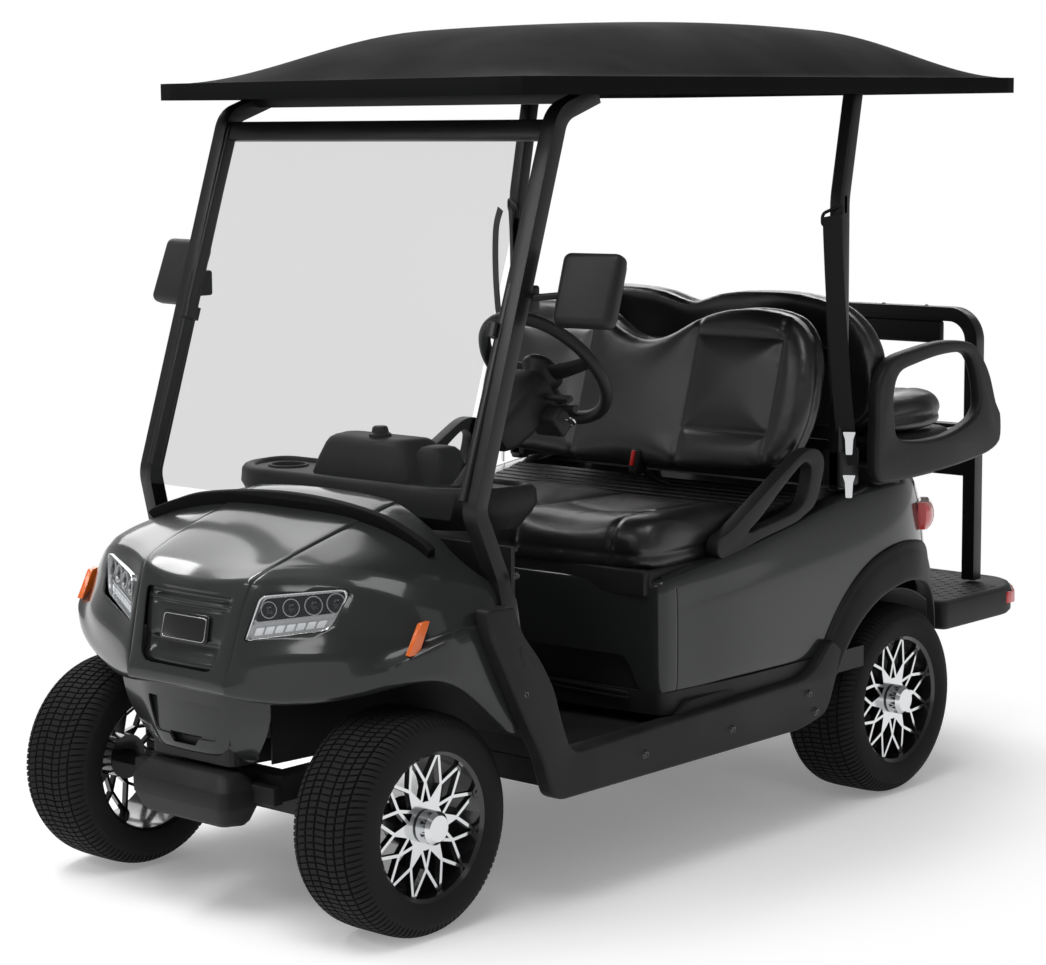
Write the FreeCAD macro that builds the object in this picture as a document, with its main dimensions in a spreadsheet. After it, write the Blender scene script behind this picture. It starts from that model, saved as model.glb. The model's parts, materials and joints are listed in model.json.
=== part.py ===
import FreeCAD, Part
import math
import os
import Sketcher

# Four seat golf cart with a rear facing back seat, a canopy and a windshield.
# X is across the cart with its left side positive, the front faces -Y and Z is up.
# Lengths are in millimetres. A place with _y is measured rearwards from the front
# axle, and one with _ry rearwards from the rear axle.

SIZES = {
    # running gear
    "front_axle_at": -1094,
    "wheelbase": 1664,
    "tyre_radius": 240,
    "tyre_half_width": 104,
    "bead_radius": 160,
    "tyre_fit": 0.3,
    "rim_half_width": 96,
    "rim_lip_radius": 168,
    "rim_lip_width": 7,
    "barrel_wall": 8,
    "front_half_tread": 440,
    "rear_half_tread": 492,
    "hub_radius": 52,
    "spoke_face": 74,
    "spoke_thick": 14,
    "spoke_bar": 7,
    "spoke_node_radius": 94,
    "hub_cap_radius": 36,
    "hub_cap_face": 112,
    "spindle_radius": 17,
    "spindle_end": 50,
    "bearing_play": 0.05,
    # front axle and steering
    "kingpin_x": 345,
    "kingpin_radius": 12,
    "kingpin_half": 58,
    "beam_bottom_z": 205,
    "beam_top_z": 262,
    "beam_half_depth": 25,
    "yoke_wall": 14,
    "yoke_half_height": 54,
    "ear_half_depth": 18,
    "knuckle_radius": 22,
    "knuckle_gap": 5,
    "steer_arm": 95,
    "steer_arm_thick": 12,
    "steer_arm_width": 16,
    "tie_pin_radius": 6,
    "tie_eye_radius": 13,
    "tie_eye_thick": 12,
    "tie_rod_radius": 5.5,
    "tie_open_play": 1.5,
    # frame and floor
    "rail_x": 180,
    "rail_width": 50,
    "rail_bottom_z": 262,
    "rail_height": 56,
    "rail_front_y": -120,
    "kick_front_ry": -449,
    "kick_length": 185,
    "kick_rise": 130,
    "rail_tail_ry": 330,
    "cross_depth": 50,
    "floor_thick": 12,
    "floor_front_y": 345,
    "toe_top_z": 560,
    # rear axle
    "axle_tube_radius": 32,
    "drum_radius": 88,
    "drum_inner": 80,
    "drum_outer": 12,
    "spring_x": 300,
    "spring_half_span": 290,
    "spring_eye_z": 362,
    "spring_thick": 18,
    "spring_width": 50,
    "eye_radius": 20,
    "gear_radius": 98,
    "gear_half_width": 45,
    "motor_radius": 82,
    "motor_length": 210,
    "motor_ry": 130,
    "motor_z": 290,
    "battery_front_y": 780,
    "battery_length": 370,
    "battery_half_width": 380,
    "battery_height": 250,
    # front cowl
    "cowl_wall": 6,
    "nose_y": -241,
    "nose_low_z": 543,
    "nose_top_y": -193,
    "nose_top_z": 709,
    "hood_lip_y": -172,
    "hood_lip_z": 726,
    "hood_rear_y": 232,
    "hood_rear_z": 888,
    "cowl_back_y": 262,
    "valance_y": -175,
    "valance_z": 356,
    "grille_half_width": 135,
    "lamp_inner_x": 205,
    "lamp_outer_x": 392,
    "lamp_inner_y": -188,
    "lamp_outer_y": -92,
    "side_start_y": 60,
    "hood_crown_x": 285,
    "hood_crown_z": 858,
    "shoulder_x": 500,
    "shoulder_z": 782,
    "fender_z": 684,
    "flare_reach": 16,
    "flare_front_y": -240,
    "flare_front_x": 300,
    "flare_bottom_z": 500,
    "flare_top_z": 590,
    "arch_radius": 305,
    "arch_inner_x": 205,
    "valance_half_width": 238,
    "valance_foot_half_width": 150,
    # grille, lamps and bumper
    "grille_recess": 14,
    "grille_bar": 9,
    "grille_top_z": 700,
    "grille_low_z": 556,
    "plate_half_width": 70,
    "plate_height": 62,
    "lamp_low_z": 634,
    "lamp_depth": 60,
    "bumper_front_y": -262,
    # sill and rear body
    "sill_bottom_z": 246,
    "sill_top_z": 368,
    "sill_tip_y": 322,
    "leg_rear_top_y": 178,
    "leg_top_z": 700,
    "rear_arch_radius": 276,
    "flare_radius": 400,
    "body_half_width": 596,
    "body_wall": 8,
    "pod_front_y": 666,
    "pod_bottom_z": 386,
    "pod_front_top_z": 664,
    "pod_step_y": 955,
    "pod_step_z": 692,
    "pod_top_z": 800,
    "pod_top_front_ry": -90,
    "pod_top_rear_ry": 250,
    "pod_tail_ry": 318,
    "pod_tail_z": 690,
    "pod_tail_half_width": 470,
    "pod_turn_ry": 110,
    "tumblehome": 34,
    "liner_inner_x": 372,
    "liner_wall": 4,
    # running gear
    "tyre_crown": 26,
    "tyre_shoulder": 12,
    "tyre_shoulder_drop": 12,
    "cap_chamfer": 8,
    # shared clearances
    "seat_gap": 0.3,
    "running_gap": 5,
    # steering and frame details
    "tie_drop": 1,
    "motor_rib": 6,
    "kick_offset": 15,
    "cross_inset": 7,
    "floor_rear_gap": 15,
    # cowl details
    "cowl_low_z": 344,
    "nose_lead": 3,
    "flare_turn_x": 100,
    "flare_turn_y": 60,
    "lamp_top_z": 740,
    "lamp_slope": 23,
    "lamp_lean": 18,
    "lamp_proud": 18,
    "grille_top_half": 138,
    "grille_low_half": 107,
    "marker_start": 55,
    "marker_width": 60,
    "marker_low_z": 620,
    "marker_top_z": 675,
    "marker_thick": 6,
    "trim_height": 12,
    "trim_half_width": 450,
    "trim_sweep": 90,
    "trim_depth": 30,
    # dash and controls
    "dash_bottom_z": 800,
    "dash_top_z": 900,
    "dash_drop": 15,
    "dash_depth": 240,
    "dash_half_width": 425,
    "dash_round": 8,
    "cup_x": 372,
    "cup_y": 150,
    "cup_radius": 36,
    "cup_depth": 60,
    "hump_half_width": 130,
    "hump_y": 10,
    "hump_depth": 175,
    "hump_slope": 55,
    "hump_top_z": 998,
    "steering_x": 280,
    "steering_y": 660,
    "steering_z": 1138,
    "steering_tilt": 50,
    "wheel_ring_radius": 162,
    "wheel_grip_radius": 13,
    "wheel_hub_radius": 38,
    "wheel_dish": 34,
    "wheel_face": 8,
    "wheel_spoke_width": 32,
    "wheel_spoke_thick": 9,
    "column_radius": 19,
    "column_cowl_radius": 31,
    "column_cowl": 90,
    "column_length": 400,
    "shaft_radius": 9,
    "shaft_depth": 30,
    "stalk_radius": 5,
    "stalk_reach": 130,
    "brake_x": 235,
    "throttle_x": 345,
    "brake_width": 85,
    "throttle_width": 60,
    "pedal_low_z": 400,
    "pedal_height": 90,
    "pedal_reach": 60,
    "pedal_thick": 10,
    # sill details
    "sill_tail": 26,
    "leg_inner_y": 366,
    "leg_knee_y": 299,
    "leg_knee_z": 565,
    "leg_top_width": 96,
    "leg_front_y": 209,
    "leg_front_z": 436,
    "flare_low_z": 368,
    "flare_tail_ry": 293,
    "flare_tail_thick": 53,
    # rear body details
    "pod_waist_z": 620,
    "bay_margin": 90,
    "bay_lip": 24,
    "bay_rear_y": 1150,
    "kick_top_half": 360,
    "kick_low_half": 380,
    "kick_top_z": 560,
    "kick_depth": 4,
    "deck_front_y": 1180,
    "deck_rear_y": 1430,
    "deck_half_width": 470,
    "deck_thick": 12,
    # seats
    "cushion_front_y": 700,
    "cushion_depth": 470,
    "cushion_rear_height": 60,
    "cushion_height": 118,
    "cushion_nose": 25,
    "back_foot_y": 1255,
    "back_low_z": 822,
    "back_top_z": 1240,
    "back_lean": 140,
    "back_thick": 95,
    "hump_x": 170,
    "hump_half": 230,
    "hump_drop": 80,
    "dip_depth": 70,
    "rear_back_ry": -134,
    "rear_back_top_z": 1265,
    "rear_back_thick": 170,
    "rear_seat_half_width": 500,
    "rear_back_half_width": 530,
    "rear_base_ry": -160,
    "rear_base_z": 801,
    "rear_base_height": 84,
    "rear_cushion_depth": 330,
    "rear_cushion_height": 120,
    "rear_arm_x": 535,
    "armrest_ry": -102,
    "armrest_width": 50,
    "armrest_length": 575,
    "armrest_rise": 326,
    "handle_width": 32,
    "handle_y": 926,
    "handle_length": 408,
    "handle_z": 680,
    "handle_rise": 233,
    # rear platform
    "plate_front_half": 440,
    "plate_half": 500,
    "plate_cut": 60,
    "plate_tail_ry": 786,
    "plate_top_z": 435,
    "plate_skirt": 85,
    "plate_wall": 6,
    "grab_x": 375,
    "grab_ry": 666,
    "grab_top_z": 1160,
    "grab_tube": 38,
    "grab_bend": 70,
    "grab_low_z": 740,
    "grab_high_z": 842,
    "tail_lamp_low_z": 600,
    "tail_lamp_top_z": 684,
    "tail_lamp_proud": 14,
    # canopy, pillars and windshield
    "roof_front_y": 245,
    "roof_tail_ry": 546,
    "roof_crown_y": 1343,
    "roof_low_z": 1753,
    "roof_rim": 47,
    "roof_top_z": 1940,
    "roof_shelf": 25,
    "roof_slope": 130,
    "roof_lip": 15,
    "roof_recess": 20,
    "pillar_width": 38,
    "pillar_bend": 60,
    "pillar_top_y": 430,
    "pillar_run": 120,
    "pillar_fall": 40,
    "knee_y": 156,
    "knee_z": 886,
    "pillar_leg": 292,
    "pillar_foot_out": 54,
    "pillar_foot_back": 49,
    "rear_pillar_y": 1480,
    "rear_pillar_width": 38,
    "rear_pillar_lean": 60,
    "rear_pillar_bend_z": 1500,
    "back_lug_x": 260,
    "back_bar_low_z": 930,
    "back_bar_high_z": 1120,
    "shield_height": 835,
    "shield_start": 12,
    "shield_side": 32,
    "shield_top": 32,
    "shield_thick": 18,
    "glass_thick": 5,
    "mirror_arm": 39,
    "mirror_y": 345,
    "mirror_low_z": 1265,
    "mirror_height": 145,
    "mirror_width": 146,
    "mirror_depth": 50,
    "mirror_round": 12,
    "mirror_stem": 7,
    "belt_width": 46,
    "belt_thick": 2,
    "belt_low_z": 830,
    "belt_top_z": 1464,
    # insets that tie the widths of the cart together
    "cowl_inset": 34,
    "floor_out": 10,
    "sill_width": 34,
    "flare_stand": 26,
    "flare_grip": 36,
    "pod_front_inset": 30,
    "seat_inset": 66,
    "handle_clear": 10,
    "roof_inset": 12,
    "pillar_inset": 46,
    "rear_pillar_inset": 76,
    # bumper
    "bumper_face_half": 119,
    "bumper_half": 173,
    "bumper_side_y": -206,
    "bumper_rear_y": -150,
    "bumper_low_z": 232,
    "bumper_high_z": 334,
    "bumper_chamfer": 15,
    "bumper_wall": 6,
    "bumper_bracket_x": 148,
    "bumper_bracket": 14,
    "arm_turn_x": 226,
    "arm_turn_y": -132,
    "arm_wing_x": 262,
    "arm_wing_y": -36,
    "arm_wall": 12,
    "arm_low_z": 250,
    "arm_high_z": 312,
    "tow_foot_x": 95,
    "tow_foot_radius": 17,
    "tow_foot_drop": 28,
    # seat hinge
    "hinge_radius": 4.6,
    "hinge_x": 484,
    "hinge_length": 36,
}

# Widths that follow another size

DERIVED = {
    "cowl_half_width": "=body_half_width - cowl_inset",
    "floor_half_width": "=cowl_half_width + floor_out",
    "sill_half_width": "=floor_half_width + sill_width",
    "flare_half_width": "=body_half_width + flare_stand",
    "flare_inner_x": "=body_half_width - flare_grip",
    "pod_front_half_width": "=body_half_width - pod_front_inset",
    "seat_half_width": "=body_half_width - seat_inset",
    "handle_x": "=seat_half_width + handle_clear",
    "roof_half_width": "=body_half_width - roof_inset",
    "pillar_x": "=cowl_half_width - pillar_inset",
    "rear_pillar_x": "=body_half_width - rear_pillar_inset",
    "shield_half_width": "=pillar_x",
}

doc = FreeCAD.newDocument("GolfCart")
nodes = {}


class Size:
    """A length together with the sheet expression that drives it."""

    def __init__(self, value, text):
        self.value = value
        self.text = text

    def __add__(self, other):
        other = size_of(other)
        return Size(self.value + other.value, "(%s + %s)" % (self.text, other.text))

    def __sub__(self, other):
        other = size_of(other)
        return Size(self.value - other.value, "(%s - %s)" % (self.text, other.text))

    def __mul__(self, factor):
        return Size(self.value * factor, "(%s * %s)" % (self.text, float(factor)))

    def __truediv__(self, factor):
        return Size(self.value / factor, "(%s / %s)" % (self.text, float(factor)))

    def __neg__(self):
        return self * -1

    def __radd__(self, other):
        return self + other

    def __rsub__(self, other):
        return size_of(other) - self

    def __rmul__(self, factor):
        return self * factor

    def __float__(self):
        return self.value


class SheetSizes:
    """Gives each cell of the sheet as a Size, by its alias."""

    def __init__(self, sheet):
        self.sheet = sheet

    def __getattr__(self, alias):
        return Size(float(self.sheet.get(alias)), "Sizes." + alias)


def size_of(thing):
    if isinstance(thing, Size):
        return thing
    return Size(float(thing), "(%s)" % float(thing))


def make_sheet():
    sheet = doc.addObject("Spreadsheet::Sheet", "Sizes")
    for row, (alias, value) in enumerate([*SIZES.items(), *DERIVED.items()], start=1):
        sheet.set("A%d" % row, alias)
        sheet.set("B%d" % row, str(value))
        sheet.setAlias("B%d" % row, alias)
    doc.recompute()
    return sheet


s = SheetSizes(make_sheet())


def front(offset):
    """A place measured rearwards from the front axle."""
    return s.front_axle_at + offset


def rear(offset):
    """A place measured rearwards from the rear axle."""
    return s.front_axle_at + s.wheelbase + offset


def bind(obj, prop, size):
    obj.setExpression(prop, size_of(size).text)


def place(obj, x=0, y=0, z=0):
    bind(obj, "Placement.Base.x", x)
    bind(obj, "Placement.Base.y", y)
    bind(obj, "Placement.Base.z", z)


def mirrored_outline(half):
    """Completes an outline given for +X only, from its top to its bottom."""
    return half + [(-x, y) for x, y in reversed(half)]


# Sketches and pads

PLANE_ROLES = {"XY": "XY_Plane", "XZ": "XZ_Plane", "YZ": "YZ_Plane"}


def origin_plane(body, plane):
    return [item for item in body.Origin.OriginFeatures if item.Role == PLANE_ROLES[plane]][0]


def add_loop(sketch, points):
    """Draws a closed outline whose corners are held at their sizes."""
    corners = [(size_of(a), size_of(b)) for a, b in points]
    base = sketch.GeometryCount
    count = len(corners)
    for index in range(count):
        start = corners[index]
        end = corners[(index + 1) % count]
        line = Part.LineSegment(
            FreeCAD.Vector(start[0].value, start[1].value, 0),
            FreeCAD.Vector(end[0].value, end[1].value, 0),
        )
        sketch.addGeometry(line, False)
    for index in range(count):
        following = base + (index + 1) % count
        sketch.addConstraint(Sketcher.Constraint("Coincident", base + index, 2, following, 1))
    for index, corner in enumerate(corners):
        for kind, size in zip(("DistanceX", "DistanceY"), corner):
            rule = Sketcher.Constraint(kind, -1, 1, base + index, 1, size.value)
            number = sketch.addConstraint(rule)
            if "Sizes." in size.text:
                sketch.setExpression("Constraints[%d]" % number, size.text)


def add_circle(sketch, centre, radius):
    a, b = size_of(centre[0]), size_of(centre[1])
    radius = size_of(radius)
    circle = Part.Circle(
        FreeCAD.Vector(a.value, b.value, 0), FreeCAD.Vector(0, 0, 1), radius.value
    )
    number = sketch.addGeometry(circle, False)
    for kind, size in (("DistanceX", a), ("DistanceY", b)):
        rule = sketch.addConstraint(Sketcher.Constraint(kind, -1, 1, number, 3, size.value))
        sketch.setExpression("Constraints[%d]" % rule, size.text)
    rule = sketch.addConstraint(Sketcher.Constraint("Radius", number, radius.value))
    sketch.setExpression("Constraints[%d]" % rule, radius.text)


def sketch_on(body, plane, loops, offset=0):
    sketch = body.newObject("Sketcher::SketchObject", body.Name + "Sketch")
    sketch.AttachmentSupport = [(origin_plane(body, plane), "")]
    sketch.MapMode = "FlatFace"
    bind(sketch, "AttachmentOffset.Base.z", offset)
    for loop in loops:
        add_loop(sketch, loop)
    return sketch


def across(plane, start, end):
    """Sketch offset along the plane's normal, for a pad from start to end.

    The normal of XZ points to -Y, so there the pad starts at its rear end.
    """
    if plane == "XZ":
        return -size_of(end)
    return size_of(start)


def new_body(name):
    return doc.addObject("PartDesign::Body", name)


def pad(body, plane, loops, start, end):
    sketch = sketch_on(body, plane, loops, across(plane, start, end))
    feature = body.newObject("PartDesign::Pad", body.Name + "Pad")
    feature.Profile = sketch
    bind(feature, "Length", size_of(end) - start)
    return feature


def prism(name, plane, outline, start, end):
    """A body padded from one outline, from start to end across its plane."""
    body = new_body(name)
    pad(body, plane, [outline], start, end)
    return body


def pocket(body, plane, loops, start, end):
    """Cuts the outlines out of the body between start and end."""
    sketch = sketch_on(body, plane, loops, across(plane, start, end))
    feature = body.newObject("PartDesign::Pocket", body.Name + "Pocket")
    feature.Profile = sketch
    bind(feature, "Length", size_of(end) - start)
    feature.Reversed = True
    return feature


def revolve(body, outline):
    """Turns an outline of (place along X, radius) about the X axis."""
    sketch = sketch_on(body, "XY", [outline])
    feature = body.newObject("PartDesign::Revolution", body.Name + "Turned")
    feature.Profile = sketch
    feature.ReferenceAxis = (sketch, ["H_Axis"])
    feature.Angle = 360
    return feature


def edges_of(shape, test):
    return [number for number, edge in enumerate(shape.Edges, start=1) if test(edge)]


def round_edges(body, radius, test):
    """Fillets the edges of a body that pass the test."""
    doc.recompute()
    base = body.Tip
    numbers = edges_of(base.Shape, test)
    feature = body.newObject("PartDesign::Fillet", body.Name + "Round")
    feature.Base = (base, ["Edge%d" % number for number in numbers])
    bind(feature, "Radius", radius)
    return feature


PLANE_AXES = {"XY": (0, 1), "XZ": (0, 2), "YZ": (1, 2)}


def corner_edge(plane, corners):
    """A test for the straight edges that cross a plane at the given corners."""
    first, second = PLANE_AXES[plane]
    normal = 3 - first - second
    places = [(float(size_of(a)), float(size_of(b))) for a, b in corners]

    def test(edge):
        ends = [vertex.Point for vertex in edge.Vertexes]
        if len(ends) != 2 or abs(ends[0][normal] - ends[1][normal]) < 1:
            return False
        return any(
            all(abs(end[first] - a) < 0.01 and abs(end[second] - b) < 0.01 for end in ends)
            for a, b in places
        )

    return test


# Primitives and booleans


def box(name, x, y, z):
    """A block between two places along each axis."""
    shape = doc.addObject("Part::Box", name)
    bind(shape, "Length", size_of(x[1]) - x[0])
    bind(shape, "Width", size_of(y[1]) - y[0])
    bind(shape, "Height", size_of(z[1]) - z[0])
    place(shape, x[0], y[0], z[0])
    return shape


TURNS = {
    "X": FreeCAD.Rotation(FreeCAD.Vector(0, 1, 0), 90),
    "Y": FreeCAD.Rotation(FreeCAD.Vector(1, 0, 0), -90),
    "Z": FreeCAD.Rotation(),
}


def rod(name, axis, radius, span, centre):
    """A cylinder along an axis, over a span of it, about a centre given for the other two."""
    shape = doc.addObject("Part::Cylinder", name)
    bind(shape, "Radius", radius)
    bind(shape, "Height", size_of(span[1]) - span[0])
    shape.Placement.Rotation = TURNS[axis]
    ends = list(centre)
    ends.insert("XYZ".index(axis), span[0])
    place(shape, *ends)
    return shape


def fuse(name, shapes):
    result = doc.addObject("Part::MultiFuse", name)
    result.Shapes = shapes
    result.Refine = True
    return result


def common(name, shapes):
    result = doc.addObject("Part::MultiCommon", name)
    result.Shapes = shapes
    return result


def cut(name, base, tools):
    result = doc.addObject("Part::Cut", name)
    result.Base = base
    result.Tool = tools[0] if len(tools) == 1 else fuse(name + "Tools", tools)
    return result


def mirror(name, source):
    """The same piece on the other side of the cart."""
    result = doc.addObject("Part::Mirroring", name)
    result.Source = source
    result.Normal = FreeCAD.Vector(1, 0, 0)
    return result


def pair(name, left):
    """A node that holds a piece and its twin on the other side."""
    result = doc.addObject("Part::Compound", name)
    result.Links = [left, mirror(name + "Right", left)]
    return result


def node(label, shape):
    shape.Label = label
    nodes[label] = shape
    return shape


def bent_wire(points, bend):
    """A wire of straight runs joined by tangent arcs of one radius."""
    edges = []
    last = points[0]
    for before, corner, after in zip(points, points[1:], points[2:]):
        into = (corner - before).normalize()
        out = (after - corner).normalize()
        turn = into.getAngle(out)
        reach = bend * math.tan(turn / 2)
        start = corner - into * reach
        end = corner + out * reach
        middle = corner + (out - into).normalize() * (bend / math.cos(turn / 2) - bend)
        edges.append(Part.makeLine(last, start))
        edges.append(Part.Arc(start, middle, end).toShape())
        last = end
    edges.append(Part.makeLine(last, points[-1]))
    return Part.Wire(edges)


def tube(name, points, section, bend):
    """A bent bar: points as sizes, section as a radius or (width, depth)."""
    route = [FreeCAD.Vector(*(float(size_of(value)) for value in point)) for point in points]
    spine = bent_wire(route, float(size_of(bend)))
    start = route[0]
    along = (route[1] - route[0]).normalize()
    if isinstance(section, tuple):
        side = FreeCAD.Vector(1, 0, 0)
        if abs(along.dot(side)) > 0.9:
            side = FreeCAD.Vector(0, 1, 0)
        up = along.cross(side).normalize()
        side = up.cross(along).normalize()
        wide, deep = float(section[0]) / 2, float(section[1]) / 2
        ring = [
            start + side * (a * wide) + up * (b * deep)
            for a, b in ((1, 1), (-1, 1), (-1, -1), (1, -1), (1, 1))
        ]
        profile = Part.makePolygon(ring)
    else:
        profile = Part.Wire([Part.makeCircle(float(section), start, along)])
    result = doc.addObject("Part::Feature", name)
    result.Shape = spine.makePipeShell([profile], True, False)
    return result


# Wheels


def make_tyre_form():
    """The tyre about the X axis, its outer side towards +X."""
    body = new_body("tyre_form")
    wide, tall = s.tyre_half_width, s.tyre_radius
    half = [
        (wide - s.tyre_crown, tall),
        (wide - s.tyre_shoulder, tall - s.tyre_shoulder_drop),
        (wide, (tall + s.bead_radius) / 2),
        (s.rim_half_width - s.rim_lip_width - s.tyre_fit, s.rim_lip_radius + s.tyre_fit * 4),
        (s.rim_half_width - s.rim_lip_width - s.tyre_fit, s.bead_radius),
    ]
    revolve(body, half + [(-x, radius) for x, radius in reversed(half)])
    return body


def polar(radius, degrees):
    angle = math.radians(degrees)
    return (radius * math.cos(angle), radius * math.sin(angle))


def inset(points, distance):
    """Moves each side of a closed outline inwards by a distance."""
    area = sum(
        a[0] * b[1] - b[0] * a[1] for a, b in zip(points, points[1:] + points[:1])
    )
    side = 1 if area > 0 else -1
    lines = []
    for a, b in zip(points, points[1:] + points[:1]):
        length = math.hypot(b[0] - a[0], b[1] - a[1])
        along = ((b[0] - a[0]) / length, (b[1] - a[1]) / length)
        shift = (-along[1] * side * distance, along[0] * side * distance)
        lines.append(((a[0] + shift[0], a[1] + shift[1]), along))
    corners = []
    for (p, u), (q, v) in zip(lines[-1:] + lines[:-1], lines):
        cross = u[0] * v[1] - u[1] * v[0]
        gap = (q[0] - p[0], q[1] - p[1])
        reach = (gap[0] * v[1] - gap[1] * v[0]) / cross
        corners.append((p[0] + u[0] * reach, p[1] + u[1] * reach))
    return corners


def spoke_windows():
    """The windows of one sixth of the wheel, between its crossing spokes."""
    sector = 60
    tip = float(s.bead_radius - s.tyre_fit - s.barrel_wall) + float(s.spoke_bar)
    ring = float(s.spoke_node_radius)
    root = float(s.hub_radius)
    beyond = tip * 1.3
    bar = float(s.spoke_bar) / 2
    quarter = sector / 4
    outlines = []
    for middle in (0, sector / 2):
        outlines.append(
            [
                polar(tip, middle - quarter),
                polar(ring, middle),
                polar(tip, middle + quarter),
                polar(beyond, middle + quarter),
                polar(beyond, middle - quarter),
            ]
        )
    for turn in (1, -1):
        outlines.append(
            [
                polar(ring, 0),
                polar(tip, turn * quarter),
                polar(ring, turn * sector / 2),
                polar(root, turn * quarter),
            ]
        )
    outlines.append(
        [
            polar(ring, sector / 2),
            polar(root, sector / 2 + quarter),
            polar(root * 0.8, sector / 2),
            polar(root, sector / 2 - quarter),
        ]
    )
    return [inset(outline, bar) for outline in outlines]


def make_rim_form():
    """The alloy wheel about the X axis: spokes, barrel with its lips, hub and cap."""
    body = new_body("rim_form")
    outer = s.bead_radius - s.tyre_fit
    inner = outer - s.barrel_wall
    back = s.spoke_face - s.spoke_thick
    sketch = body.newObject("Sketcher::SketchObject", "spoke_disc")
    sketch.AttachmentSupport = [(origin_plane(body, "YZ"), "")]
    sketch.MapMode = "FlatFace"
    bind(sketch, "AttachmentOffset.Base.z", back)
    add_circle(sketch, (0, 0), inner + s.barrel_wall / 2)
    disc = body.newObject("PartDesign::Pad", "spoke_plate")
    disc.Profile = sketch
    bind(disc, "Length", s.spoke_thick)
    windows = pocket(body, "YZ", spoke_windows(), back - 1, s.spoke_face + 1)
    turned = body.newObject("PartDesign::PolarPattern", "spoke_pattern")
    turned.Originals = [windows]
    turned.Axis = (sketch, ["N_Axis"])
    turned.Angle = 360
    turned.Occurrences = 6
    body.Tip = turned
    width, lip = s.rim_half_width, s.rim_lip_radius
    revolve(
        body,
        [
            (-width, lip),
            (-width + s.rim_lip_width, lip),
            (-width + s.rim_lip_width, outer),
            (width - s.rim_lip_width, outer),
            (width - s.rim_lip_width, lip),
            (width, lip),
            (width, lip - s.rim_lip_width),
            (width - s.rim_lip_width, inner),
            (-width + s.rim_lip_width, inner),
            (-width, lip - s.rim_lip_width),
        ],
    )
    bore = s.spindle_radius + s.bearing_play
    cap, face = s.hub_cap_radius, s.hub_cap_face
    revolve(
        body,
        [
            (0, bore),
            (0, s.hub_radius),
            (s.spoke_face, s.hub_radius),
            (s.spoke_face, cap),
            (face - s.cap_chamfer, cap),
            (face, cap - s.cap_chamfer),
            (face, 0),
            (s.spindle_end + s.knuckle_gap, 0),
            (s.spindle_end + s.knuckle_gap, bore),
        ],
    )
    return body


def place_wheel(label, form, side, half_tread, axle_y):
    """A wheel piece moved from the X axis to its corner of the cart."""
    piece = doc.addObject("Part::Compound", label)
    piece.Links = [form]
    if side < 0:
        piece.Placement.Rotation = FreeCAD.Rotation(FreeCAD.Vector(0, 0, 1), 180)
    place(piece, half_tread * side, axle_y, s.tyre_radius)
    return node(label, piece)


def make_wheels():
    tyre = make_tyre_form()
    rim = make_rim_form()
    for end, half_tread, axle_y in (
        ("front", s.front_half_tread, front(0)),
        ("rear", s.rear_half_tread, rear(0)),
    ):
        for hand, side in (("left", 1), ("right", -1)):
            place_wheel("tyre_%s_%s" % (end, hand), tyre, side, half_tread, axle_y)
            place_wheel("rim_%s_%s" % (end, hand), rim, side, half_tread, axle_y)


# Front axle and steering


def make_front_axle():
    """Beam with a yoke at each end that holds the kingpin."""
    y, z = front(0), s.tyre_radius
    wall_end = s.kingpin_x - s.knuckle_radius - s.knuckle_gap
    wall_start = wall_end - s.yoke_wall
    low, high = z - s.yoke_half_height, z + s.yoke_half_height
    depth = s.ear_half_depth
    beam = box(
        "axle_beam",
        (-wall_start, wall_start),
        (y - s.beam_half_depth, y + s.beam_half_depth),
        (s.beam_bottom_z, s.beam_top_z),
    )
    pieces = [box("yoke_wall", (wall_start, wall_end), (y - depth, y + depth), (low, high))]
    for ear_low in (low, high - s.yoke_wall):
        span = (ear_low, ear_low + s.yoke_wall)
        pieces.append(box("yoke_ear", (wall_end, s.kingpin_x), (y - depth, y + depth), span))
        pieces.append(rod("yoke_eye", "Z", depth, span, (s.kingpin_x, y)))
    bore = rod("yoke_bore", "Z", s.kingpin_radius + s.bearing_play, (low - 1, high + 1), (s.kingpin_x, y))
    yoke = cut("yoke", fuse("yoke_block", pieces), [bore])
    node("front_axle", fuse("front_axle_whole", [beam, yoke, mirror("yoke_right", yoke)]))


def make_knuckle(hand, side):
    """Kingpin, hub block, wheel spindle and steering arm of one front wheel."""
    y, z = front(0), s.tyre_radius
    x = s.kingpin_x * side
    block_half = s.yoke_half_height - s.yoke_wall - s.knuckle_gap
    spindle = (s.kingpin_x, s.front_half_tread + s.spindle_end)
    if side < 0:
        spindle = (-spindle[1], -spindle[0])
    arm_end = y + s.steer_arm
    pin_low = z - s.steer_arm_thick / 2 - s.tie_eye_thick - s.tie_drop * 2
    name = "knuckle_" + hand
    pieces = [
        rod(name + "_pin", "Z", s.kingpin_radius, (z - s.kingpin_half, z + s.kingpin_half), (x, y)),
        rod(name + "_block", "Z", s.knuckle_radius, (z - block_half, z + block_half), (x, y)),
        rod(name + "_spindle", "X", s.spindle_radius, spindle, (y, z)),
        box(
            name + "_arm",
            (x - s.steer_arm_width / 2, x + s.steer_arm_width / 2),
            (y, arm_end),
            (z - s.steer_arm_thick / 2, z + s.steer_arm_thick / 2),
        ),
        rod(
            name + "_arm_end",
            "Z",
            s.steer_arm_width / 2,
            (z - s.steer_arm_thick / 2, z + s.steer_arm_thick / 2),
            (x, arm_end),
        ),
        rod(name + "_tie_pin", "Z", s.tie_pin_radius, (pin_low, z), (x, arm_end)),
    ]
    node(name, fuse(name + "_whole", pieces))


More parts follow.
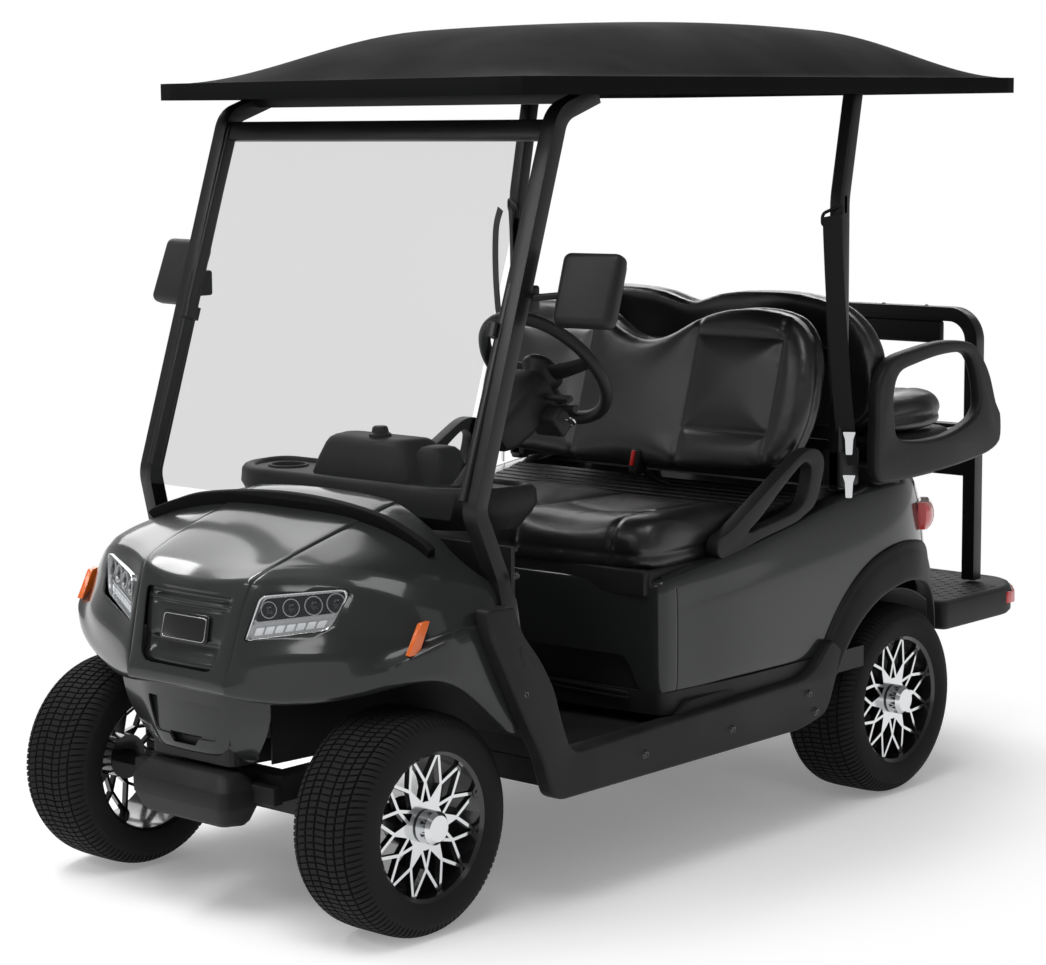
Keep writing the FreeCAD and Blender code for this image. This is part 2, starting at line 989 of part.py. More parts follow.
def make_tie_rod():
    """Rod below the steering arms, with an eye round the pin of each."""
    y = front(0) + s.steer_arm
    top = s.tyre_radius - s.steer_arm_thick / 2 - s.tie_drop
    bottom = top - s.tie_eye_thick
    pieces = [
        rod("tie_bar", "X", s.tie_rod_radius, (-s.kingpin_x, s.kingpin_x), (y, (top + bottom) / 2))
    ]
    bores = []
    for x, play in ((s.kingpin_x, s.bearing_play), (-s.kingpin_x, s.tie_open_play)):
        pieces.append(rod("tie_eye", "Z", s.tie_eye_radius, (bottom, top), (x, y)))
        bores.append(rod("tie_bore", "Z", s.tie_pin_radius + play, (bottom - 9, top + 9), (x, y)))
    node("tie_rod", cut("tie_rod_whole", fuse("tie_rod_block", pieces), bores))


# Rear axle


def make_rear_axle():
    """Axle tube with its brake drums, wheel spindles and final drive case."""
    y, z = rear(0), s.tyre_radius
    tread = s.rear_half_tread
    end = tread + s.spindle_end
    case = rod("drive_case", "X", s.gear_radius, (-s.gear_half_width, s.gear_half_width), (y, z))
    pieces = [
        case,
        rod("axle_tube", "X", s.axle_tube_radius, (-tread + s.drum_inner, tread - s.drum_inner), (y, z)),
        rod("axle_spindle", "X", s.spindle_radius, (-end, end), (y, z)),
    ]
    for start, stop in (
        (tread - s.drum_inner, tread - s.drum_outer),
        (-tread + s.drum_outer, -tread + s.drum_inner),
    ):
        pieces.append(rod("brake_drum", "X", s.drum_radius, (start, stop), (y, z)))
    node("rear_axle", fuse("rear_axle_whole", pieces))


def make_drive_motor():
    start = s.gear_half_width + s.seat_gap
    y = rear(s.motor_ry)
    motor = rod("motor_case", "X", s.motor_radius, (start, start + s.motor_length), (y, s.motor_z))
    ring = rod(
        "motor_end",
        "X",
        s.motor_radius + s.motor_rib,
        (start + s.motor_length - s.motor_rib * 3, start + s.motor_length - s.motor_rib),
        (y, s.motor_z),
    )
    foot = box(
        "motor_foot",
        (start, start + s.motor_rib * 2),
        (rear(0), y),
        (s.tyre_radius - s.axle_tube_radius, s.motor_z),
    )
    clear = rod("motor_tube_clear", "X", s.axle_tube_radius + s.seat_gap, (0, s.rear_half_tread), (rear(0), s.tyre_radius))
    node("drive_motor", cut("drive_motor_whole", fuse("motor_block", [motor, ring, foot]), [clear]))


def make_springs():
    """Leaf pack on each side, curved from eye to eye over the axle tube."""
    y = rear(0)
    seat_z = s.tyre_radius + s.axle_tube_radius + s.seat_gap
    eye_z = s.spring_eye_z
    span = s.spring_half_span
    wide = s.spring_width
    low = FreeCAD.Vector(0, y.value, seat_z.value)
    ends = [FreeCAD.Vector(0, (y + reach).value, eye_z.value) for reach in (-span, span)]
    lift = FreeCAD.Vector(0, 0, s.spring_thick.value)
    under = Part.Arc(ends[0], low, ends[1]).toShape()
    over = Part.Arc(ends[1] + lift, low + lift, ends[0] + lift).toShape()
    sides = [Part.makeLine(ends[1], ends[1] + lift), Part.makeLine(ends[0] + lift, ends[0])]
    face = Part.Face(Part.Wire([under, sides[0], over, sides[1]]))
    leaves = doc.addObject("Part::Feature", "leaf_pack")
    leaves.Shape = face.extrude(FreeCAD.Vector(wide.value, 0, 0))
    place(leaves, s.spring_x - wide / 2)
    x = (s.spring_x - wide / 2, s.spring_x + wide / 2)
    pieces = [leaves]
    bores = []
    for reach in (-span, span):
        centre = (y + reach, eye_z + s.spring_thick / 2)
        pieces.append(rod("spring_eye", "X", s.eye_radius, x, centre))
        hanger_top = s.rail_bottom_z + s.kick_rise
        pieces.append(
            box(
                "spring_hanger",
                x,
                (centre[0] - s.eye_radius, centre[0] + s.eye_radius),
                (centre[1], hanger_top),
            )
        )
        bores.append(rod("spring_bore", "X", s.eye_radius / 2, (x[0] - 1, x[1] + 1), centre))
    left = cut("spring_left", fuse("spring_block", pieces), bores)
    node("leaf_springs", pair("leaf_spring_pair", left))


# Frame, floor and battery


def make_frame():
    """Two rails with a kick-up over the rear axle, joined by cross members."""
    low = s.rail_bottom_z
    high = low + s.rail_height
    kick = rear(s.kick_front_ry)
    kick_end = kick + s.kick_length
    outline = [
        (front(s.rail_front_y), low),
        (kick + s.kick_offset, low),
        (kick_end + s.kick_offset, low + s.kick_rise),
        (rear(s.rail_tail_ry), low + s.kick_rise),
        (rear(s.rail_tail_ry), high + s.kick_rise),
        (kick_end, high + s.kick_rise),
        (kick, high),
        (front(s.rail_front_y), high),
    ]
    inner = s.rail_x - s.rail_width / 2
    rail = prism("frame_rail", "YZ", outline, inner, inner + s.rail_width)
    pieces = [rail, mirror("frame_rail_right", rail)]
    depth = s.cross_depth
    for start, reach in (
        (front(s.rail_front_y), s.rail_x),
        (front(s.floor_front_y), s.floor_half_width - s.cross_inset),
        (front(s.pod_front_y), s.floor_half_width - s.cross_inset),
        (kick - depth * 2, s.floor_half_width - s.cross_inset),
    ):
        pieces.append(box("cross_member", (-reach, reach), (start, start + depth), (low, high)))
    reach = s.spring_x + s.spring_width / 2
    for middle in (rear(-s.spring_half_span), rear(s.spring_half_span)):
        pieces.append(
            box(
                "rear_cross_member",
                (-reach, reach),
                (middle - depth / 2, middle + depth / 2),
                (low + s.kick_rise + s.seat_gap, high + s.kick_rise),
            )
        )
    node("frame", fuse("frame_whole", pieces))


def bulkhead_y():
    """Front face of the bulkhead, just behind the cowl."""
    return front(s.cowl_back_y) + s.seat_gap


def make_floor():
    """Floor panel with the toe board that rises to the cowl."""
    low = s.rail_bottom_z + s.rail_height + s.seat_gap
    start = front(s.floor_front_y)
    end = rear(s.kick_front_ry) - s.floor_rear_gap
    thick = s.floor_thick
    outline = [
        (start, low),
        (end, low),
        (end, low + thick),
        (start + thick, low + thick),
        (bulkhead_y() + thick, s.toe_top_z),
        (bulkhead_y() + thick, s.dash_bottom_z - s.seat_gap),
        (bulkhead_y(), s.dash_bottom_z - s.seat_gap),
        (bulkhead_y(), s.toe_top_z),
    ]
    floor = prism("floor_panel", "YZ", outline, -s.floor_half_width, s.floor_half_width)
    node("floor", floor)


def make_battery():
    base = s.rail_bottom_z + s.rail_height + s.floor_thick + s.seat_gap * 2
    y = front(s.battery_front_y)
    wide = s.battery_half_width
    node(
        "battery",
        box("battery_case", (-wide, wide), (y, y + s.battery_length), (base, base + s.battery_height)),
    )


# Front cowl

BEYOND = 60


def cowl_side(wall, reach):
    """Side outline of the cowl; reach opens it below and behind for the hollow."""
    tuck = (s.valance_y - s.nose_y).value / (s.nose_low_z - s.valance_z).value
    return [
        (front(s.valance_y) + wall + reach * tuck, s.valance_z - reach),
        (front(s.nose_y) + wall, s.nose_low_z),
        (front(s.nose_top_y) + wall, s.nose_top_z - wall / 2),
        (front(s.hood_lip_y) + wall, s.hood_lip_z - wall),
        (front(s.hood_rear_y), s.hood_rear_z - wall),
        (front(s.cowl_back_y) + reach, s.hood_rear_z - wall),
        (front(s.cowl_back_y) + reach, s.cowl_low_z - reach),
    ]


def cowl_plan(wall, reach):
    """Half outline of the cowl from above, from the nose to its rear edge."""
    half = [
        (s.grille_half_width - wall / 2, front(s.nose_y) - s.nose_lead + wall),
        (s.lamp_inner_x - wall / 2, front(s.lamp_inner_y) + wall),
        (s.lamp_outer_x - wall / 2, front(s.lamp_outer_y) + wall),
        (s.cowl_half_width - wall, front(s.side_start_y)),
        (s.cowl_half_width - wall, front(s.cowl_back_y) + reach + 1),
    ]
    return mirrored_outline(half)


def cowl_front(wall, reach):
    half = [
        (s.hood_crown_x, s.hood_crown_z - wall),
        (s.shoulder_x - wall / 2, s.shoulder_z - wall),
        (s.cowl_half_width - wall, s.fender_z - wall / 2),
        (s.cowl_half_width - wall, s.cowl_low_z - reach - 1),
    ]
    top = [(0, s.hood_rear_z - wall)]
    return top + half + [(-x, z) for x, z in reversed(half)]


def cowl_form(name, wall, reach):
    """Block that the cowl's side, plan and front outlines have in common."""
    width = s.cowl_half_width + 1
    y = (front(s.nose_y) - BEYOND, front(s.cowl_back_y) + reach + 1)
    side = prism(name + "_side", "YZ", cowl_side(wall, reach), -width, width)
    plan = prism(name + "_plan", "XY", cowl_plan(wall, reach), s.cowl_low_z - reach, s.hood_rear_z + BEYOND)
    face = prism(name + "_front", "XZ", cowl_front(wall, reach), y[0], y[1])
    return common(name, [side, plan, face])


def grille_outline(gap):
    half = [
        (s.grille_top_half - gap, s.grille_top_z - gap),
        (s.grille_low_half - gap, s.grille_low_z + gap),
    ]
    return mirrored_outline(half)


def lamp_outline(gap):
    """Headlamp opening from the front, on the left side."""
    return [
        (s.lamp_inner_x + gap, s.lamp_top_z - s.lamp_slope - gap),
        (s.lamp_inner_x - s.lamp_lean + gap, s.lamp_low_z + gap),
        (s.lamp_outer_x - s.lamp_lean * 2 - gap, s.lamp_low_z + s.lamp_slope + gap),
        (s.lamp_outer_x - gap, s.lamp_top_z - gap),
    ]


def make_front_body(sill, slot):
    """Hollow cowl with lips round the wheel arches, and the wells inside it."""
    outer = cowl_form("cowl_outer", size_of(0), size_of(0))
    flare_half = [
        (s.flare_front_x, front(s.flare_front_y)),
        (s.flare_front_x + s.flare_turn_x, front(s.flare_front_y) + s.flare_turn_y),
        (s.cowl_half_width + s.flare_reach, front(s.side_start_y) - BEYOND),
        (s.cowl_half_width + s.flare_reach, front(s.cowl_back_y)),
    ]
    flare = prism("fender_flare", "XY", mirrored_outline(flare_half), s.flare_bottom_z, s.flare_top_z)
    flare_low = box(
        "fender_lip",
        (-s.cowl_half_width - s.flare_reach, s.cowl_half_width + s.flare_reach),
        (front(0), front(s.cowl_back_y)),
        (s.cowl_low_z, s.flare_bottom_z + 1),
    )
    inner = cowl_form("cowl_inner", s.cowl_wall, size_of(BEYOND))
    shell = cut("cowl_shell", fuse("cowl_block", [outer, flare, flare_low]), [inner])
    y, z = front(0), s.tyre_radius
    liner_x = (s.arch_inner_x - s.liner_wall, s.cowl_half_width)
    liner = rod("liner_block", "X", s.arch_radius + s.liner_wall, liner_x, (y, z))
    lining = cowl_form("cowl_liner", s.cowl_wall + s.seat_gap, s.cowl_wall)
    wells = common("liner_trim", [lining, liner])
    reach = (s.arch_inner_x, s.cowl_half_width + BEYOND)
    arch = rod("arch_cut", "X", s.arch_radius, reach, (y, z))
    ahead = box(
        "arch_ahead_cut",
        (s.arch_inner_x, s.cowl_half_width + BEYOND),
        (y - s.arch_radius, y),
        (s.cowl_low_z - BEYOND, s.flare_bottom_z),
    )
    taper = prism(
        "valance_taper",
        "XZ",
        [
            (s.valance_half_width, s.flare_bottom_z),
            (s.valance_foot_half_width, s.valance_z),
            (s.valance_foot_half_width, s.cowl_low_z - BEYOND),
            (s.arch_inner_x + 1, s.cowl_low_z - BEYOND),
            (s.arch_inner_x + BEYOND, s.flare_bottom_z),
        ],
        front(s.nose_y) - BEYOND,
        front(s.valance_y) + BEYOND / 2,
    )
    lamp = prism("lamp_cut", "XZ", lamp_outline(size_of(0)), front(s.nose_y) - BEYOND, front(0))
    side_cuts = fuse("cowl_side_cuts", [arch, ahead, taper, lamp, sill, slot])
    grille = prism(
        "grille_cut",
        "XZ",
        grille_outline(size_of(0)),
        front(s.nose_y) - BEYOND,
        front(s.hood_lip_y) + BEYOND / 2,
    )
    node(
        "front_body",
        cut("front_body_whole", shell, [side_cuts, mirror("cowl_side_cuts_right", side_cuts), grille]),
    )
    node("front_wells", pair("front_well_pair", cut("front_well", wells, [side_cuts])))


def nose_band(name, start, stop, low, high):
    """A slab that follows the slope of the nose, between two depths behind it."""
    slope = (s.nose_top_y - s.nose_y).value / (s.nose_top_z - s.nose_low_z).value

    def face_y(z, depth):
        return front(s.nose_y) + (size_of(z) - s.nose_low_z) * slope + depth

    outline = [
        (face_y(low, start), low),
        (face_y(low, stop), low),
        (face_y(high, stop), high),
        (face_y(high, start), high),
    ]
    return prism(name, "YZ", outline, -s.grille_half_width, s.grille_half_width)


def make_grille():
    """Sloping grille panel with bars and a blank plate, set in the nose."""
    low, high = s.grille_low_z, s.grille_top_z
    pieces = [nose_band("grille_back", s.grille_recess, s.grille_recess + s.grille_bar, low, high)]
    pitch = (high - low) / 4
    for number in range(1, 4):
        middle = low + pitch * number
        bar = nose_band(
            "grille_bar",
            s.grille_recess / 3,
            s.grille_recess + 1,
            middle - s.grille_bar / 2,
            middle + s.grille_bar / 2,
        )
        pieces.append(bar)
    face = prism(
        "grille_face", "XZ", grille_outline(s.seat_gap), front(s.nose_y) - 1, front(s.hood_lip_y) + BEYOND
    )
    panel = common("grille_panel", [fuse("grille_bars", pieces), face])
    middle = (low + high) / 2
    plate = common(
        "plate",
        [
            nose_band("plate_slab", size_of(0), s.grille_recess + 1, low, high),
            box(
                "plate_face",
                (-s.plate_half_width, s.plate_half_width),
                (front(s.nose_y) - 1, front(0)),
                (middle - s.plate_height / 2, middle + s.plate_height / 2),
            ),
        ],
    )
    node("grille", fuse("grille_whole", [panel, plate]))


def make_headlamps():
    """Headlamp blocks that fill their openings and follow the nose's sweep."""
    depth = s.lamp_depth
    band = [
        (s.lamp_inner_x - s.lamp_lean * 2, front(s.lamp_inner_y) - s.lamp_proud),
        (s.lamp_outer_x, front(s.lamp_outer_y)),
        (s.lamp_outer_x, front(s.lamp_outer_y) + depth),
        (s.lamp_inner_x - s.lamp_lean * 2, front(s.lamp_inner_y) + depth),
    ]
    plan = prism("lamp_plan", "XY", band, s.lamp_low_z, s.lamp_top_z)
    face = prism(
        "lamp_face", "XZ", lamp_outline(s.seat_gap), front(s.nose_y) - BEYOND, front(s.side_start_y)
    )
    left = common("headlamp_left", [plan, face])
    node("headlamps", pair("headlamp_pair", left))


def make_side_markers():
    """Amber reflector on each fender, sloping with the fender's side."""
    start_y, start_x = front(s.lamp_outer_y), s.lamp_outer_x
    end_y, end_x = front(s.side_start_y), s.cowl_half_width
    along = FreeCAD.Vector((end_x - start_x).value, (end_y - start_y).value, 0)
    length = along.Length
    along.normalize()
    out = FreeCAD.Vector(along.y, -along.x, 0)
    origin = FreeCAD.Vector(start_x.value, start_y.value, 0)
    first = origin + along * (length * float(s.marker_start) / 100)
    last = first + along * float(s.marker_width)
    gap, proud = float(s.seat_gap), float(s.marker_thick)
    ring = [first + out * gap, last + out * gap, last + out * proud, first + out * proud]
    plan = prism("marker_plan", "XY", [(p.x, p.y) for p in ring], s.marker_low_z, s.marker_top_z)
    node("side_markers", pair("marker_pair", plan))


def make_hood_trim():
    """Strip that arches over the rear edge of the hood."""
    rise = s.trim_height
    top = [(0, s.hood_rear_z), (s.hood_crown_x, s.hood_crown_z)]
    slope = (s.shoulder_z - s.hood_crown_z).value / (s.shoulder_x - s.hood_crown_x).value
    end = (s.trim_half_width, s.hood_crown_z + slope * (s.trim_half_width - s.hood_crown_x))
    lower = [(x, z + s.seat_gap) for x, z in top[1:] + [end]]
    upper = [(x, z + rise) for x, z in top[1:] + [end]]
    band = (
        [(0, top[0][1] + rise)]
        + upper
        + list(reversed(lower))
        + [(0, top[0][1] + s.seat_gap)]
        + [(-x, z) for x, z in lower]
        + [(-x, z) for x, z in reversed(upper)]
    )
    y = (front(0), front(s.cowl_back_y) + BEYOND)
    face = prism("trim_face", "XZ", band, y[0], y[1])
    back = front(s.cowl_back_y)
    half = [
        (s.trim_half_width / 2, back - s.trim_sweep / 4),
        (s.trim_half_width + 1, back - s.trim_sweep),
    ]
    outer = half + [(x, y_place - s.trim_depth) for x, y_place in reversed(half)]
    plan_points = (
        outer
        + [(-x, y_place - s.trim_depth) for x, y_place in half]
        + [(-x, y_place) for x, y_place in reversed(half)]
    )
    plan = prism("trim_plan", "XY", plan_points, s.shoulder_z - BEYOND, s.hood_rear_z + BEYOND * 2)
    node("hood_trim", common("hood_trim_whole", [face, plan]))


def bumper_form(name, wall, reach):
    """Block with chamfered edges; reach opens it towards the rear."""
    lead = front(s.bumper_front_y) + wall
    rear_y = front(s.bumper_rear_y) + reach
    low, high = s.bumper_low_z + wall, s.bumper_high_z - wall
    edge = s.bumper_chamfer
    plan = mirrored_outline(
        [
            (s.bumper_face_half - wall / 2, lead),
            (s.bumper_half - wall, front(s.bumper_side_y)),
            (s.bumper_half - wall, rear_y),
        ]
    )
    side = [
        (lead, low + edge),
        (lead, high - edge),
        (lead + edge, high),
        (rear_y, high),
        (rear_y, low),
        (lead + edge, low),
    ]
    across_plan = prism(name + "_plan", "XY", plan, low, high)
    across_side = prism(name + "_side", "YZ", side, -s.bumper_half, s.bumper_half)
    return common(name, [across_plan, across_side])


def make_front_bumper():
    """Moulded bumper block with an arm swept back at each side and two tow feet."""
    outer = bumper_form("bumper_block", size_of(0), size_of(0))
    inner = bumper_form("bumper_hollow", s.bumper_wall, size_of(BEYOND))
    shell = cut("bumper_shell", outer, [inner])
    root_x = s.bumper_half - s.bumper_wall / 2
    outline = [
        (root_x, front(s.bumper_side_y)),
        (s.arm_turn_x, front(s.arm_turn_y)),
        (s.arm_wing_x, front(s.arm_wing_y)),
        (s.arm_wing_x - s.arm_wall, front(s.arm_wing_y)),
        (s.arm_turn_x - s.arm_wall, front(s.arm_turn_y) + s.arm_wall / 2),
        (root_x, front(s.bumper_side_y) + s.arm_wall * 1.5),
    ]
    arm = prism("bumper_arm", "XY", outline, s.arm_low_z, s.arm_high_z)
    bracket = box(
        "bumper_bracket",
        (s.bumper_bracket_x, s.bumper_bracket_x + s.bumper_bracket),
        (front(s.bumper_side_y) - s.bumper_bracket, front(s.rail_front_y) - s.seat_gap),
        (s.rail_bottom_z, s.rail_bottom_z + s.rail_height),
    )
    foot = rod(
        "tow_foot",
        "Z",
        s.tow_foot_radius,
        (s.bumper_low_z - s.tow_foot_drop, s.bumper_low_z + s.bumper_wall / 2),
        (s.tow_foot_x, front(s.bumper_side_y)),
    )
    left = fuse("bumper_fittings", [arm, bracket, foot])
    node("front_bumper", fuse("front_bumper_whole", [shell, left, mirror("bumper_fittings_right", left)]))


# Dash and controls


def make_dash():
    """Dash tray with a cup holder at each end and a raised middle housing."""
    start = front(s.cowl_back_y) + s.seat_gap
    top = s.dash_top_z
    outline = [
        (start, s.dash_bottom_z),
        (start, top - s.dash_drop),
        (start + s.dash_depth / 6, top),
        (start + s.dash_depth * 0.7, top),
        (start + s.dash_depth, top - s.dash_drop),
        (start + s.dash_depth * 0.9, s.dash_bottom_z + s.dash_drop),
        (start + s.dash_depth / 2, s.dash_bottom_z),
    ]
    wide = s.dash_half_width
    body = prism("dash_tray", "YZ", outline, -wide, wide)
    round_edges(body, s.dash_round, corner_edge_x(wide, outline))
    y = start + s.cup_y
    cups = [
        rod("cup_holder", "Z", s.cup_radius, (top - s.cup_depth, top + BEYOND), (x, y))
        for x in (s.cup_x, -s.cup_x)
    ]
    hump_outline = [
        (start + s.hump_y, top - 1),
        (start + s.hump_y + s.hump_slope, s.hump_top_z),
        (start + s.hump_y + s.hump_depth - s.hump_slope / 3, s.hump_top_z - s.hump_slope / 4),
        (start + s.hump_y + s.hump_depth, top - 1),
    ]
    hump = prism("dash_hump", "YZ", hump_outline, -s.hump_half_width, s.hump_half_width)
    round_edges(hump, s.dash_round, lambda edge: edge.BoundBox.ZMax > float(top) + 5)
    return node("dash", cut("dash_whole", fuse("dash_block", [body, hump]), cups))


def corner_edge_x(wide, outline):
    """A test for the upper edges at both ends of a piece that spans X."""
    half = float(wide)
    top = max(float(size_of(z)) for _, z in outline)

    def test(edge):
        limits = edge.BoundBox
        at_end = abs(abs(limits.XMin) - half) < 0.01 and limits.XLength < 0.01
        return at_end and limits.ZMax > top - 60 and limits.ZMin > top - 60

    return test


def steering_place(piece):
    """Moves a piece from the Z axis to the tilted steering axis."""
    result = doc.addObject("Part::Compound", piece.Name + "_placed")
    result.Links = [piece]
    result.Placement.Rotation = FreeCAD.Rotation(FreeCAD.Vector(1, 0, 0), -float(s.steering_tilt))
    place(result, s.steering_x, front(s.steering_y), s.steering_z)
    return result


def make_steering(dash):
    """Steering wheel with three spokes, and the column with its stalks."""
    ring = doc.addObject("Part::Torus", "wheel_ring")
    bind(ring, "Radius1", s.wheel_ring_radius)
    bind(ring, "Radius2", s.wheel_grip_radius)
    hub = rod("wheel_hub", "Z", s.wheel_hub_radius, (-s.wheel_dish, s.wheel_face), (0, 0))
    reach = s.wheel_ring_radius
    half = s.wheel_spoke_width / 2
    thick = (-s.wheel_spoke_thick / 2, s.wheel_spoke_thick / 2)
    shaft_end = -s.wheel_dish - s.running_gap - s.shaft_depth
    pieces = [
        ring,
        hub,
        rod("wheel_shaft", "Z", s.shaft_radius, (shaft_end, size_of(0)), (0, 0)),
        box("wheel_spokes", (-reach, reach), (-half, half), thick),
        box("wheel_low_spoke", (-half, half), (size_of(0), reach), thick),
    ]
    node("steering_wheel", steering_place(fuse("steering_wheel_form", pieces)))
    start = -s.wheel_dish - s.running_gap
    column = rod("column_case", "Z", s.column_radius, (-s.column_length, start - s.column_cowl), (0, 0))
    cowl = rod("column_cowl", "Z", s.column_cowl_radius, (start - s.column_cowl, start), (0, 0))
    stalk = rod(
        "stalk",
        "X",
        s.stalk_radius,
        (-s.stalk_reach, s.stalk_reach),
        (0, start - s.column_cowl / 2),
    )
    bore = rod(
        "column_bore",
        "Z",
        s.shaft_radius + s.bearing_play,
        (shaft_end - s.running_gap, start + 1),
        (0, 0),
    )
    placed = steering_place(cut("column_form", fuse("column_block", [column, cowl, stalk]), [bore]))
    node("steering_column", cut("steering_column_whole", placed, [dash]))


def make_pedals():
    """Brake pedal and accelerator on arms from the toe board."""
    thick = s.pedal_thick
    low_z = s.rail_bottom_z + s.rail_height + s.seat_gap + s.floor_thick
    run = bulkhead_y() - front(s.floor_front_y)
    slope = run.value / (s.toe_top_z - low_z).value

    def toe_y(z):
        return front(s.floor_front_y) + s.floor_thick + (size_of(z) - low_z) * slope

    pieces = []
    for x, wide in ((s.brake_x, s.brake_width), (s.throttle_x, s.throttle_width)):
        low, high = s.pedal_low_z, s.pedal_low_z + s.pedal_height
        reach = s.pedal_reach
        pad_face = [
            (toe_y(low) + reach, low),
            (toe_y(low) + reach + thick, low),
            (toe_y(high) + reach + thick, high),
            (toe_y(high) + reach, high),
        ]
        arm_low, arm_high = high - s.pedal_height / 3, high
        arm = [
            (toe_y(arm_low) + s.seat_gap, arm_low),
            (toe_y(arm_low) + reach + 1, arm_low),
            (toe_y(arm_high) + reach + 1, arm_high),
            (toe_y(arm_high) + s.seat_gap, arm_high),
        ]
        face = prism("pedal_pad", "YZ", pad_face, x - wide / 2, x + wide / 2)
        bar = prism("pedal_arm", "YZ", arm, x - thick, x + thick)
        pieces.append(fuse("pedal", [face, bar]))
    pedals = doc.addObject("Part::Compound", "pedal_set")
    pedals.Links = pieces
    node("pedals", pedals)


# Sills and rear body


def pod_turn_x(ry):
    """Half width of the rear body where it turns in behind the wheel."""
    run = (s.pod_tail_ry - s.pod_turn_ry).value
    slope = (s.pod_tail_half_width - s.body_half_width).value / run
    return s.body_half_width + (size_of(ry) - s.pod_turn_ry) * slope


def make_sills(pillar_slot):
    """Sill on each side with its front leg and the flare over the rear wheel."""
    gap = s.seat_gap
    low, top = s.sill_bottom_z, s.sill_top_z
    outline = [
        (front(s.sill_tip_y), low),
        (rear(0) - s.flare_radius + s.sill_tail, low),
        (rear(0) - s.rear_arch_radius + s.sill_tail, top),
        (front(s.leg_inner_y), top),
        (front(s.leg_knee_y), s.leg_knee_z),
        (front(s.leg_rear_top_y), s.leg_top_z),
        (front(s.leg_rear_top_y) - s.leg_top_width, s.leg_top_z),
        (front(s.leg_front_y), s.leg_front_z),
    ]
    plate = prism("sill_plate", "YZ", outline, s.floor_half_width + gap, s.sill_half_width)
    y, z = rear(0), s.tyre_radius
    start, turn, end = -s.flare_radius, s.pod_turn_ry, s.flare_tail_ry
    meet = turn + (s.body_half_width - s.flare_inner_x) * (
        (s.pod_tail_ry - turn).value / (s.body_half_width - s.pod_tail_half_width).value
    )
    plan = [
        (s.flare_inner_x, rear(start)),
        (s.flare_half_width, rear(start)),
        (s.flare_half_width, rear(turn)),
        (pod_turn_x(end) + s.flare_tail_thick, rear(end)),
        (pod_turn_x(end) + gap * 2, rear(end)),
        (s.flare_inner_x + gap * 2, rear(meet)),
        (s.flare_inner_x, rear(meet) - s.flare_tail_thick / 2),
    ]
    limit = prism("flare_limit", "XY", plan, s.flare_low_z, z + s.flare_radius)
    disc_x = (s.pod_tail_half_width, s.flare_half_width)
    disc = rod("flare_disc", "X", s.flare_radius, disc_x, (y, z))
    flare = common("flare_block", [disc, limit])
    arch_x = (s.pod_tail_half_width - 1, s.flare_half_width + 1)
    arch = rod("rear_arch_cut", "X", s.rear_arch_radius, arch_x, (y, z))
    left = cut("sill_left", fuse("sill_block", [plate, flare]), [arch, pillar_slot])
    node("sills", pair("sill_pair", left))
    return plate


def pod_top_at(y):
    """Height of the rear body's sloping top at a place along the cart."""
    run = (rear(s.pod_top_front_ry) - front(s.pod_step_y)).value
    slope = (s.pod_top_z - s.pod_step_z).value / run
    return s.pod_step_z + (size_of(y) - front(s.pod_step_y)) * slope


def floor_top():
    return s.rail_bottom_z + s.rail_height + s.floor_thick + s.seat_gap * 2


def pod_side(wall, reach):
    return [
        (front(s.pod_front_y) + wall, floor_top() - reach),
        (front(s.pod_front_y) + wall, s.pod_front_top_z - wall),
        (front(s.pod_step_y), s.pod_step_z - wall),
        (rear(s.pod_top_front_ry), s.pod_top_z - wall),
        (rear(s.pod_top_rear_ry), s.pod_top_z - wall),
        (rear(s.pod_tail_ry) - wall, s.pod_tail_z),
        (rear(s.pod_tail_ry) - wall, s.pod_bottom_z - reach),
        (rear(0), s.pod_bottom_z - reach),
        (rear(0), floor_top() - reach),
    ]


def pod_plan(wall):
    half = [
        (s.pod_front_half_width - wall, front(s.pod_front_y) - 1),
        (s.body_half_width - wall, front(s.pod_step_y)),
        (s.body_half_width - wall, rear(s.pod_turn_ry)),
        (s.pod_tail_half_width - wall, rear(s.pod_tail_ry) + 1),
    ]
    return mirrored_outline(half)


def pod_face(wall, reach):
    half = [
        (s.body_half_width - s.tumblehome - wall, s.pod_top_z + 1),
        (s.body_half_width - wall, s.pod_waist_z),
        (s.body_half_width - wall, floor_top() - reach - 1),
    ]
    return mirrored_outline(half)


def pod_form(name, wall, reach):
    width = s.body_half_width + 1
    side = prism(name + "_side", "YZ", pod_side(wall, reach), -width, width)
    plan = prism(name + "_plan", "XY", pod_plan(wall), floor_top() - reach, s.pod_top_z + 1)
    face = prism(
        name + "_front", "XZ", pod_face(wall, reach), front(s.pod_front_y) - 1, rear(s.pod_tail_ry) + 1
    )
    return common(name, [side, plan, face])


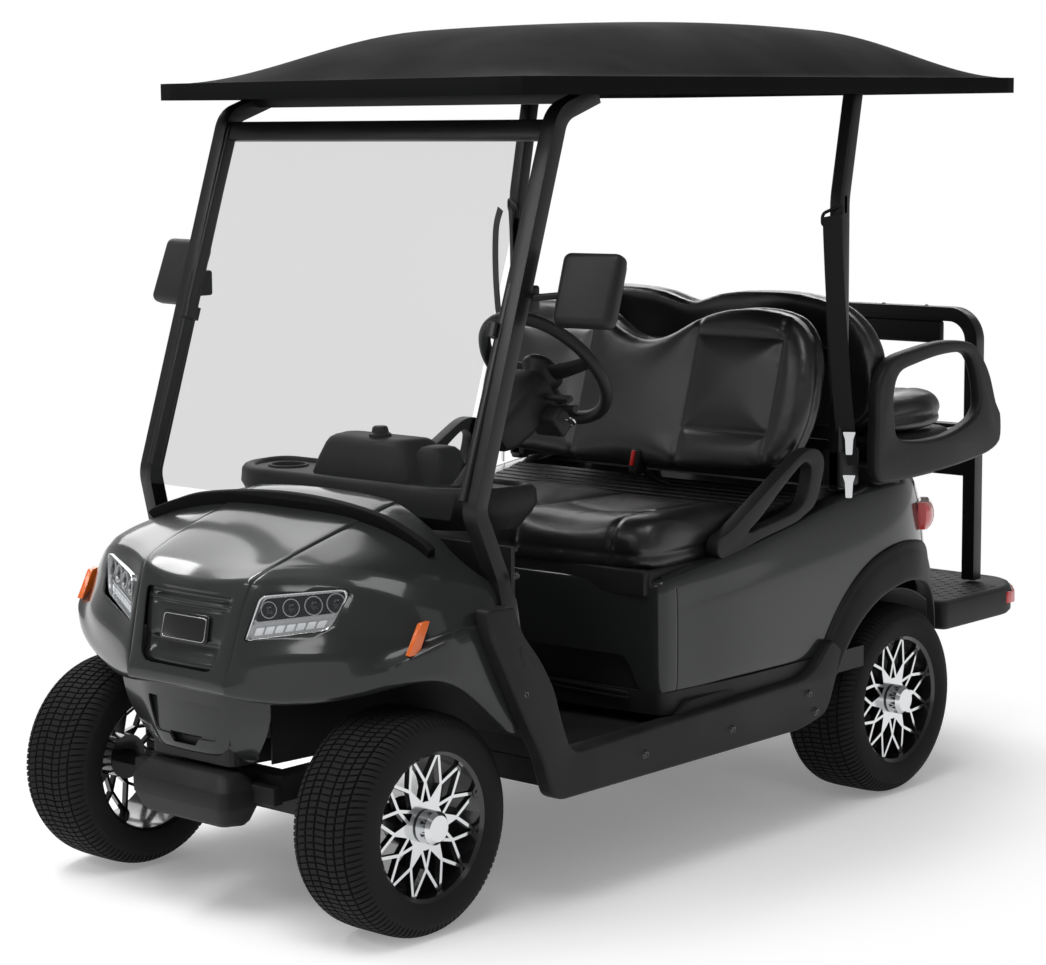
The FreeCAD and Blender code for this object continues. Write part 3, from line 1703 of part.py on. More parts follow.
def make_rear_body():
    """Hollow body under the seats with the battery bay's mouth, and the wells inside it."""
    outer = pod_form("pod_outer", size_of(0), size_of(0))
    inner = pod_form("pod_inner", s.body_wall, size_of(BEYOND))
    shell = cut("pod_shell", outer, [inner])
    y, z = rear(0), s.tyre_radius
    liner = rod(
        "well_block",
        "X",
        s.rear_arch_radius + s.liner_wall,
        (s.liner_inner_x - s.liner_wall, s.body_half_width - 1),
        (y, z),
    )
    lining = pod_form("pod_liner", s.body_wall + s.seat_gap, s.body_wall)
    wells = common("well_trim", [lining, liner])
    well = rod("well_cut", "X", s.rear_arch_radius, (s.liner_inner_x, s.flare_half_width), (y, z))
    flare = rod(
        "flare_clear",
        "X",
        s.flare_radius + s.seat_gap,
        (s.flare_inner_x - s.seat_gap, s.flare_half_width),
        (y, z),
    )
    sill = box(
        "sill_clear",
        (s.floor_half_width, s.sill_half_width),
        (front(s.pod_front_y) - 1, rear(0)),
        (floor_top() - 1, s.sill_top_z + s.seat_gap),
    )
    sides = fuse("pod_side_cuts", [well, flare, sill])
    bay_half = s.battery_half_width + s.bay_margin
    bay = box(
        "bay_mouth",
        (-bay_half, bay_half),
        (front(s.pod_front_y) + s.bay_lip, front(s.bay_rear_y)),
        (s.pod_front_top_z - s.bay_lip, s.pod_top_z + 1),
    )
    rail_top = s.rail_bottom_z + s.rail_height + s.kick_rise
    notch_half = s.spring_x + s.spring_width / 2 + s.seat_gap
    notch = box(
        "frame_notch",
        (-notch_half, notch_half),
        (rear(0), rear(s.pod_tail_ry) + 1),
        (s.pod_bottom_z - 1, rail_top + s.seat_gap),
    )
    kick = prism(
        "kick_recess",
        "XZ",
        mirrored_outline([(s.kick_top_half, s.kick_top_z), (s.kick_low_half, s.pod_bottom_z)]),
        front(s.pod_front_y) - 1,
        front(s.pod_front_y) + s.kick_depth,
    )
    node("rear_wells", pair("rear_well_pair", cut("rear_well", wells, [sides, notch])))
    shell = cut("pod_cut", shell, [sides, mirror("pod_side_cuts_right", sides), bay, kick, notch])
    hinge_y, hinge_z = front(s.cushion_front_y), s.pod_front_top_z
    pins = [
        rod("seat_hinge", "X", s.hinge_radius, (start, start + s.hinge_length), (hinge_y, hinge_z))
        for start in (s.hinge_x, -s.hinge_x - s.hinge_length)
    ]
    node("rear_body", fuse("rear_body_whole", [shell] + pins))


def make_deck():
    """Slatted deck between the seats, lying on the sloping top of the rear body."""
    start, end = front(s.deck_front_y), front(s.deck_rear_y)
    low, high = pod_top_at(start) + s.seat_gap, pod_top_at(end) + s.seat_gap
    outline = [
        (start, low),
        (end, high),
        (end, high + s.deck_thick),
        (start, low + s.deck_thick),
    ]
    body = prism("deck_panel", "YZ", outline, -s.deck_half_width, s.deck_half_width)
    node("deck", body)


# Seats


def front_back_rear_y(z):
    """Place of the front backrest's rear face at a height."""
    foot, thick = front(s.back_foot_y), s.back_thick
    middle = (s.back_low_z + s.back_top_z) / 2
    if float(size_of(z)) < float(middle):
        start, end = (foot + thick, s.back_low_z), (foot + s.back_lean / 2 + thick, middle)
    else:
        start = (foot + s.back_lean / 2 + thick, middle)
        end = (foot + s.back_lean + thick / 2, s.back_top_z)
    slope = (end[0] - start[0]).value / (end[1] - start[1]).value
    return start[0] + (size_of(z) - start[1]) * slope


def make_front_seat():
    """Cushion over the battery bay and the backrest between the rear pillars."""
    start = front(s.cushion_front_y)
    end = start + s.cushion_depth
    low = s.pod_front_top_z + s.cushion_nose / 5
    top = low + s.cushion_height
    outline = [
        (start + s.cushion_nose / 2, low),
        (start, low + s.cushion_nose),
        (start + s.cushion_nose / 3, top - s.cushion_nose),
        (start + s.cushion_nose * 2, top),
        (end - s.cushion_nose, pod_top_at(end) + s.cushion_rear_height),
        (end, pod_top_at(end) + s.cushion_rear_height / 2),
        (end, pod_top_at(end) + s.seat_gap),
        (front(s.pod_step_y), s.pod_step_z + s.seat_gap),
    ]
    wide = s.seat_half_width
    node("front_cushion", prism("front_cushion_side", "YZ", outline, -wide, wide))
    foot = front(s.back_foot_y)
    lean, thick = s.back_lean, s.back_thick
    low, top = s.back_low_z, s.back_top_z
    side = prism(
        "front_back_side",
        "YZ",
        [
            (foot, low),
            (foot + lean, top),
            (foot + lean + thick / 2, top),
            (foot + lean / 2 + thick, (low + top) / 2),
            (foot + thick, low),
        ],
        -s.seat_half_width,
        s.seat_half_width,
    )
    half = [
        (s.hump_x, top + 1),
        (s.hump_x + s.hump_half, top + 1),
        (s.seat_half_width, top - s.hump_drop),
        (s.seat_half_width, low + s.hump_drop / 2),
        (s.seat_half_width - s.hump_drop, low - 1),
    ]
    outline = [(0, top - s.dip_depth)] + half + [(-x, z) for x, z in reversed(half)]
    face = prism("front_back_face", "XZ", outline, foot - 1, foot + lean + thick * 2)
    node("front_backrest", common("front_backrest_whole", [side, face]))


def rear_cushion_start():
    return rear(s.rear_back_ry) + s.rear_back_thick * 1.1 + s.seat_gap


def rear_seat_end():
    return rear_cushion_start() + s.rear_cushion_depth


def make_rear_seat():
    """Rear facing bench: base with armrests, cushion and backrest."""
    foot = rear(s.rear_back_ry)
    thick = s.rear_back_thick
    low, top = s.rear_base_z + s.rear_base_height + s.seat_gap, s.rear_back_top_z
    side = prism(
        "rear_back_side",
        "YZ",
        [
            (foot, low),
            (foot, top - s.hump_drop),
            (foot + thick / 3, top),
            (foot + thick * 0.8, top - s.hump_drop / 3),
            (foot + thick * 1.1, (low + top) / 2),
            (foot + thick, low),
        ],
        -s.rear_back_half_width,
        s.rear_back_half_width,
    )
    half = [
        (s.hump_x, top + 1),
        (s.hump_x + s.hump_half, top + 1),
        (s.rear_back_half_width, top - s.hump_drop * 1.5),
        (s.rear_back_half_width, low - 1),
    ]
    outline = [(0, top - s.dip_depth * 0.6)] + half + [(-x, z) for x, z in reversed(half)]
    face = prism("rear_back_face", "XZ", outline, foot - 1, foot + thick * 2)
    node("rear_backrest", common("rear_backrest_whole", [side, face]))
    base_top = s.rear_base_z + s.rear_base_height
    start = rear_cushion_start()
    cushion = [
        (start, base_top + s.seat_gap),
        (start + s.rear_cushion_depth, base_top + s.seat_gap),
        (start + s.rear_cushion_depth, base_top + s.rear_cushion_height * 0.7),
        (start + s.rear_cushion_depth * 0.85, base_top + s.rear_cushion_height),
        (start, base_top + s.rear_cushion_height * 0.8),
    ]
    node(
        "rear_cushion",
        prism("rear_cushion_side", "YZ", cushion, -s.rear_seat_half_width, s.rear_seat_half_width),
    )
    arm_x = s.rear_arm_x
    base = box(
        "rear_seat_tray",
        (-arm_x, arm_x),
        (rear(s.rear_base_ry), rear_seat_end() - s.seat_gap),
        (s.rear_base_z, base_top),
    )
    loop = new_body("armrest_loop")
    y = rear(s.armrest_ry)
    pad(loop, "YZ", [armrest_outline(y)], arm_x, arm_x + s.armrest_width)
    pocket(loop, "YZ", [armrest_hole(y)], arm_x - 1, arm_x + s.armrest_width + 1)
    node("rear_seat_frame", fuse("rear_seat_frame_whole", [base, loop, mirror("armrest_right", loop)]))


def armrest_outline(y):
    z = s.rear_base_z
    return [
        (y, z),
        (y, z + s.armrest_rise * 0.72),
        (y + s.armrest_length * 0.13, z + s.armrest_rise * 0.96),
        (y + s.armrest_length * 0.64, z + s.armrest_rise),
        (y + s.armrest_length * 0.84, z + s.armrest_rise * 0.9),
        (y + s.armrest_length * 0.96, z + s.armrest_rise * 0.45),
        (y + s.armrest_length, z + s.armrest_rise * 0.1),
        (y + s.armrest_length * 0.86, z),
    ]


def armrest_hole(y):
    z = s.rear_base_z
    return [
        (y + s.armrest_length * 0.14, z + s.armrest_rise * 0.36),
        (y + s.armrest_length * 0.13, z + s.armrest_rise * 0.65),
        (y + s.armrest_length * 0.2, z + s.armrest_rise * 0.83),
        (y + s.armrest_length * 0.6, z + s.armrest_rise * 0.89),
        (y + s.armrest_length * 0.7, z + s.armrest_rise * 0.84),
        (y + s.armrest_length * 0.74, z + s.armrest_rise * 0.46),
        (y + s.armrest_length * 0.62, z + s.armrest_rise * 0.3),
        (y + s.armrest_length * 0.45, z + s.armrest_rise * 0.24),
        (y + s.armrest_length * 0.25, z + s.armrest_rise * 0.27),
    ]


def make_hip_handles():
    """Closed loop handle at each end of the front seat."""
    y, z = front(s.handle_y), s.handle_z
    length, rise = s.handle_length, s.handle_rise
    outline = [
        (y, z + rise * 0.18),
        (y + length * 0.13, pod_top_at(y + length * 0.13) + s.seat_gap),
        (y + length * 0.68, pod_top_at(y + length * 0.68) + s.seat_gap),
        (y + length, z + rise * 0.72),
        (y + length * 0.93, z + rise * 0.95),
        (y + length * 0.72, z + rise),
        (y + length * 0.22, z + rise * 0.52),
    ]
    hole = [
        (y + length * 0.29, z + rise * 0.29),
        (y + length * 0.35, z + rise * 0.42),
        (y + length * 0.75, z + rise * 0.83),
        (y + length * 0.82, z + rise * 0.79),
        (y + length * 0.75, z + rise * 0.48),
        (y + length * 0.32, z + rise * 0.24),
    ]
    loop = new_body("handle_loop")
    x = s.handle_x
    pad(loop, "YZ", [outline], x, x + s.handle_width)
    pocket(loop, "YZ", [hole], x - 1, x + s.handle_width + 1)
    node("hip_handles", pair("hip_handle_pair", loop))


# Rear platform


def make_footplate():
    """Rear footplate with cut corners and a deep skirt."""
    start, end = rear(s.rail_tail_ry) + s.seat_gap, rear(s.plate_tail_ry)
    half = [
        (s.plate_front_half, start),
        (s.plate_half, start + s.plate_cut),
        (s.plate_half, end - s.plate_cut),
        (s.plate_half - s.plate_cut, end),
    ]
    outline = mirrored_outline(half)
    body = prism("footplate_block", "XY", outline, s.plate_top_z - s.plate_skirt, s.plate_top_z)
    hollow = [
        (s.plate_front_half - s.plate_wall, start + s.plate_wall),
        (s.plate_half - s.plate_wall, start + s.plate_cut + s.plate_wall / 2),
        (s.plate_half - s.plate_wall, end - s.plate_cut - s.plate_wall / 2),
        (s.plate_half - s.plate_cut - s.plate_wall / 2, end - s.plate_wall),
    ]
    pocket(
        body,
        "XY",
        [mirrored_outline(hollow)],
        s.plate_top_z - s.plate_skirt - 1,
        s.plate_top_z - s.plate_wall,
    )
    node("footplate", body)


def make_grab_frame():
    """Tubular frame that stands on the footplate, with struts to the seat base."""
    x, y = s.grab_x, rear(s.grab_ry)
    foot, top = s.plate_top_z + s.seat_gap, s.grab_top_z
    points = [(-x, y, foot), (-x, y, top), (x, y, top), (x, y, foot)]
    section = (s.grab_tube, s.grab_tube)
    pieces = [tube("grab_hoop", points, section, s.grab_bend)]
    half = s.grab_tube / 2
    for z in (s.grab_low_z, s.grab_high_z):
        span = (-x + half - 1, x - half + 1)
        pieces.append(box("grab_cross", span, (y - half, y + half), (z - half, z + half)))
    reach = rear_seat_end()
    for side in (-1, 1):
        start = x * side - half
        pieces.append(
            box(
                "grab_strut",
                (start, start + s.grab_tube),
                (reach, y),
                (s.grab_high_z - half, s.grab_high_z + half),
            )
        )
    node("grab_frame", fuse("grab_frame_whole", pieces))


def make_tail_lamps():
    """Lamp on each rear corner, along the turn of the body's side."""
    first = FreeCAD.Vector(float(s.body_half_width), rear(s.pod_turn_ry).value, 0)
    last = FreeCAD.Vector(float(s.pod_tail_half_width), rear(s.pod_tail_ry).value + 1, 0)
    along = last - first
    length = along.Length
    along.normalize()
    out = FreeCAD.Vector(along.y, -along.x, 0)
    start = first + along * (length * 0.45)
    end = first + along * (length * 0.92)
    gap, proud = float(s.seat_gap), float(s.tail_lamp_proud)
    ring = [start + out * gap, end + out * gap, end + out * proud, start + out * proud]
    lamp = prism("tail_lamp", "XY", [(p.x, p.y) for p in ring], s.tail_lamp_low_z, s.tail_lamp_top_z)
    node("tail_lamps", pair("tail_lamp_pair", lamp))


# Canopy and windshield


def make_canopy():
    """Domed roof with a deep rim, hollowed a little from below."""
    start, end = front(s.roof_front_y), rear(s.roof_tail_ry)
    low, rim, top = s.roof_low_z, s.roof_low_z + s.roof_rim, s.roof_top_z
    rise = top - rim
    side = prism(
        "roof_side",
        "YZ",
        [
            (start, low),
            (start, rim),
            (start + s.roof_shelf, rim + rise * 0.08),
            (start + s.roof_slope, rim + rise * 0.6),
            (start + s.roof_slope * 2.2, rim + rise * 0.88),
            (front(s.roof_crown_y), top),
            (end - s.roof_slope * 2.2, rim + rise * 0.88),
            (end - s.roof_slope, rim + rise * 0.6),
            (end - s.roof_shelf, rim + rise * 0.08),
            (end, rim),
            (end, low),
        ],
        -s.roof_half_width,
        s.roof_half_width,
    )
    half = [
        (s.roof_half_width * 0.42, rim + rise * 0.92),
        (s.roof_half_width * 0.72, rim + rise * 0.6),
        (s.roof_half_width - s.roof_shelf, rim + rise * 0.08),
        (s.roof_half_width, rim),
        (s.roof_half_width, low),
    ]
    outline = [(0, top)] + half + [(-x, z) for x, z in reversed(half)]
    face = prism("roof_face", "XZ", outline, start, end)
    dome = common("roof_dome", [side, face])
    hollow = box(
        "roof_hollow",
        (-s.roof_half_width + s.roof_lip, s.roof_half_width - s.roof_lip),
        (start + s.roof_lip, end - s.roof_lip),
        (low - 1, low + s.roof_recess),
    )
    node("canopy", cut("canopy_whole", dome, [hollow]))


def front_pillar_route():
    """Centre line of the left front pillar, from the canopy to its foot."""
    x = s.pillar_x
    top = s.roof_low_z + s.roof_recess - s.pillar_width / 2 - s.seat_gap
    return [
        (x, front(s.pillar_top_y) + s.pillar_run, top),
        (x, front(s.pillar_top_y), top - s.pillar_fall),
        (x, front(s.knee_y), s.knee_z),
        (x + s.pillar_foot_out * 0.35, front(s.knee_y) + s.pillar_foot_back, s.knee_z - s.pillar_leg / 2),
        (x + s.pillar_foot_out, front(s.knee_y) + s.pillar_foot_back, s.knee_z - s.pillar_leg),
    ]


def make_front_pillars():
    section = (s.pillar_width, s.pillar_width)
    left = tube("front_pillar", front_pillar_route(), section, s.pillar_bend)
    route = front_pillar_route()
    top_z = route[0][2]
    y = route[0][1]
    half = s.pillar_width / 2
    bar = box(
        "pillar_bar",
        (-s.pillar_x + half - 1, s.pillar_x - half + 1),
        (y - s.pillar_width, y),
        (top_z - half, top_z + half),
    )
    node("front_pillars", fuse("front_pillars_whole", [left, mirror("front_pillar_right", left), bar]))
    wide = s.pillar_width + s.seat_gap * 2
    return tube("pillar_slot", front_pillar_route(), (wide, wide), s.pillar_bend)


def make_rear_pillars():
    """Pillars behind the front seat with the cross bars that carry both backrests."""
    x = s.rear_pillar_x
    y = front(s.rear_pillar_y)
    top = s.roof_low_z + s.roof_recess - s.seat_gap
    half = s.rear_pillar_width / 2
    foot = pod_top_at(y + half) + s.seat_gap
    points = [
        (x, y + s.rear_pillar_lean, top + half),
        (x, y, s.rear_pillar_bend_z),
        (x, y, foot),
    ]
    section = (s.rear_pillar_width, s.rear_pillar_width)
    left = tube("rear_pillar", points, section, s.pillar_bend * 3)
    pieces = [left, mirror("rear_pillar_right", left)]
    for z in (s.back_bar_low_z, s.back_bar_high_z):
        span = (-x + half - 1, x - half + 1)
        pieces.append(box("back_bar", span, (y - half, y + half), (z - half, z + half)))
        for lug_x in (-s.back_lug_x, s.back_lug_x):
            low, high = z - half, z + half
            lug = [
                (front_back_rear_y(low) + s.seat_gap, low),
                (y, low),
                (y, high),
                (front_back_rear_y(high) + s.seat_gap, high),
            ]
            pieces.append(prism("back_lug", "YZ", lug, lug_x - half, lug_x + half))
    trim = box("rear_pillar_trim", (-x - half - 1, x + half + 1), (y - BEYOND, y + BEYOND * 2), (top, top + BEYOND))
    node("rear_pillars", cut("rear_pillars_trimmed", fuse("rear_pillars_whole", pieces), [trim]))


def windshield_place(name, piece):
    """Leans a piece from the upright plane at Y zero back along the pillars."""
    rise = (s.roof_low_z - s.knee_z).value
    run = (s.pillar_top_y - s.knee_y).value
    lean = math.degrees(math.atan2(run, rise - float(s.pillar_fall)))
    result = doc.addObject("Part::Compound", name)
    result.Links = [piece]
    result.Placement.Rotation = FreeCAD.Rotation(FreeCAD.Vector(1, 0, 0), -lean)
    ahead = s.pillar_width / 2 + s.seat_gap
    shift = ahead / math.cos(math.radians(lean))
    place(result, 0, front(s.knee_y) - shift, s.knee_z)
    return result


def make_windshield():
    """Framed windshield in front of the pillars."""
    wide, high = s.shield_half_width, s.shield_height
    side, top, thick = s.shield_side, s.shield_top, s.shield_thick
    start = s.shield_start
    frame = new_body("shield_bars")
    pad(frame, "XZ", [mirrored_outline([(wide, start + high), (wide, start)])], -thick, 0)
    pocket(
        frame,
        "XZ",
        [mirrored_outline([(wide - side, start + high - top), (wide - side, start + side)])],
        -thick - 1,
        1,
    )
    node("windshield_frame", windshield_place("shield_frame_placed", frame))
    gap = s.seat_gap
    glass = box(
        "shield_pane",
        (-wide + side + gap, wide - side - gap),
        (-thick / 2 - s.glass_thick / 2, -thick / 2 + s.glass_thick / 2),
        (start + side + gap, start + high - top - gap),
    )
    node("windshield_glass", windshield_place("shield_pane_placed", glass))


def pillar_y_at(z):
    """Where the sloping run of the front pillar is at a height."""
    route = front_pillar_route()
    top, knee = route[1], route[2]
    slope = (top[1] - knee[1]).value / (top[2] - knee[2]).value
    return knee[1] + (size_of(z) - knee[2]) * slope


def make_mirrors():
    """Door mirror on an arm from each front pillar."""
    x = s.pillar_x + s.pillar_width / 2 + s.mirror_arm
    z, y = s.mirror_low_z, front(s.mirror_y)
    body = prism(
        "mirror_case",
        "XZ",
        [
            (x, z),
            (x, z + s.mirror_height),
            (x + s.mirror_width, z + s.mirror_height * 1.02),
            (x + s.mirror_width, z + s.mirror_height * 0.04),
        ],
        y,
        y + s.mirror_depth,
    )
    round_edges(body, s.mirror_round, lambda edge: edge.BoundBox.YLength > float(s.mirror_depth) - 1)
    stem_z = z + s.mirror_height / 3
    stem_x = x + s.mirror_round * 2
    stem_y = pillar_y_at(stem_z)
    start = s.pillar_x + s.pillar_width / 2 + s.seat_gap
    pieces = [
        body,
        box(
            "mirror_stem",
            (start, stem_x + s.mirror_stem),
            (stem_y - s.mirror_stem, stem_y + s.mirror_stem),
            (stem_z - s.mirror_stem, stem_z + s.mirror_stem),
        ),
        box(
            "mirror_neck",
            (stem_x - s.mirror_stem, stem_x + s.mirror_stem),
            (stem_y, y + 1),
            (stem_z - s.mirror_stem, stem_z + s.mirror_stem),
        ),
    ]
    node("mirrors", pair("mirror_pair", fuse("mirror_left", pieces)))


def make_seat_belts():
    """Belt in front of each rear pillar, from its upper guide to the latch."""
    x = s.rear_pillar_x - s.belt_width / 2
    y = front(s.rear_pillar_y) - s.rear_pillar_width / 2 - s.seat_gap
    across_x = (x, x + s.belt_width)
    pieces = [
        box("belt_strap", across_x, (y - s.belt_thick, y), (s.belt_low_z, s.belt_top_z)),
        box(
            "belt_guide",
            across_x,
            (y - s.belt_thick * 5, y),
            (s.belt_top_z - 1, s.belt_top_z + s.belt_width / 2),
        ),
    ]
    node("seat_belts", pair("belt_pair", fuse("belt_left", pieces)))


def check_and_write():
    """Recomputes the document, stops at any failed object and writes each node."""
    doc.recompute()
    for item in doc.Objects:
        if "Invalid" in item.State or "Error" in item.State:
            raise RuntimeError("%s failed: %s" % (item.Label, item.State))
    os.makedirs("parts", exist_ok=True)
    for label, piece in nodes.items():
        shape = piece.Shape
        if shape.isNull() or not shape.isValid() or not shape.Solids:
            raise RuntimeError("%s has no sound shape" % label)
        shape.exportStep("parts/%s.step" % label)
    print(len(nodes), "sub-parts written")


make_wheels()
make_front_axle()
make_knuckle("left", 1)
make_knuckle("right", -1)
make_tie_rod()
make_rear_axle()
make_drive_motor()
make_springs()
make_frame()
make_floor()
make_battery()
make_grille()
make_headlamps()
make_side_markers()
make_hood_trim()
make_front_bumper()
dash_piece = make_dash()
make_steering(dash_piece)
make_pedals()
pillar_slot = make_front_pillars()
make_front_body(make_sills(pillar_slot), pillar_slot)
make_rear_body()
make_deck()
make_front_seat()
make_rear_seat()
make_hip_handles()
make_footplate()
make_grab_frame()
make_tail_lamps()
make_canopy()
make_rear_pillars()
make_windshield()
make_mirrors()
make_seat_belts()
check_and_write()
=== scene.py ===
import json
import math

import bmesh
import bpy
from mathutils import Matrix, Vector


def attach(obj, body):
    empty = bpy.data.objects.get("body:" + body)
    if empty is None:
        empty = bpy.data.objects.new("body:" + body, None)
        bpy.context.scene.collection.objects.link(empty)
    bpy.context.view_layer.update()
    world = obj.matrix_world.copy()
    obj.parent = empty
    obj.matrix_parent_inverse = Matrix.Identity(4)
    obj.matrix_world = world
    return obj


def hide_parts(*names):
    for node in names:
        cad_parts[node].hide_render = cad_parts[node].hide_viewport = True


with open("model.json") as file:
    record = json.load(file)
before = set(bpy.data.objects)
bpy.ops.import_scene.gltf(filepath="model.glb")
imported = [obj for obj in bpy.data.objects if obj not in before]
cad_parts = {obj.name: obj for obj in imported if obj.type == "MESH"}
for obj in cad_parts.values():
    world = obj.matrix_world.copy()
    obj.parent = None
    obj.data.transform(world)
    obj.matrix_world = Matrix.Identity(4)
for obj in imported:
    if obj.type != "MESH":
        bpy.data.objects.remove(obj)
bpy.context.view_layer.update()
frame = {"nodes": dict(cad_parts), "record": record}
nodes = frame["nodes"]
scene = bpy.context.scene

frontAxle = -1.094  # place of the front axle along Y
rearAxle = 0.570
hubHeight = 0.240


# small helpers

def atFront(x, y, z):
    # a point measured rearwards from the front axle
    return Vector((x, y + frontAxle, z))


def addNode(tree, kind, inputs=None, **settings):
    node = tree.nodes.new(kind)
    for name, value in settings.items():
        setattr(node, name, value)
    for name, value in (inputs or {}).items():
        socket = node.inputs[name]
        if isinstance(value, bpy.types.NodeSocket):
            tree.links.new(value, socket)
        else:
            socket.default_value = value
    return node


def addObject(name, mesh):
    piece = bpy.data.objects.new(name, mesh)
    scene.collection.objects.link(piece)
    return piece


def newMesh(name, points, faces, smooth=True, outward=True):
    mesh = bpy.data.meshes.new(name)
    mesh.from_pydata([tuple(p) for p in points], [], faces)
    if outward:
        form = bmesh.new()
        form.from_mesh(mesh)
        bmesh.ops.remove_doubles(form, verts=form.verts, dist=1e-6)
        bmesh.ops.recalc_face_normals(form, faces=form.faces)
        form.to_mesh(mesh)
        form.free()
    if smooth:
        mesh.shade_smooth()
    return addObject(name, mesh)


def bakeModifiers(piece):
    # turns the evaluated object into a plain mesh
    graph = bpy.context.evaluated_depsgraph_get()
    graph.update()
    mesh = bpy.data.meshes.new_from_object(piece.evaluated_get(graph))
    old = piece.data
    piece.modifiers.clear()
    piece.data = mesh
    if old.users == 0:
        bpy.data.meshes.remove(old)
    return piece


def subdivide(piece, levels):
    step = piece.modifiers.new("smooth", "SUBSURF")
    step.levels = levels
    step.render_levels = levels
    return piece


def solidify(piece, thickness, offset=-1.0):
    step = piece.modifiers.new("wall", "SOLIDIFY")
    step.thickness = thickness
    step.offset = offset
    return piece


def bevel(piece, width, segments=2, angle=35):
    step = piece.modifiers.new("edges", "BEVEL")
    step.width = width
    step.segments = segments
    step.limit_method = "ANGLE"
    step.angle_limit = math.radians(angle)
    step.use_clamp_overlap = True
    step.harden_normals = False
    return piece


def smoothByAngle(piece, angle=35):
    piece.data.shade_smooth()
    piece.data.set_sharp_from_angle(angle=math.radians(angle))
    return piece


def soften(piece, width, segments, angle, smooth=None):
    # rounds the edges for good; smooth is the angle up to which faces shade as one
    bevel(piece, width, segments, angle)
    bakeModifiers(piece)
    return smoothByAngle(piece, smooth) if smooth else piece


def cutWith(piece, tool):
    step = piece.modifiers.new("cut", "BOOLEAN")
    step.object = tool
    step.operation = "DIFFERENCE"
    step.solver = "EXACT"
    bakeModifiers(piece)
    mesh = tool.data
    bpy.data.objects.remove(tool)
    bpy.data.meshes.remove(mesh)
    return piece


def joinPieces(name, pieces):
    # one object out of several plain ones
    form = bmesh.new()
    for piece in pieces:
        form.from_mesh(piece.data)
    mesh = bpy.data.meshes.new(name)
    form.to_mesh(mesh)
    form.free()
    for piece in pieces:
        old = piece.data
        bpy.data.objects.remove(piece)
        bpy.data.meshes.remove(old)
    mesh.shade_smooth()
    return addObject(name, mesh)


def mirrorPiece(piece, name):
    # the same plain piece on the other side, with its faces turned back outwards
    mesh = piece.data.copy()
    mesh.transform(Matrix.Scale(-1, 4, (1, 0, 0)))
    mesh.flip_normals()
    return addObject(name, mesh)


def cadCopy(name, node):
    # a merged copy of a CAD node's mesh
    mesh = nodes[node].data.copy()
    mesh.name = name
    form = bmesh.new()
    form.from_mesh(mesh)
    bmesh.ops.remove_doubles(form, verts=form.verts, dist=2e-5)
    bmesh.ops.dissolve_limit(
        form, angle_limit=math.radians(1.0), verts=form.verts, edges=form.edges
    )
    form.to_mesh(mesh)
    form.free()
    mesh.materials.clear()
    return addObject(name, mesh)


def roundedCopy(name, node, width, segments, angle):
    return soften(cadCopy(name, node), width, segments, angle, 40)


def dress(piece, material, slot, body="chassis", replaced=()):
    piece.data.materials.clear()
    piece.data.materials.append(material)
    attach(piece, body)
    if replaced:
        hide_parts(*replaced)
    return piece


def bothSides(piece, material, slot, replaced=()):
    # dresses a left piece and its mirror image on the right
    other = mirrorPiece(piece, piece.name.replace("left", "right"))
    for side in (piece, other):
        dress(side, material, slot, "chassis", replaced)


# sides of a block: corners in the order of x, y, z, or as two rings of four
boxSides = [(0, 1, 3, 2), (4, 6, 7, 5), (0, 4, 5, 1), (2, 3, 7, 6), (0, 2, 6, 4), (1, 5, 7, 3)]
prismSides = [(0, 1, 2, 3), (4, 5, 6, 7), (0, 1, 5, 4), (1, 2, 6, 5), (2, 3, 7, 6), (3, 0, 4, 7)]


def gridFaces(columns, rows):
    # quads between neighbouring columns of points
    faces = []
    for c in range(columns - 1):
        for r in range(rows - 1):
            a = c * rows + r
            faces.append((a, a + 1, a + rows + 1, a + rows))
    return faces


def ringFaces(rings, size):
    # quads between neighbouring closed rings of points
    faces = []
    for ring in range(rings - 1):
        first, second = ring * size, (ring + 1) * size
        for k in range(size):
            n = (k + 1) % size
            faces.append((first + k, first + n, second + n, second + k))
    return faces


def stackedRings(name, rings):
    # solid skin over rings of points, closed at both ends
    size, count = len(rings[0]), len(rings)
    ends = [tuple(range(size)), tuple(range((count - 1) * size, count * size))]
    return newMesh(name, [p for ring in rings for p in ring], ringFaces(count, size) + ends)


def sweep(name, path, profile, up=(0, 0, 1), closed=False):
    # carries a flat profile of (across, up) points along a path; a fourth value there is a scale
    rings = []
    count, size = len(path), len(profile)
    for index, spot in enumerate(path):
        before = path[(index - 1) % count] if closed or index else path[0]
        after = path[(index + 1) % count] if closed or index < count - 1 else path[-1]
        along = (Vector(after[:3]) - Vector(before[:3])).normalized()
        side = along.cross(Vector(up))
        side = side.normalized() if side.length > 1e-4 else Vector((1, 0, 0))
        top = side.cross(along).normalized()
        scale = spot[3] if len(spot) > 3 else 1.0
        centre = Vector(spot[:3])
        rings.append([centre + side * (a * scale) + top * (b * scale) for a, b in profile])
    if not closed:
        return stackedRings(name, rings)
    last = (count - 1) * size
    joint = [(last + k, last + (k + 1) % size, (k + 1) % size, k) for k in range(size)]
    return newMesh(name, [p for ring in rings for p in ring], ringFaces(count, size) + joint)


def circleProfile(radius, sides, squash=1.0):
    turns = [2 * math.pi * k / sides for k in range(sides)]
    return [(radius * math.cos(turn), radius * squash * math.sin(turn)) for turn in turns]


def roundedBox(width, height, radius, steps=4):
    # outline of a rectangle with rounded corners, counter clockwise
    points = []
    for cx, cy, start in ((1, 1, 0), (-1, 1, 90), (-1, -1, 180), (1, -1, 270)):
        for step in range(steps + 1):
            turn = math.radians(start + 90 * step / steps)
            x = cx * (width / 2 - radius) + radius * math.cos(turn)
            points.append((x, cy * (height / 2 - radius) + radius * math.sin(turn)))
    return points


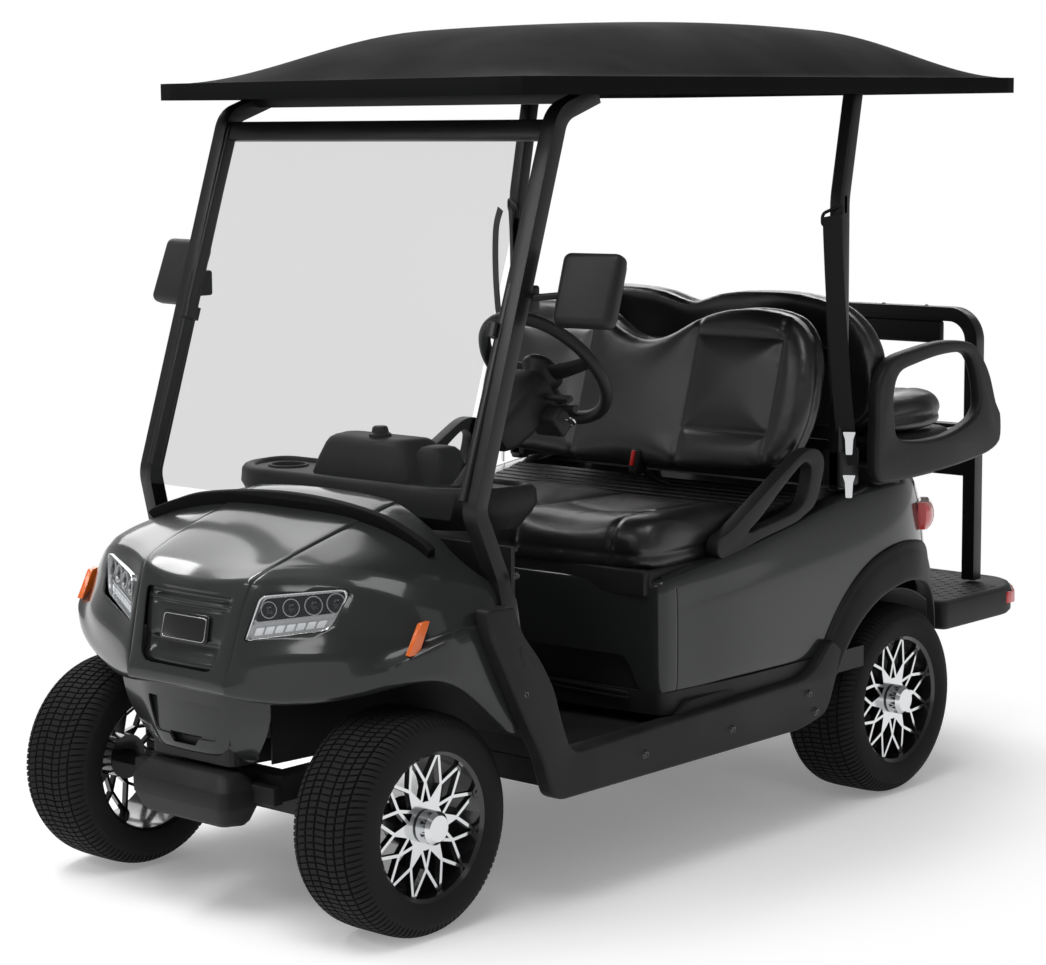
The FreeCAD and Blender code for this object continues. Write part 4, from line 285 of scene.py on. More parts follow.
def roundedOutline(corners, radius, steps=5):
    # a closed outline of 2D corners, each rounded
    points = []
    count = len(corners)
    for k in range(count):
        before, corner, after = (Vector(corners[(k + d) % count]) for d in (-1, 0, 1))
        r = radius[k] if isinstance(radius, (list, tuple)) else radius
        into, out = (before - corner), (after - corner)
        reach = min(r, into.length * 0.45, out.length * 0.45)
        a, b = corner + into.normalized() * reach, corner + out.normalized() * reach
        for step in range(steps + 1):
            t = step / steps
            points.append(a.lerp(corner, t).lerp(corner.lerp(b, t), t))
    return points


def splinePath(points, perSpan=8, closed=False):
    # Catmull Rom curve through the points; extra values such as a scale ride along
    count = len(points)

    def between(a, b, c, d, t):
        cubic = (3 * b - a - 3 * c + d) * t ** 3
        return 0.5 * (2 * b + (c - a) * t + (2 * a - 5 * b + 4 * c - d) * t * t + cubic)

    out = []
    for k in range(count if closed else count - 1):
        places = [k + d if closed else min(max(k + d, 0), count - 1) for d in (-1, 0, 1, 2)]
        picks = [points[place % count] for place in places]
        for step in range(perSpan):
            out.append(tuple(between(*values, step / perSpan) for values in zip(*picks)))
    if not closed:
        out.append(tuple(points[-1]))
    return out


def plateFrom(name, outline, place, depth, smooth=False):
    # closes a 2D outline into a slab; place(a, b, t) gives the point at depth share t
    count = len(outline)
    points = [place(a, b, 0.0) for a, b in outline] + [place(a, b, depth) for a, b in outline]
    faces = [tuple(range(count)), tuple(range(count, 2 * count))]
    faces += [(k, (k + 1) % count, count + (k + 1) % count, count + k) for k in range(count)]
    return newMesh(name, points, faces, smooth=smooth)


# shader groups shared by the finishes

def maths(tree, operation, first, second=0.5):
    return addNode(tree, "ShaderNodeMath", {0: first, 1: second}, operation=operation).outputs[0]


def newShaderGroup(name, inputs, outputs):
    group = bpy.data.node_groups.new(name, "ShaderNodeTree")
    for label, kind, value in inputs:
        socket = group.interface.new_socket(label, in_out="INPUT", socket_type=kind)
        if value is not None:
            socket.default_value = value
    for label, kind in outputs:
        group.interface.new_socket(label, in_out="OUTPUT", socket_type=kind)
    return group, group.nodes.new("NodeGroupInput"), group.nodes.new("NodeGroupOutput")


def makeMouldGrain():
    # fine moulded grain, pebbles and slow blotches
    group, given, result = newShaderGroup(
        "mouldGrain",
        [
            ("Vector", "NodeSocketVector", None),
            ("Grain Scale", "NodeSocketFloat", 900.0),
            ("Pebble", "NodeSocketFloat", 0.0),
            ("Blotch Scale", "NodeSocketFloat", 4.0),
        ],
        [("Height", "NodeSocketFloat"), ("Blotch", "NodeSocketFloat")],
    )
    fine = addNode(group, "ShaderNodeTexNoise", {
        "Vector": given.outputs["Vector"], "Scale": given.outputs["Grain Scale"],
        "Detail": 2.0, "Roughness": 0.6,
    })
    cells = addNode(group, "ShaderNodeTexVoronoi", {
        "Vector": given.outputs["Vector"], "Scale": given.outputs["Grain Scale"],
    }, feature="SMOOTH_F1")
    mixed = addNode(group, "ShaderNodeMix", {
        "Factor": given.outputs["Pebble"], "A": fine.outputs["Fac"], "B": cells.outputs["Distance"],
    })
    slow = addNode(group, "ShaderNodeTexNoise", {
        "Vector": given.outputs["Vector"], "Scale": given.outputs["Blotch Scale"], "Detail": 4.0,
    })
    spread = addNode(group, "ShaderNodeMapRange", {
        "Value": slow.outputs["Fac"], "From Min": 0.35, "From Max": 0.65,
    })
    group.links.new(mixed.outputs["Result"], result.inputs["Height"])
    group.links.new(spread.outputs["Result"], result.inputs["Blotch"])
    return group


def makeDustLayer():
    # dust that lies on upward faces and gathers in patches
    group, given, result = newShaderGroup(
        "dustLayer",
        [("Vector", "NodeSocketVector", None), ("Amount", "NodeSocketFloat", 0.1)],
        [("Mask", "NodeSocketFloat")],
    )
    facing = group.nodes.new("ShaderNodeNewGeometry")
    split = addNode(group, "ShaderNodeSeparateXYZ", {"Vector": facing.outputs["Normal"]})
    upward = addNode(group, "ShaderNodeMapRange", {
        "Value": split.outputs["Z"], "From Min": -0.2, "From Max": 1.0, "To Min": 0.15, "To Max": 1.0,
    })
    patches = addNode(group, "ShaderNodeTexNoise", {
        "Vector": given.outputs["Vector"], "Scale": 7.0, "Detail": 6.0, "Roughness": 0.65,
    })
    spread = addNode(group, "ShaderNodeMapRange", {
        "Value": patches.outputs["Fac"], "From Min": 0.4, "From Max": 0.75,
    })
    mask = maths(group, "MULTIPLY", upward.outputs["Result"], spread.outputs["Result"])
    group.links.new(maths(group, "MULTIPLY", mask, given.outputs["Amount"]), result.inputs["Mask"])
    return group


mouldGrain = makeMouldGrain()
dustLayer = makeDustLayer()
dustColour = (0.23, 0.22, 0.20, 1)


def shadeOf(colour, factor):
    return tuple(min(1.0, c * factor) for c in colour[:3]) + (1.0,)


def setInputs(node, **values):
    # sockets by name, with underscores for spaces
    for name, value in values.items():
        node.inputs[name.replace("_", " ")].default_value = value


def blend(tree, factor, first, second):
    # colour between two others, each a socket or a fixed colour
    return addNode(tree, "ShaderNodeMix", {0: factor, 6: first, 7: second}, data_type="RGBA").outputs[2]


def makeFinish(
    name, colour, roughness, metallic=0.0, coat=0.0, coatRoughness=0.04, coatIor=1.5, specular=0.5,
    grainScale=900.0, pebble=0.0, grainStrength=0.2, grainDepth=0.0002, spread=0.12,
    roughSpread=0.06, dust=0.06, blotchScale=4.0,
):
    material = bpy.data.materials.new(name)
    material.use_nodes = True
    tree = material.node_tree
    shader = tree.nodes["Principled BSDF"]
    place = tree.nodes.new("ShaderNodeTexCoord").outputs["Object"]
    grain = addNode(tree, "ShaderNodeGroup", node_tree=mouldGrain)
    layer = addNode(tree, "ShaderNodeGroup", node_tree=dustLayer)
    tree.links.new(place, grain.inputs["Vector"])
    tree.links.new(place, layer.inputs["Vector"])
    setInputs(grain, Grain_Scale=grainScale, Pebble=pebble, Blotch_Scale=blotchScale)
    setInputs(layer, Amount=dust)
    base = blend(tree, grain.outputs["Blotch"], shadeOf(colour, 1 - spread), shadeOf(colour, 1 + spread))
    tree.links.new(blend(tree, layer.outputs["Mask"], base, dustColour), shader.inputs["Base Color"])
    rough = addNode(tree, "ShaderNodeMapRange", {
        "Value": grain.outputs["Blotch"],
        "To Min": max(0.02, roughness - roughSpread), "To Max": min(1.0, roughness + roughSpread),
    })
    tree.links.new(rough.outputs["Result"], shader.inputs["Roughness"])
    relief = addNode(tree, "ShaderNodeBump", {
        "Strength": grainStrength, "Distance": grainDepth, "Height": grain.outputs["Height"],
    })
    tree.links.new(relief.outputs["Normal"], shader.inputs["Normal"])
    setInputs(
        shader, Metallic=metallic, Coat_Weight=coat, Coat_Roughness=coatRoughness, Coat_IOR=coatIor,
        Specular_IOR_Level=specular,
    )
    return material


alloyFace = {
    "frontX": 0.512,       # how far out the spokes' faces stand
    "rearX": 0.564,
    "rearFrom": -0.3,      # place along Y that parts front wheels from rear ones
    "facing": 0.55,        # faces turned outwards by more than this are machined
    "capStand": 0.006,
    "capRadius": 0.045,
    "lipRadius": 0.150,
    "silver": (0.72, 0.73, 0.74, 1),
}


def makeAlloy():
    # machined silver on the outer faces, black lacquer in the windows, chrome on the cap
    s = alloyFace
    material = makeFinish(
        "machinedAlloy", (0.012, 0.012, 0.013), 0.22, metallic=0.2, coat=0.6, coatRoughness=0.08,
        grainScale=500.0, grainStrength=0.05, dust=0.0,
    )
    tree = material.node_tree
    shader = tree.nodes["Principled BSDF"]
    facing = tree.nodes.new("ShaderNodeNewGeometry").outputs["True Normal"]
    place = tree.nodes.new("ShaderNodeTexCoord").outputs["Object"]
    normal = addNode(tree, "ShaderNodeSeparateXYZ", {"Vector": facing}).outputs
    spot = addNode(tree, "ShaderNodeSeparateXYZ", {"Vector": place}).outputs

    def step(operation, first, second=0.5):
        return maths(tree, operation, first, second)

    outward = step("MULTIPLY", normal["X"], step("SIGN", spot["X"]))
    distance = step("ABSOLUTE", spot["X"])
    isRear = step("GREATER_THAN", spot["Y"], s["rearFrom"])
    faceX = step("ADD", s["frontX"], step("MULTIPLY", isRear, s["rearX"] - s["frontX"]))
    beyond = step("GREATER_THAN", distance, faceX)
    flat = step("GREATER_THAN", outward, s["facing"])
    capSide = step("GREATER_THAN", distance, step("ADD", faceX, s["capStand"]))
    axleY = step("ADD", frontAxle, step("MULTIPLY", isRear, rearAxle - frontAxle))
    offY = step("SUBTRACT", spot["Y"], axleY)
    offZ = step("SUBTRACT", spot["Z"], hubHeight)
    radius = step("SQRT", step("ADD", step("MULTIPLY", offY, offY), step("MULTIPLY", offZ, offZ)))
    spokes = step("MULTIPLY", step("MULTIPLY", beyond, flat), step("LESS_THAN", radius, s["lipRadius"]))
    cap = step("MULTIPLY", capSide, step("LESS_THAN", radius, s["capRadius"]))
    silver = step("MAXIMUM", spokes, cap)
    old = shader.inputs["Base Color"].links[0].from_socket
    tree.links.new(blend(tree, silver, old, s["silver"]), shader.inputs["Base Color"])
    for name, black, bright in (("Metallic", 0.2, 1.0), ("Roughness", 0.2, 0.16), ("Coat Weight", 0.6, 0.0)):
        level = addNode(tree, "ShaderNodeMapRange", {"Value": silver, "To Min": black, "To Max": bright})
        tree.links.new(level.outputs["Result"], shader.inputs[name])
    return material


# dark graphite lacquer with fine flakes under a clear coat
paint = makeFinish(
    "graphitePaint", (0.0215, 0.0225, 0.023), 0.34, metallic=0.25, coat=1.0, coatRoughness=0.10,
    coatIor=1.36, specular=0.12, grainScale=2600.0, grainStrength=0.06, spread=0.08, roughSpread=0.03,
    dust=0.015, blotchScale=2.5,
)
blackPlastic = makeFinish(
    "texturedPlastic", (0.0085, 0.0085, 0.009), 0.50, specular=0.28, grainScale=1400.0, pebble=0.5,
    grainStrength=0.35, grainDepth=0.0002, spread=0.16, dust=0.05,
)
sillPlastic = makeFinish(
    "sillPlastic", (0.0095, 0.0095, 0.010), 0.54, specular=0.22, grainScale=1100.0, pebble=0.6,
    grainStrength=0.4, grainDepth=0.00025, spread=0.14, dust=0.07,
)
roofPlastic = makeFinish(
    "roofPlastic", (0.0052, 0.0054, 0.0057), 0.80, specular=0.05, grainScale=1000.0, pebble=0.4,
    grainStrength=0.25, grainDepth=0.0002, spread=0.05, dust=0.0,
)
frameSteel = makeFinish(
    "powderCoatedSteel", (0.0045, 0.0045, 0.0048), 0.38, specular=0.30, coat=0.15, coatRoughness=0.25,
    grainScale=1700.0, grainStrength=0.25, grainDepth=0.00012, dust=0.03,
)
rubber = makeFinish(
    "tyreRubber", (0.0085, 0.0082, 0.0082), 0.78, specular=0.22, grainScale=1300.0, grainStrength=0.45,
    grainDepth=0.0003, spread=0.18, dust=0.02, blotchScale=9.0,
)
castIron = makeFinish(
    "castRunningGear", (0.012, 0.012, 0.0125), 0.55, metallic=0.3, grainScale=420.0, grainStrength=0.5,
    grainDepth=0.0006, spread=0.25, dust=0.18,
)
leather = makeFinish(
    "seatLeather", (0.0095, 0.0095, 0.010), 0.34, specular=0.50, coat=0.16, coatRoughness=0.22,
    grainScale=620.0, pebble=0.85, grainStrength=0.5, grainDepth=0.00035, spread=0.18, dust=0.03,
    blotchScale=6.0,
)
alloy = makeAlloy()


# stage, light and camera

stageSettings = {
    "floorSize": 60.0,
    "floorColour": (0.92, 0.92, 0.92, 1),
    "floorLift": 0.20,      # own light of the floor near the cart
    "fadeStart": 1.15,
    "fadeEnd": 2.05,
    "fadeShape": (1.45, 1.0, 1.0),
    "worldLevel": 0.42,
    "mirrorLow": 0.42,      # what glossy rays see near the horizon
    "mirrorHigh": 0.16,     # and overhead
}

cameraSettings = {
    "place": (4.3041, -3.9904 + frontAxle, 1.7178),
    "azimuth": 42.8063,
    "elevation": 7.5934,
    "roll": -0.6159,
    "focal": 2701.163,
    "offset": (-67.887, -9.571),
    "frameWidth": 1046,
}


def makeWorld():
    world = bpy.data.worlds.new("studio")
    scene.world = world
    world.use_nodes = True
    tree = world.node_tree
    tree.nodes.clear()
    path = tree.nodes.new("ShaderNodeLightPath").outputs
    seen = maths(tree, "MAXIMUM", path["Is Camera Ray"], path["Is Transmission Ray"])
    direction = tree.nodes.new("ShaderNodeTexCoord")
    split = addNode(tree, "ShaderNodeSeparateXYZ", {0: direction.outputs["Generated"]})
    height = addNode(tree, "ShaderNodeMapRange", {
        "Value": split.outputs["Z"], "From Min": 0.0, "From Max": 0.55,
        "To Min": stageSettings["mirrorLow"], "To Max": stageSettings["mirrorHigh"],
    })

    def light(level):
        return addNode(tree, "ShaderNodeBackground", {"Color": (1, 1, 1, 1), "Strength": level}).outputs[0]

    def either(factor, first, second):
        return addNode(tree, "ShaderNodeMixShader", {0: factor, 1: first, 2: second}).outputs[0]

    unlit = either(path["Is Glossy Ray"], light(stageSettings["worldLevel"]), light(height.outputs["Result"]))
    out = tree.nodes.new("ShaderNodeOutputWorld")
    tree.links.new(either(seen, unlit, light(1.0)), out.inputs["Surface"])


def makeFloor():
    s = stageSettings
    half = s["floorSize"] / 2
    floor = newMesh(
        "studioFloor", [(-half, -half, 0), (half, -half, 0), (half, half, 0), (-half, half, 0)],
        [(0, 1, 2, 3)], smooth=False, outward=False,
    )
    material = bpy.data.materials.new("paleFloor")
    material.use_nodes = True
    tree = material.node_tree
    shader = tree.nodes["Principled BSDF"]
    place = tree.nodes.new("ShaderNodeTexCoord").outputs["Object"]
    speckle = addNode(tree, "ShaderNodeTexNoise", {"Vector": place, "Scale": 30.0})
    shades = [shadeOf(s["floorColour"], factor) for factor in (0.995, 1.005)]
    tint = blend(tree, speckle.outputs["Fac"], *shades)
    tree.links.new(tint, shader.inputs["Base Color"])
    setInputs(shader, Roughness=0.9, Specular_IOR_Level=0.1)
    setInputs(shader, Emission_Color=(1, 1, 1, 1), Emission_Strength=s["floorLift"])
    oval = addNode(tree, "ShaderNodeVectorMath", {0: place, 1: s["fadeShape"]}, operation="MULTIPLY")
    away = addNode(tree, "ShaderNodeVectorMath", {0: oval.outputs[0]}, operation="LENGTH")
    fade = addNode(tree, "ShaderNodeMapRange", {
        "Value": away.outputs["Value"], "From Min": s["fadeStart"], "From Max": s["fadeEnd"],
    }, interpolation_type="SMOOTHSTEP")
    white = addNode(tree, "ShaderNodeEmission", {"Color": (1, 1, 1, 1), "Strength": 1.0})
    mix = addNode(tree, "ShaderNodeMixShader", {
        0: fade.outputs["Result"], 1: shader.outputs[0], 2: white.outputs[0],
    })
    tree.links.new(mix.outputs[0], tree.nodes["Material Output"].inputs["Surface"])
    floor.data.materials.append(material)


softboxes = [
    # name, place, aim, width, height, power
    ("hoodSheet", (-3.6, 2.6, 4.4), (0, -0.9, 0.8), 6.4, 4.6, 230),
    ("noseStrip", (-2.3, -2.0, 3.9), (0, -1.1, 0.75), 3.4, 0.42, 60),
    ("overheadSoft", (1.0, -2.2, 4.6), (0.1, -0.9, 0.8), 2.6, 2.2, 80),
    ("frontStrip", (-1.6, -4.6, 3.4), (0.0, -1.1, 0.7), 3.4, 0.40, 34),
    ("sideFill", (4.6, -1.6, 3.4), (0.3, 0.2, 0.6), 2.2, 1.2, 5),
    ("rearStrip", (-1.0, 4.8, 3.6), (0.2, 0.6, 0.8), 3.2, 0.5, 26),
]


def makeLights():
    for name, place, aim, width, height, power in softboxes:
        lamp = bpy.data.lights.new(name, "AREA")
        lamp.shape = "RECTANGLE"
        lamp.size = width
        lamp.size_y = height
        lamp.energy = power
        holder = bpy.data.objects.new(name, lamp)
        scene.collection.objects.link(holder)
        holder.location = place
        aimed = Vector(aim) - Vector(place)
        holder.rotation_euler = aimed.to_track_quat("-Z", "Y").to_euler()
        holder.visible_camera = False


def makeCamera():
    c = cameraSettings
    az, el, roll = (math.radians(c[k]) for k in ("azimuth", "elevation", "roll"))
    forward = Vector((-math.sin(az) * math.cos(el), math.cos(az) * math.cos(el), -math.sin(el)))
    right = Vector((math.cos(az), math.sin(az), 0))
    up = right.cross(forward)
    tiltedRight = right * math.cos(roll) + up * math.sin(roll)
    tiltedUp = up * math.cos(roll) - right * math.sin(roll)
    lens = bpy.data.cameras.new("photoCamera")
    lens.sensor_width = 36.0
    lens.sensor_fit = "HORIZONTAL"
    lens.lens = c["focal"] / c["frameWidth"] * 36.0
    lens.shift_x = -c["offset"][0] / c["frameWidth"]
    lens.shift_y = c["offset"][1] / c["frameWidth"]
    lens.clip_end = 200
    camera = bpy.data.objects.new("photoCamera", lens)
    scene.collection.objects.link(camera)
    turn = Matrix((tiltedRight, tiltedUp, -forward)).transposed().to_4x4()
    camera.matrix_world = Matrix.Translation(Vector(c["place"])) @ turn
    scene.camera = camera


scene.view_settings.view_transform = "Standard"
makeWorld()
makeFloor()
makeLights()
makeCamera()
print("stage ready")


# finishes on the CAD nodes that keep their shape

keptFinishes = {
    "frame": castIron, "front_axle": castIron, "rear_axle": castIron, "drive_motor": castIron,
    "leaf_springs": castIron, "tie_rod": castIron, "knuckle_left": castIron, "knuckle_right": castIron,
    "rim_front_left": alloy, "rim_front_right": alloy, "rim_rear_left": alloy, "rim_rear_right": alloy,
    "battery": blackPlastic, "floor": sillPlastic, "pedals": frameSteel,
    "front_wells": blackPlastic, "rear_wells": blackPlastic,
}
plainFinish = {
    "body_paint": paint, "black_plastic": blackPlastic, "black_frame": frameSteel,
    "roof_plastic": roofPlastic, "tyre_rubber": rubber, "wheel_alloy": alloy, "running_gear": castIron,
    "seat_leather": leather, "screen_glass": blackPlastic, "lamp_lens": blackPlastic,
    "red_lens": blackPlastic,
    "amber_lens": blackPlastic, "belt_webbing": blackPlastic, "battery_case": blackPlastic,
    "deck_plate": blackPlastic,
}
slotOf = {row["node"]: row.get("material_slot") for row in frame["record"]["subparts"]}
for name, piece in nodes.items():
    finish = keptFinishes.get(name) or plainFinish.get(slotOf.get(name), blackPlastic)
    piece.data.materials.clear()
    piece.data.materials.append(finish)
print("kept nodes finished")


# tyres

tyreSettings = {
    "pitches": 104,        # tread blocks round the tyre
    "radius": 0.240,
    "halfWidth": 0.104,
    "beadRadius": 0.158,
    "grooveDepth": 0.0055,
    "sipeDepth": 0.0042,
}


def tyreProfile():
    # (across, radius, sideways groove depth share, slant) from one bead to the other
    r, w, bead = tyreSettings["radius"], tyreSettings["halfWidth"], tyreSettings["beadRadius"]
    half = [
        (w - 0.018, bead, 0, 0), (w - 0.008, bead + 0.002, 0, 0), (w - 0.003, bead + 0.012, 0, 0),
        (w - 0.0005, bead + 0.024, 0, 0), (w, bead + 0.034, 0, 0), (w - 0.0012, bead + 0.044, 0, 0),
        (w - 0.0035, bead + 0.0525, 0, 0), (w - 0.0052, bead + 0.0545, 0.0, 1.55),
        (w - 0.0078, bead + 0.0595, 0.8, 1.5), (w - 0.0125, bead + 0.0665, 1, 1.4),
        (w - 0.0190, bead + 0.0725, 1, 1.25), (w - 0.0270, bead + 0.0765, 1, 1.1),
        (w - 0.0335, bead + 0.0790, 1, 0.95), (w - 0.0340, bead + 0.0740, 0, 0.95),
        (w - 0.0385, bead + 0.0740, 0, 0.8), (w - 0.0390, bead + 0.0802, 0.9, 0.8),
        (w - 0.0500, bead + 0.0812, 0.9, 0.55), (w - 0.0600, bead + 0.0818, 0.9, 0.4),
        (w - 0.0605, bead + 0.0765, 0, 0.4), (w - 0.0650, bead + 0.0765, 0, 0.25),
        (w - 0.0655, bead + 0.0820, 0.9, 0.25), (w - 0.0780, bead + 0.0820, 0.9, 0.12),
        (w - 0.0850, bead + 0.0820, 0.9, 0.05), (w - 0.0855, bead + 0.0765, 0, 0.05),
        (w - 0.0900, bead + 0.0765, 0, 0.0), (w - 0.0905, bead + 0.0820, 0.9, 0.0),
        (w - 0.1040, bead + 0.0820, 0.9, 0.0),
    ]
    return half[:-1] + [(-x, radius, g, -slant) for x, radius, g, slant in reversed(half)]


def makePitchTile():
    # one pitch of the tread, from bead to bead
    s = tyreSettings
    step = 2 * math.pi / s["pitches"]
    cuts = [0.0, 0.04, 0.74, 0.78, 1.0]
    sunk = [1, 0, 0, 1, 1]
    profile = tyreProfile()
    points, faces = [], []
    for x, radius, groove, slant in profile:
        for share, down in zip(cuts, sunk):
            turn = step * (share + slant)
            r = radius - s["sipeDepth"] * groove * down
            points.append((x, r * math.sin(turn), r * math.cos(turn)))
    columns = len(cuts)
    for row in range(len(profile) - 1):
        for col in range(columns - 1):
            a = row * columns + col
            faces.append((a, a + 1, a + columns + 1, a + columns))
    mesh = bpy.data.meshes.new("pitchTile")
    mesh.from_pydata(points, [], faces)
    return addObject("pitchTile", mesh)


def makeRingTree():
    # copies a tile round the X axis and closes the ring
    tree = bpy.data.node_groups.new("ringOfTiles", "GeometryNodeTree")
    sockets = {}
    for label, kind in (
        ("Geometry", "Geometry"), ("Count", "Int"), ("Merge Distance", "Float"), ("Centre", "Vector"),
        ("Finish", "Material"),
    ):
        socket = tree.interface.new_socket(label, in_out="INPUT", socket_type="NodeSocket" + kind)
        sockets[label] = socket.identifier
    tree.interface.new_socket("Geometry", in_out="OUTPUT", socket_type="NodeSocketGeometry")
    given = tree.nodes.new("NodeGroupInput").outputs
    result = tree.nodes.new("NodeGroupOutput")
    line = addNode(tree, "GeometryNodeMeshLine", {"Count": given["Count"], "Offset": (0, 0, 0)})
    number = tree.nodes.new("GeometryNodeInputIndex").outputs[0]
    share = maths(tree, "DIVIDE", number, given["Count"])
    angle = maths(tree, "MULTIPLY", share, -2 * math.pi)
    turn = addNode(tree, "ShaderNodeCombineXYZ", {"X": angle})
    copies = addNode(tree, "GeometryNodeInstanceOnPoints", {
        "Points": line.outputs["Mesh"], "Instance": given["Geometry"], "Rotation": turn.outputs[0],
    })
    flow = copies.outputs["Instances"]
    for kind, extra in (
        ("RealizeInstances", {}), ("MergeByDistance", {"Distance": given["Merge Distance"]}),
        ("Transform", {"Translation": given["Centre"]}), ("SetMaterial", {"Material": given["Finish"]}),
    ):
        flow = addNode(tree, "GeometryNode" + kind, {"Geometry": flow, **extra}).outputs["Geometry"]
    tree.links.new(flow, result.inputs["Geometry"])
    return tree, sockets


ringTree, ringInputs = makeRingTree()


def ringOf(piece, count, merge, centre, material):
    step = piece.modifiers.new("ring", "NODES")
    step.node_group = ringTree
    step[ringInputs["Count"]] = count
    step[ringInputs["Merge Distance"]] = merge
    step[ringInputs["Centre"]] = centre
    step[ringInputs["Finish"]] = material
    return bakeModifiers(piece)


def makeTyres():
    for end, x, y in (("front", 0.440, frontAxle), ("rear", 0.492, rearAxle)):
        for hand, side in (("left", 1), ("right", -1)):
            tile = makePitchTile()
            tile.name = "tyre_%s_%s_treaded" % (end, hand)
            ringOf(tile, tyreSettings["pitches"], 0.0002, (x * side, y, hubHeight), rubber)
            smoothByAngle(tile, 30)
            form = bmesh.new()
            form.from_mesh(tile.data)
            bmesh.ops.recalc_face_normals(form, faces=form.faces)
            form.to_mesh(tile.data)
            form.free()
            node = "tyre_%s_%s" % (end, hand)
            dress(tile, rubber, "tyre_rubber", "wheel_%s_%s" % (end, hand), (node,))


makeTyres()
print("tyres ready")

# cowl: hood, fenders and nose as one smooth skin

cowlSettings = {
    "wall": 0.0034,
    "levels": 2,
    "gapWidth": 0.0035,    # panel gap beside the raised centre of the hood
    "gapDepth": 0.006,
    "creasedRows": (3, 4, 7, 8),
    "crease": 0.72,
    "lampGap": 0.0022,
    "grilleOpening": [(-.140, .706), (.140, .706), (.116, .548), (-.116, .548)],
    "grilleRadius": [.014, .014, .03, .03],
}


def mirroredGrid(name, columns, levels, wall=0.0, creasedRows=(), crease=0.0):
    # columns of points for x >= 0, the first one at x = 0, mirrored to the other side
    rows = len(columns[0])
    grid = [[atFront(-p[0], p[1], p[2]) for p in column] for column in reversed(columns[1:])]
    grid += [[atFront(*p) for p in column] for column in columns]
    piece = newMesh(name, [p for column in grid for p in column], gridFaces(len(grid), rows), outward=False)
    marks = piece.data.attributes.new("crease_edge", "FLOAT", "EDGE")
    for edge in piece.data.edges:
        firstRow, secondRow = (v % rows for v in edge.vertices)
        if firstRow == secondRow and firstRow in creasedRows:
            marks.data[edge.index].value = crease
    subdivide(piece, levels)
    bakeModifiers(piece)
    if wall:
        solidify(piece, wall)
        bakeModifiers(piece)
    return piece


def makeCowlColumns():
    centre = [
        (0, .236, .884), (0, .12, .851), (0, -.03, .800), (0, -.125, .752), (0, -.168, .724),
        (0, -.188, .690),
        (0, -.208, .630), (0, -.226, .565), (0, -.236, .525), (0, -.234, .503), (0, -.205, .496),
    ]
    inner = [
        (.11, .232, .883), (.108, .122, .852), (.10, -.03, .803), (.094, -.128, .758), (.090, -.171, .732),
        (.088, -.190, .695), (.086, -.209, .632), (.083, -.227, .566), (.081, -.237, .525),
        (.080, -.235, .503),
        (.078, -.205, .496),
    ]
    ridge = [
        (.222, .222, .876), (.214, .125, .849), (.200, -.03, .805), (.184, -.128, .769), (.171, -.168, .748),
        (.166, -.188, .702), (.161, -.206, .636), (.156, -.225, .567), (.152, -.236, .522),
        (.150, -.234, .501),
        (.147, -.205, .494),
    ]
    gap, deep = cowlSettings["gapWidth"], cowlSettings["gapDepth"]
    sunkInner, sunkOuter, beside = [], [], []
    for k, (x, y, z) in enumerate(ridge):
        down = deep if k < 8 else 0.0
        back = 0.0 if k < 4 else down
        low = down if k < 5 else 0.0
        sunkInner.append((x + gap * .35, y + back, z - low))
        sunkOuter.append((x + gap, y + back, z - low))
        beside.append((x + gap * 1.5, y + (0.001 if k > 4 else 0.002), z - (0.004 if k < 5 else 0.001)))
    outer = [
        [(.29, .205, .857), (.285, .11, .834), (.275, -.015, .797), (.266, -.080, .774), (.259, -.116, .755),
         (.255, -.146, .702), (.252, -.166, .643), (.251, -.196, .588), (.252, -.196, .534),
         (.252, -.200, .488),
         (.246, -.165, .482)],
        [(.37, .188, .829), (.37, .10, .815), (.366, .0, .795), (.363, -.052, .776), (.361, -.084, .757),
         (.361, -.110, .705), (.360, -.130, .650), (.360, -.160, .600), (.364, -.150, .545),
         (.366, -.150, .504),
         (.352, -.118, .500)],
        [(.43, .165, .799), (.432, .09, .794), (.432, .012, .780), (.433, -.026, .764), (.436, -.052, .741),
         (.440, -.072, .702), (.442, -.085, .652), (.446, -.106, .608), (.450, -.112, .570),
         (.453, -.116, .524),
         (.432, -.085, .520)],
        [(.478, .158, .776), (.484, .10, .770), (.488, .05, .757), (.492, .012, .739), (.497, -.012, .714),
         (.504, -.026, .682), (.509, -.034, .648), (.513, -.042, .622), (.526, -.078, .598),
         (.524, -.070, .552),
         (.502, -.052, .546)],
        [(.512, .168, .752), (.522, .132, .741), (.530, .098, .725), (.536, .072, .708), (.541, .052, .692),
         (.546, .038, .676), (.550, .028, .661), (.553, .018, .650), (.568, .002, .640), (.570, -.004, .562),
         (.546, .0, .556)],
        [(.538, .195, .728), (.546, .178, .716), (.552, .162, .705), (.556, .15, .695), (.559, .14, .686),
         (.561, .13, .678), (.563, .12, .670), (.566, .112, .664), (.577, .104, .656), (.577, .080, .528),
         (.552, .074, .522)],
        [(.547, .215, .712), (.553, .208, .700), (.557, .20, .689), (.559, .193, .678), (.561, .187, .667),
         (.563, .182, .656), (.565, .178, .645), (.567, .176, .634), (.578, .172, .62), (.578, .160, .462),
         (.553, .148, .46)],
        [(.552, .245, .70), (.556, .245, .687), (.559, .245, .674), (.561, .245, .661), (.563, .245, .648),
         (.565, .245, .635), (.567, .245, .622), (.569, .245, .61), (.578, .245, .595), (.578, .236, .404),
         (.553, .222, .40)],
    ]
    return [centre, inner, ridge, sunkInner, sunkOuter, beside] + outer


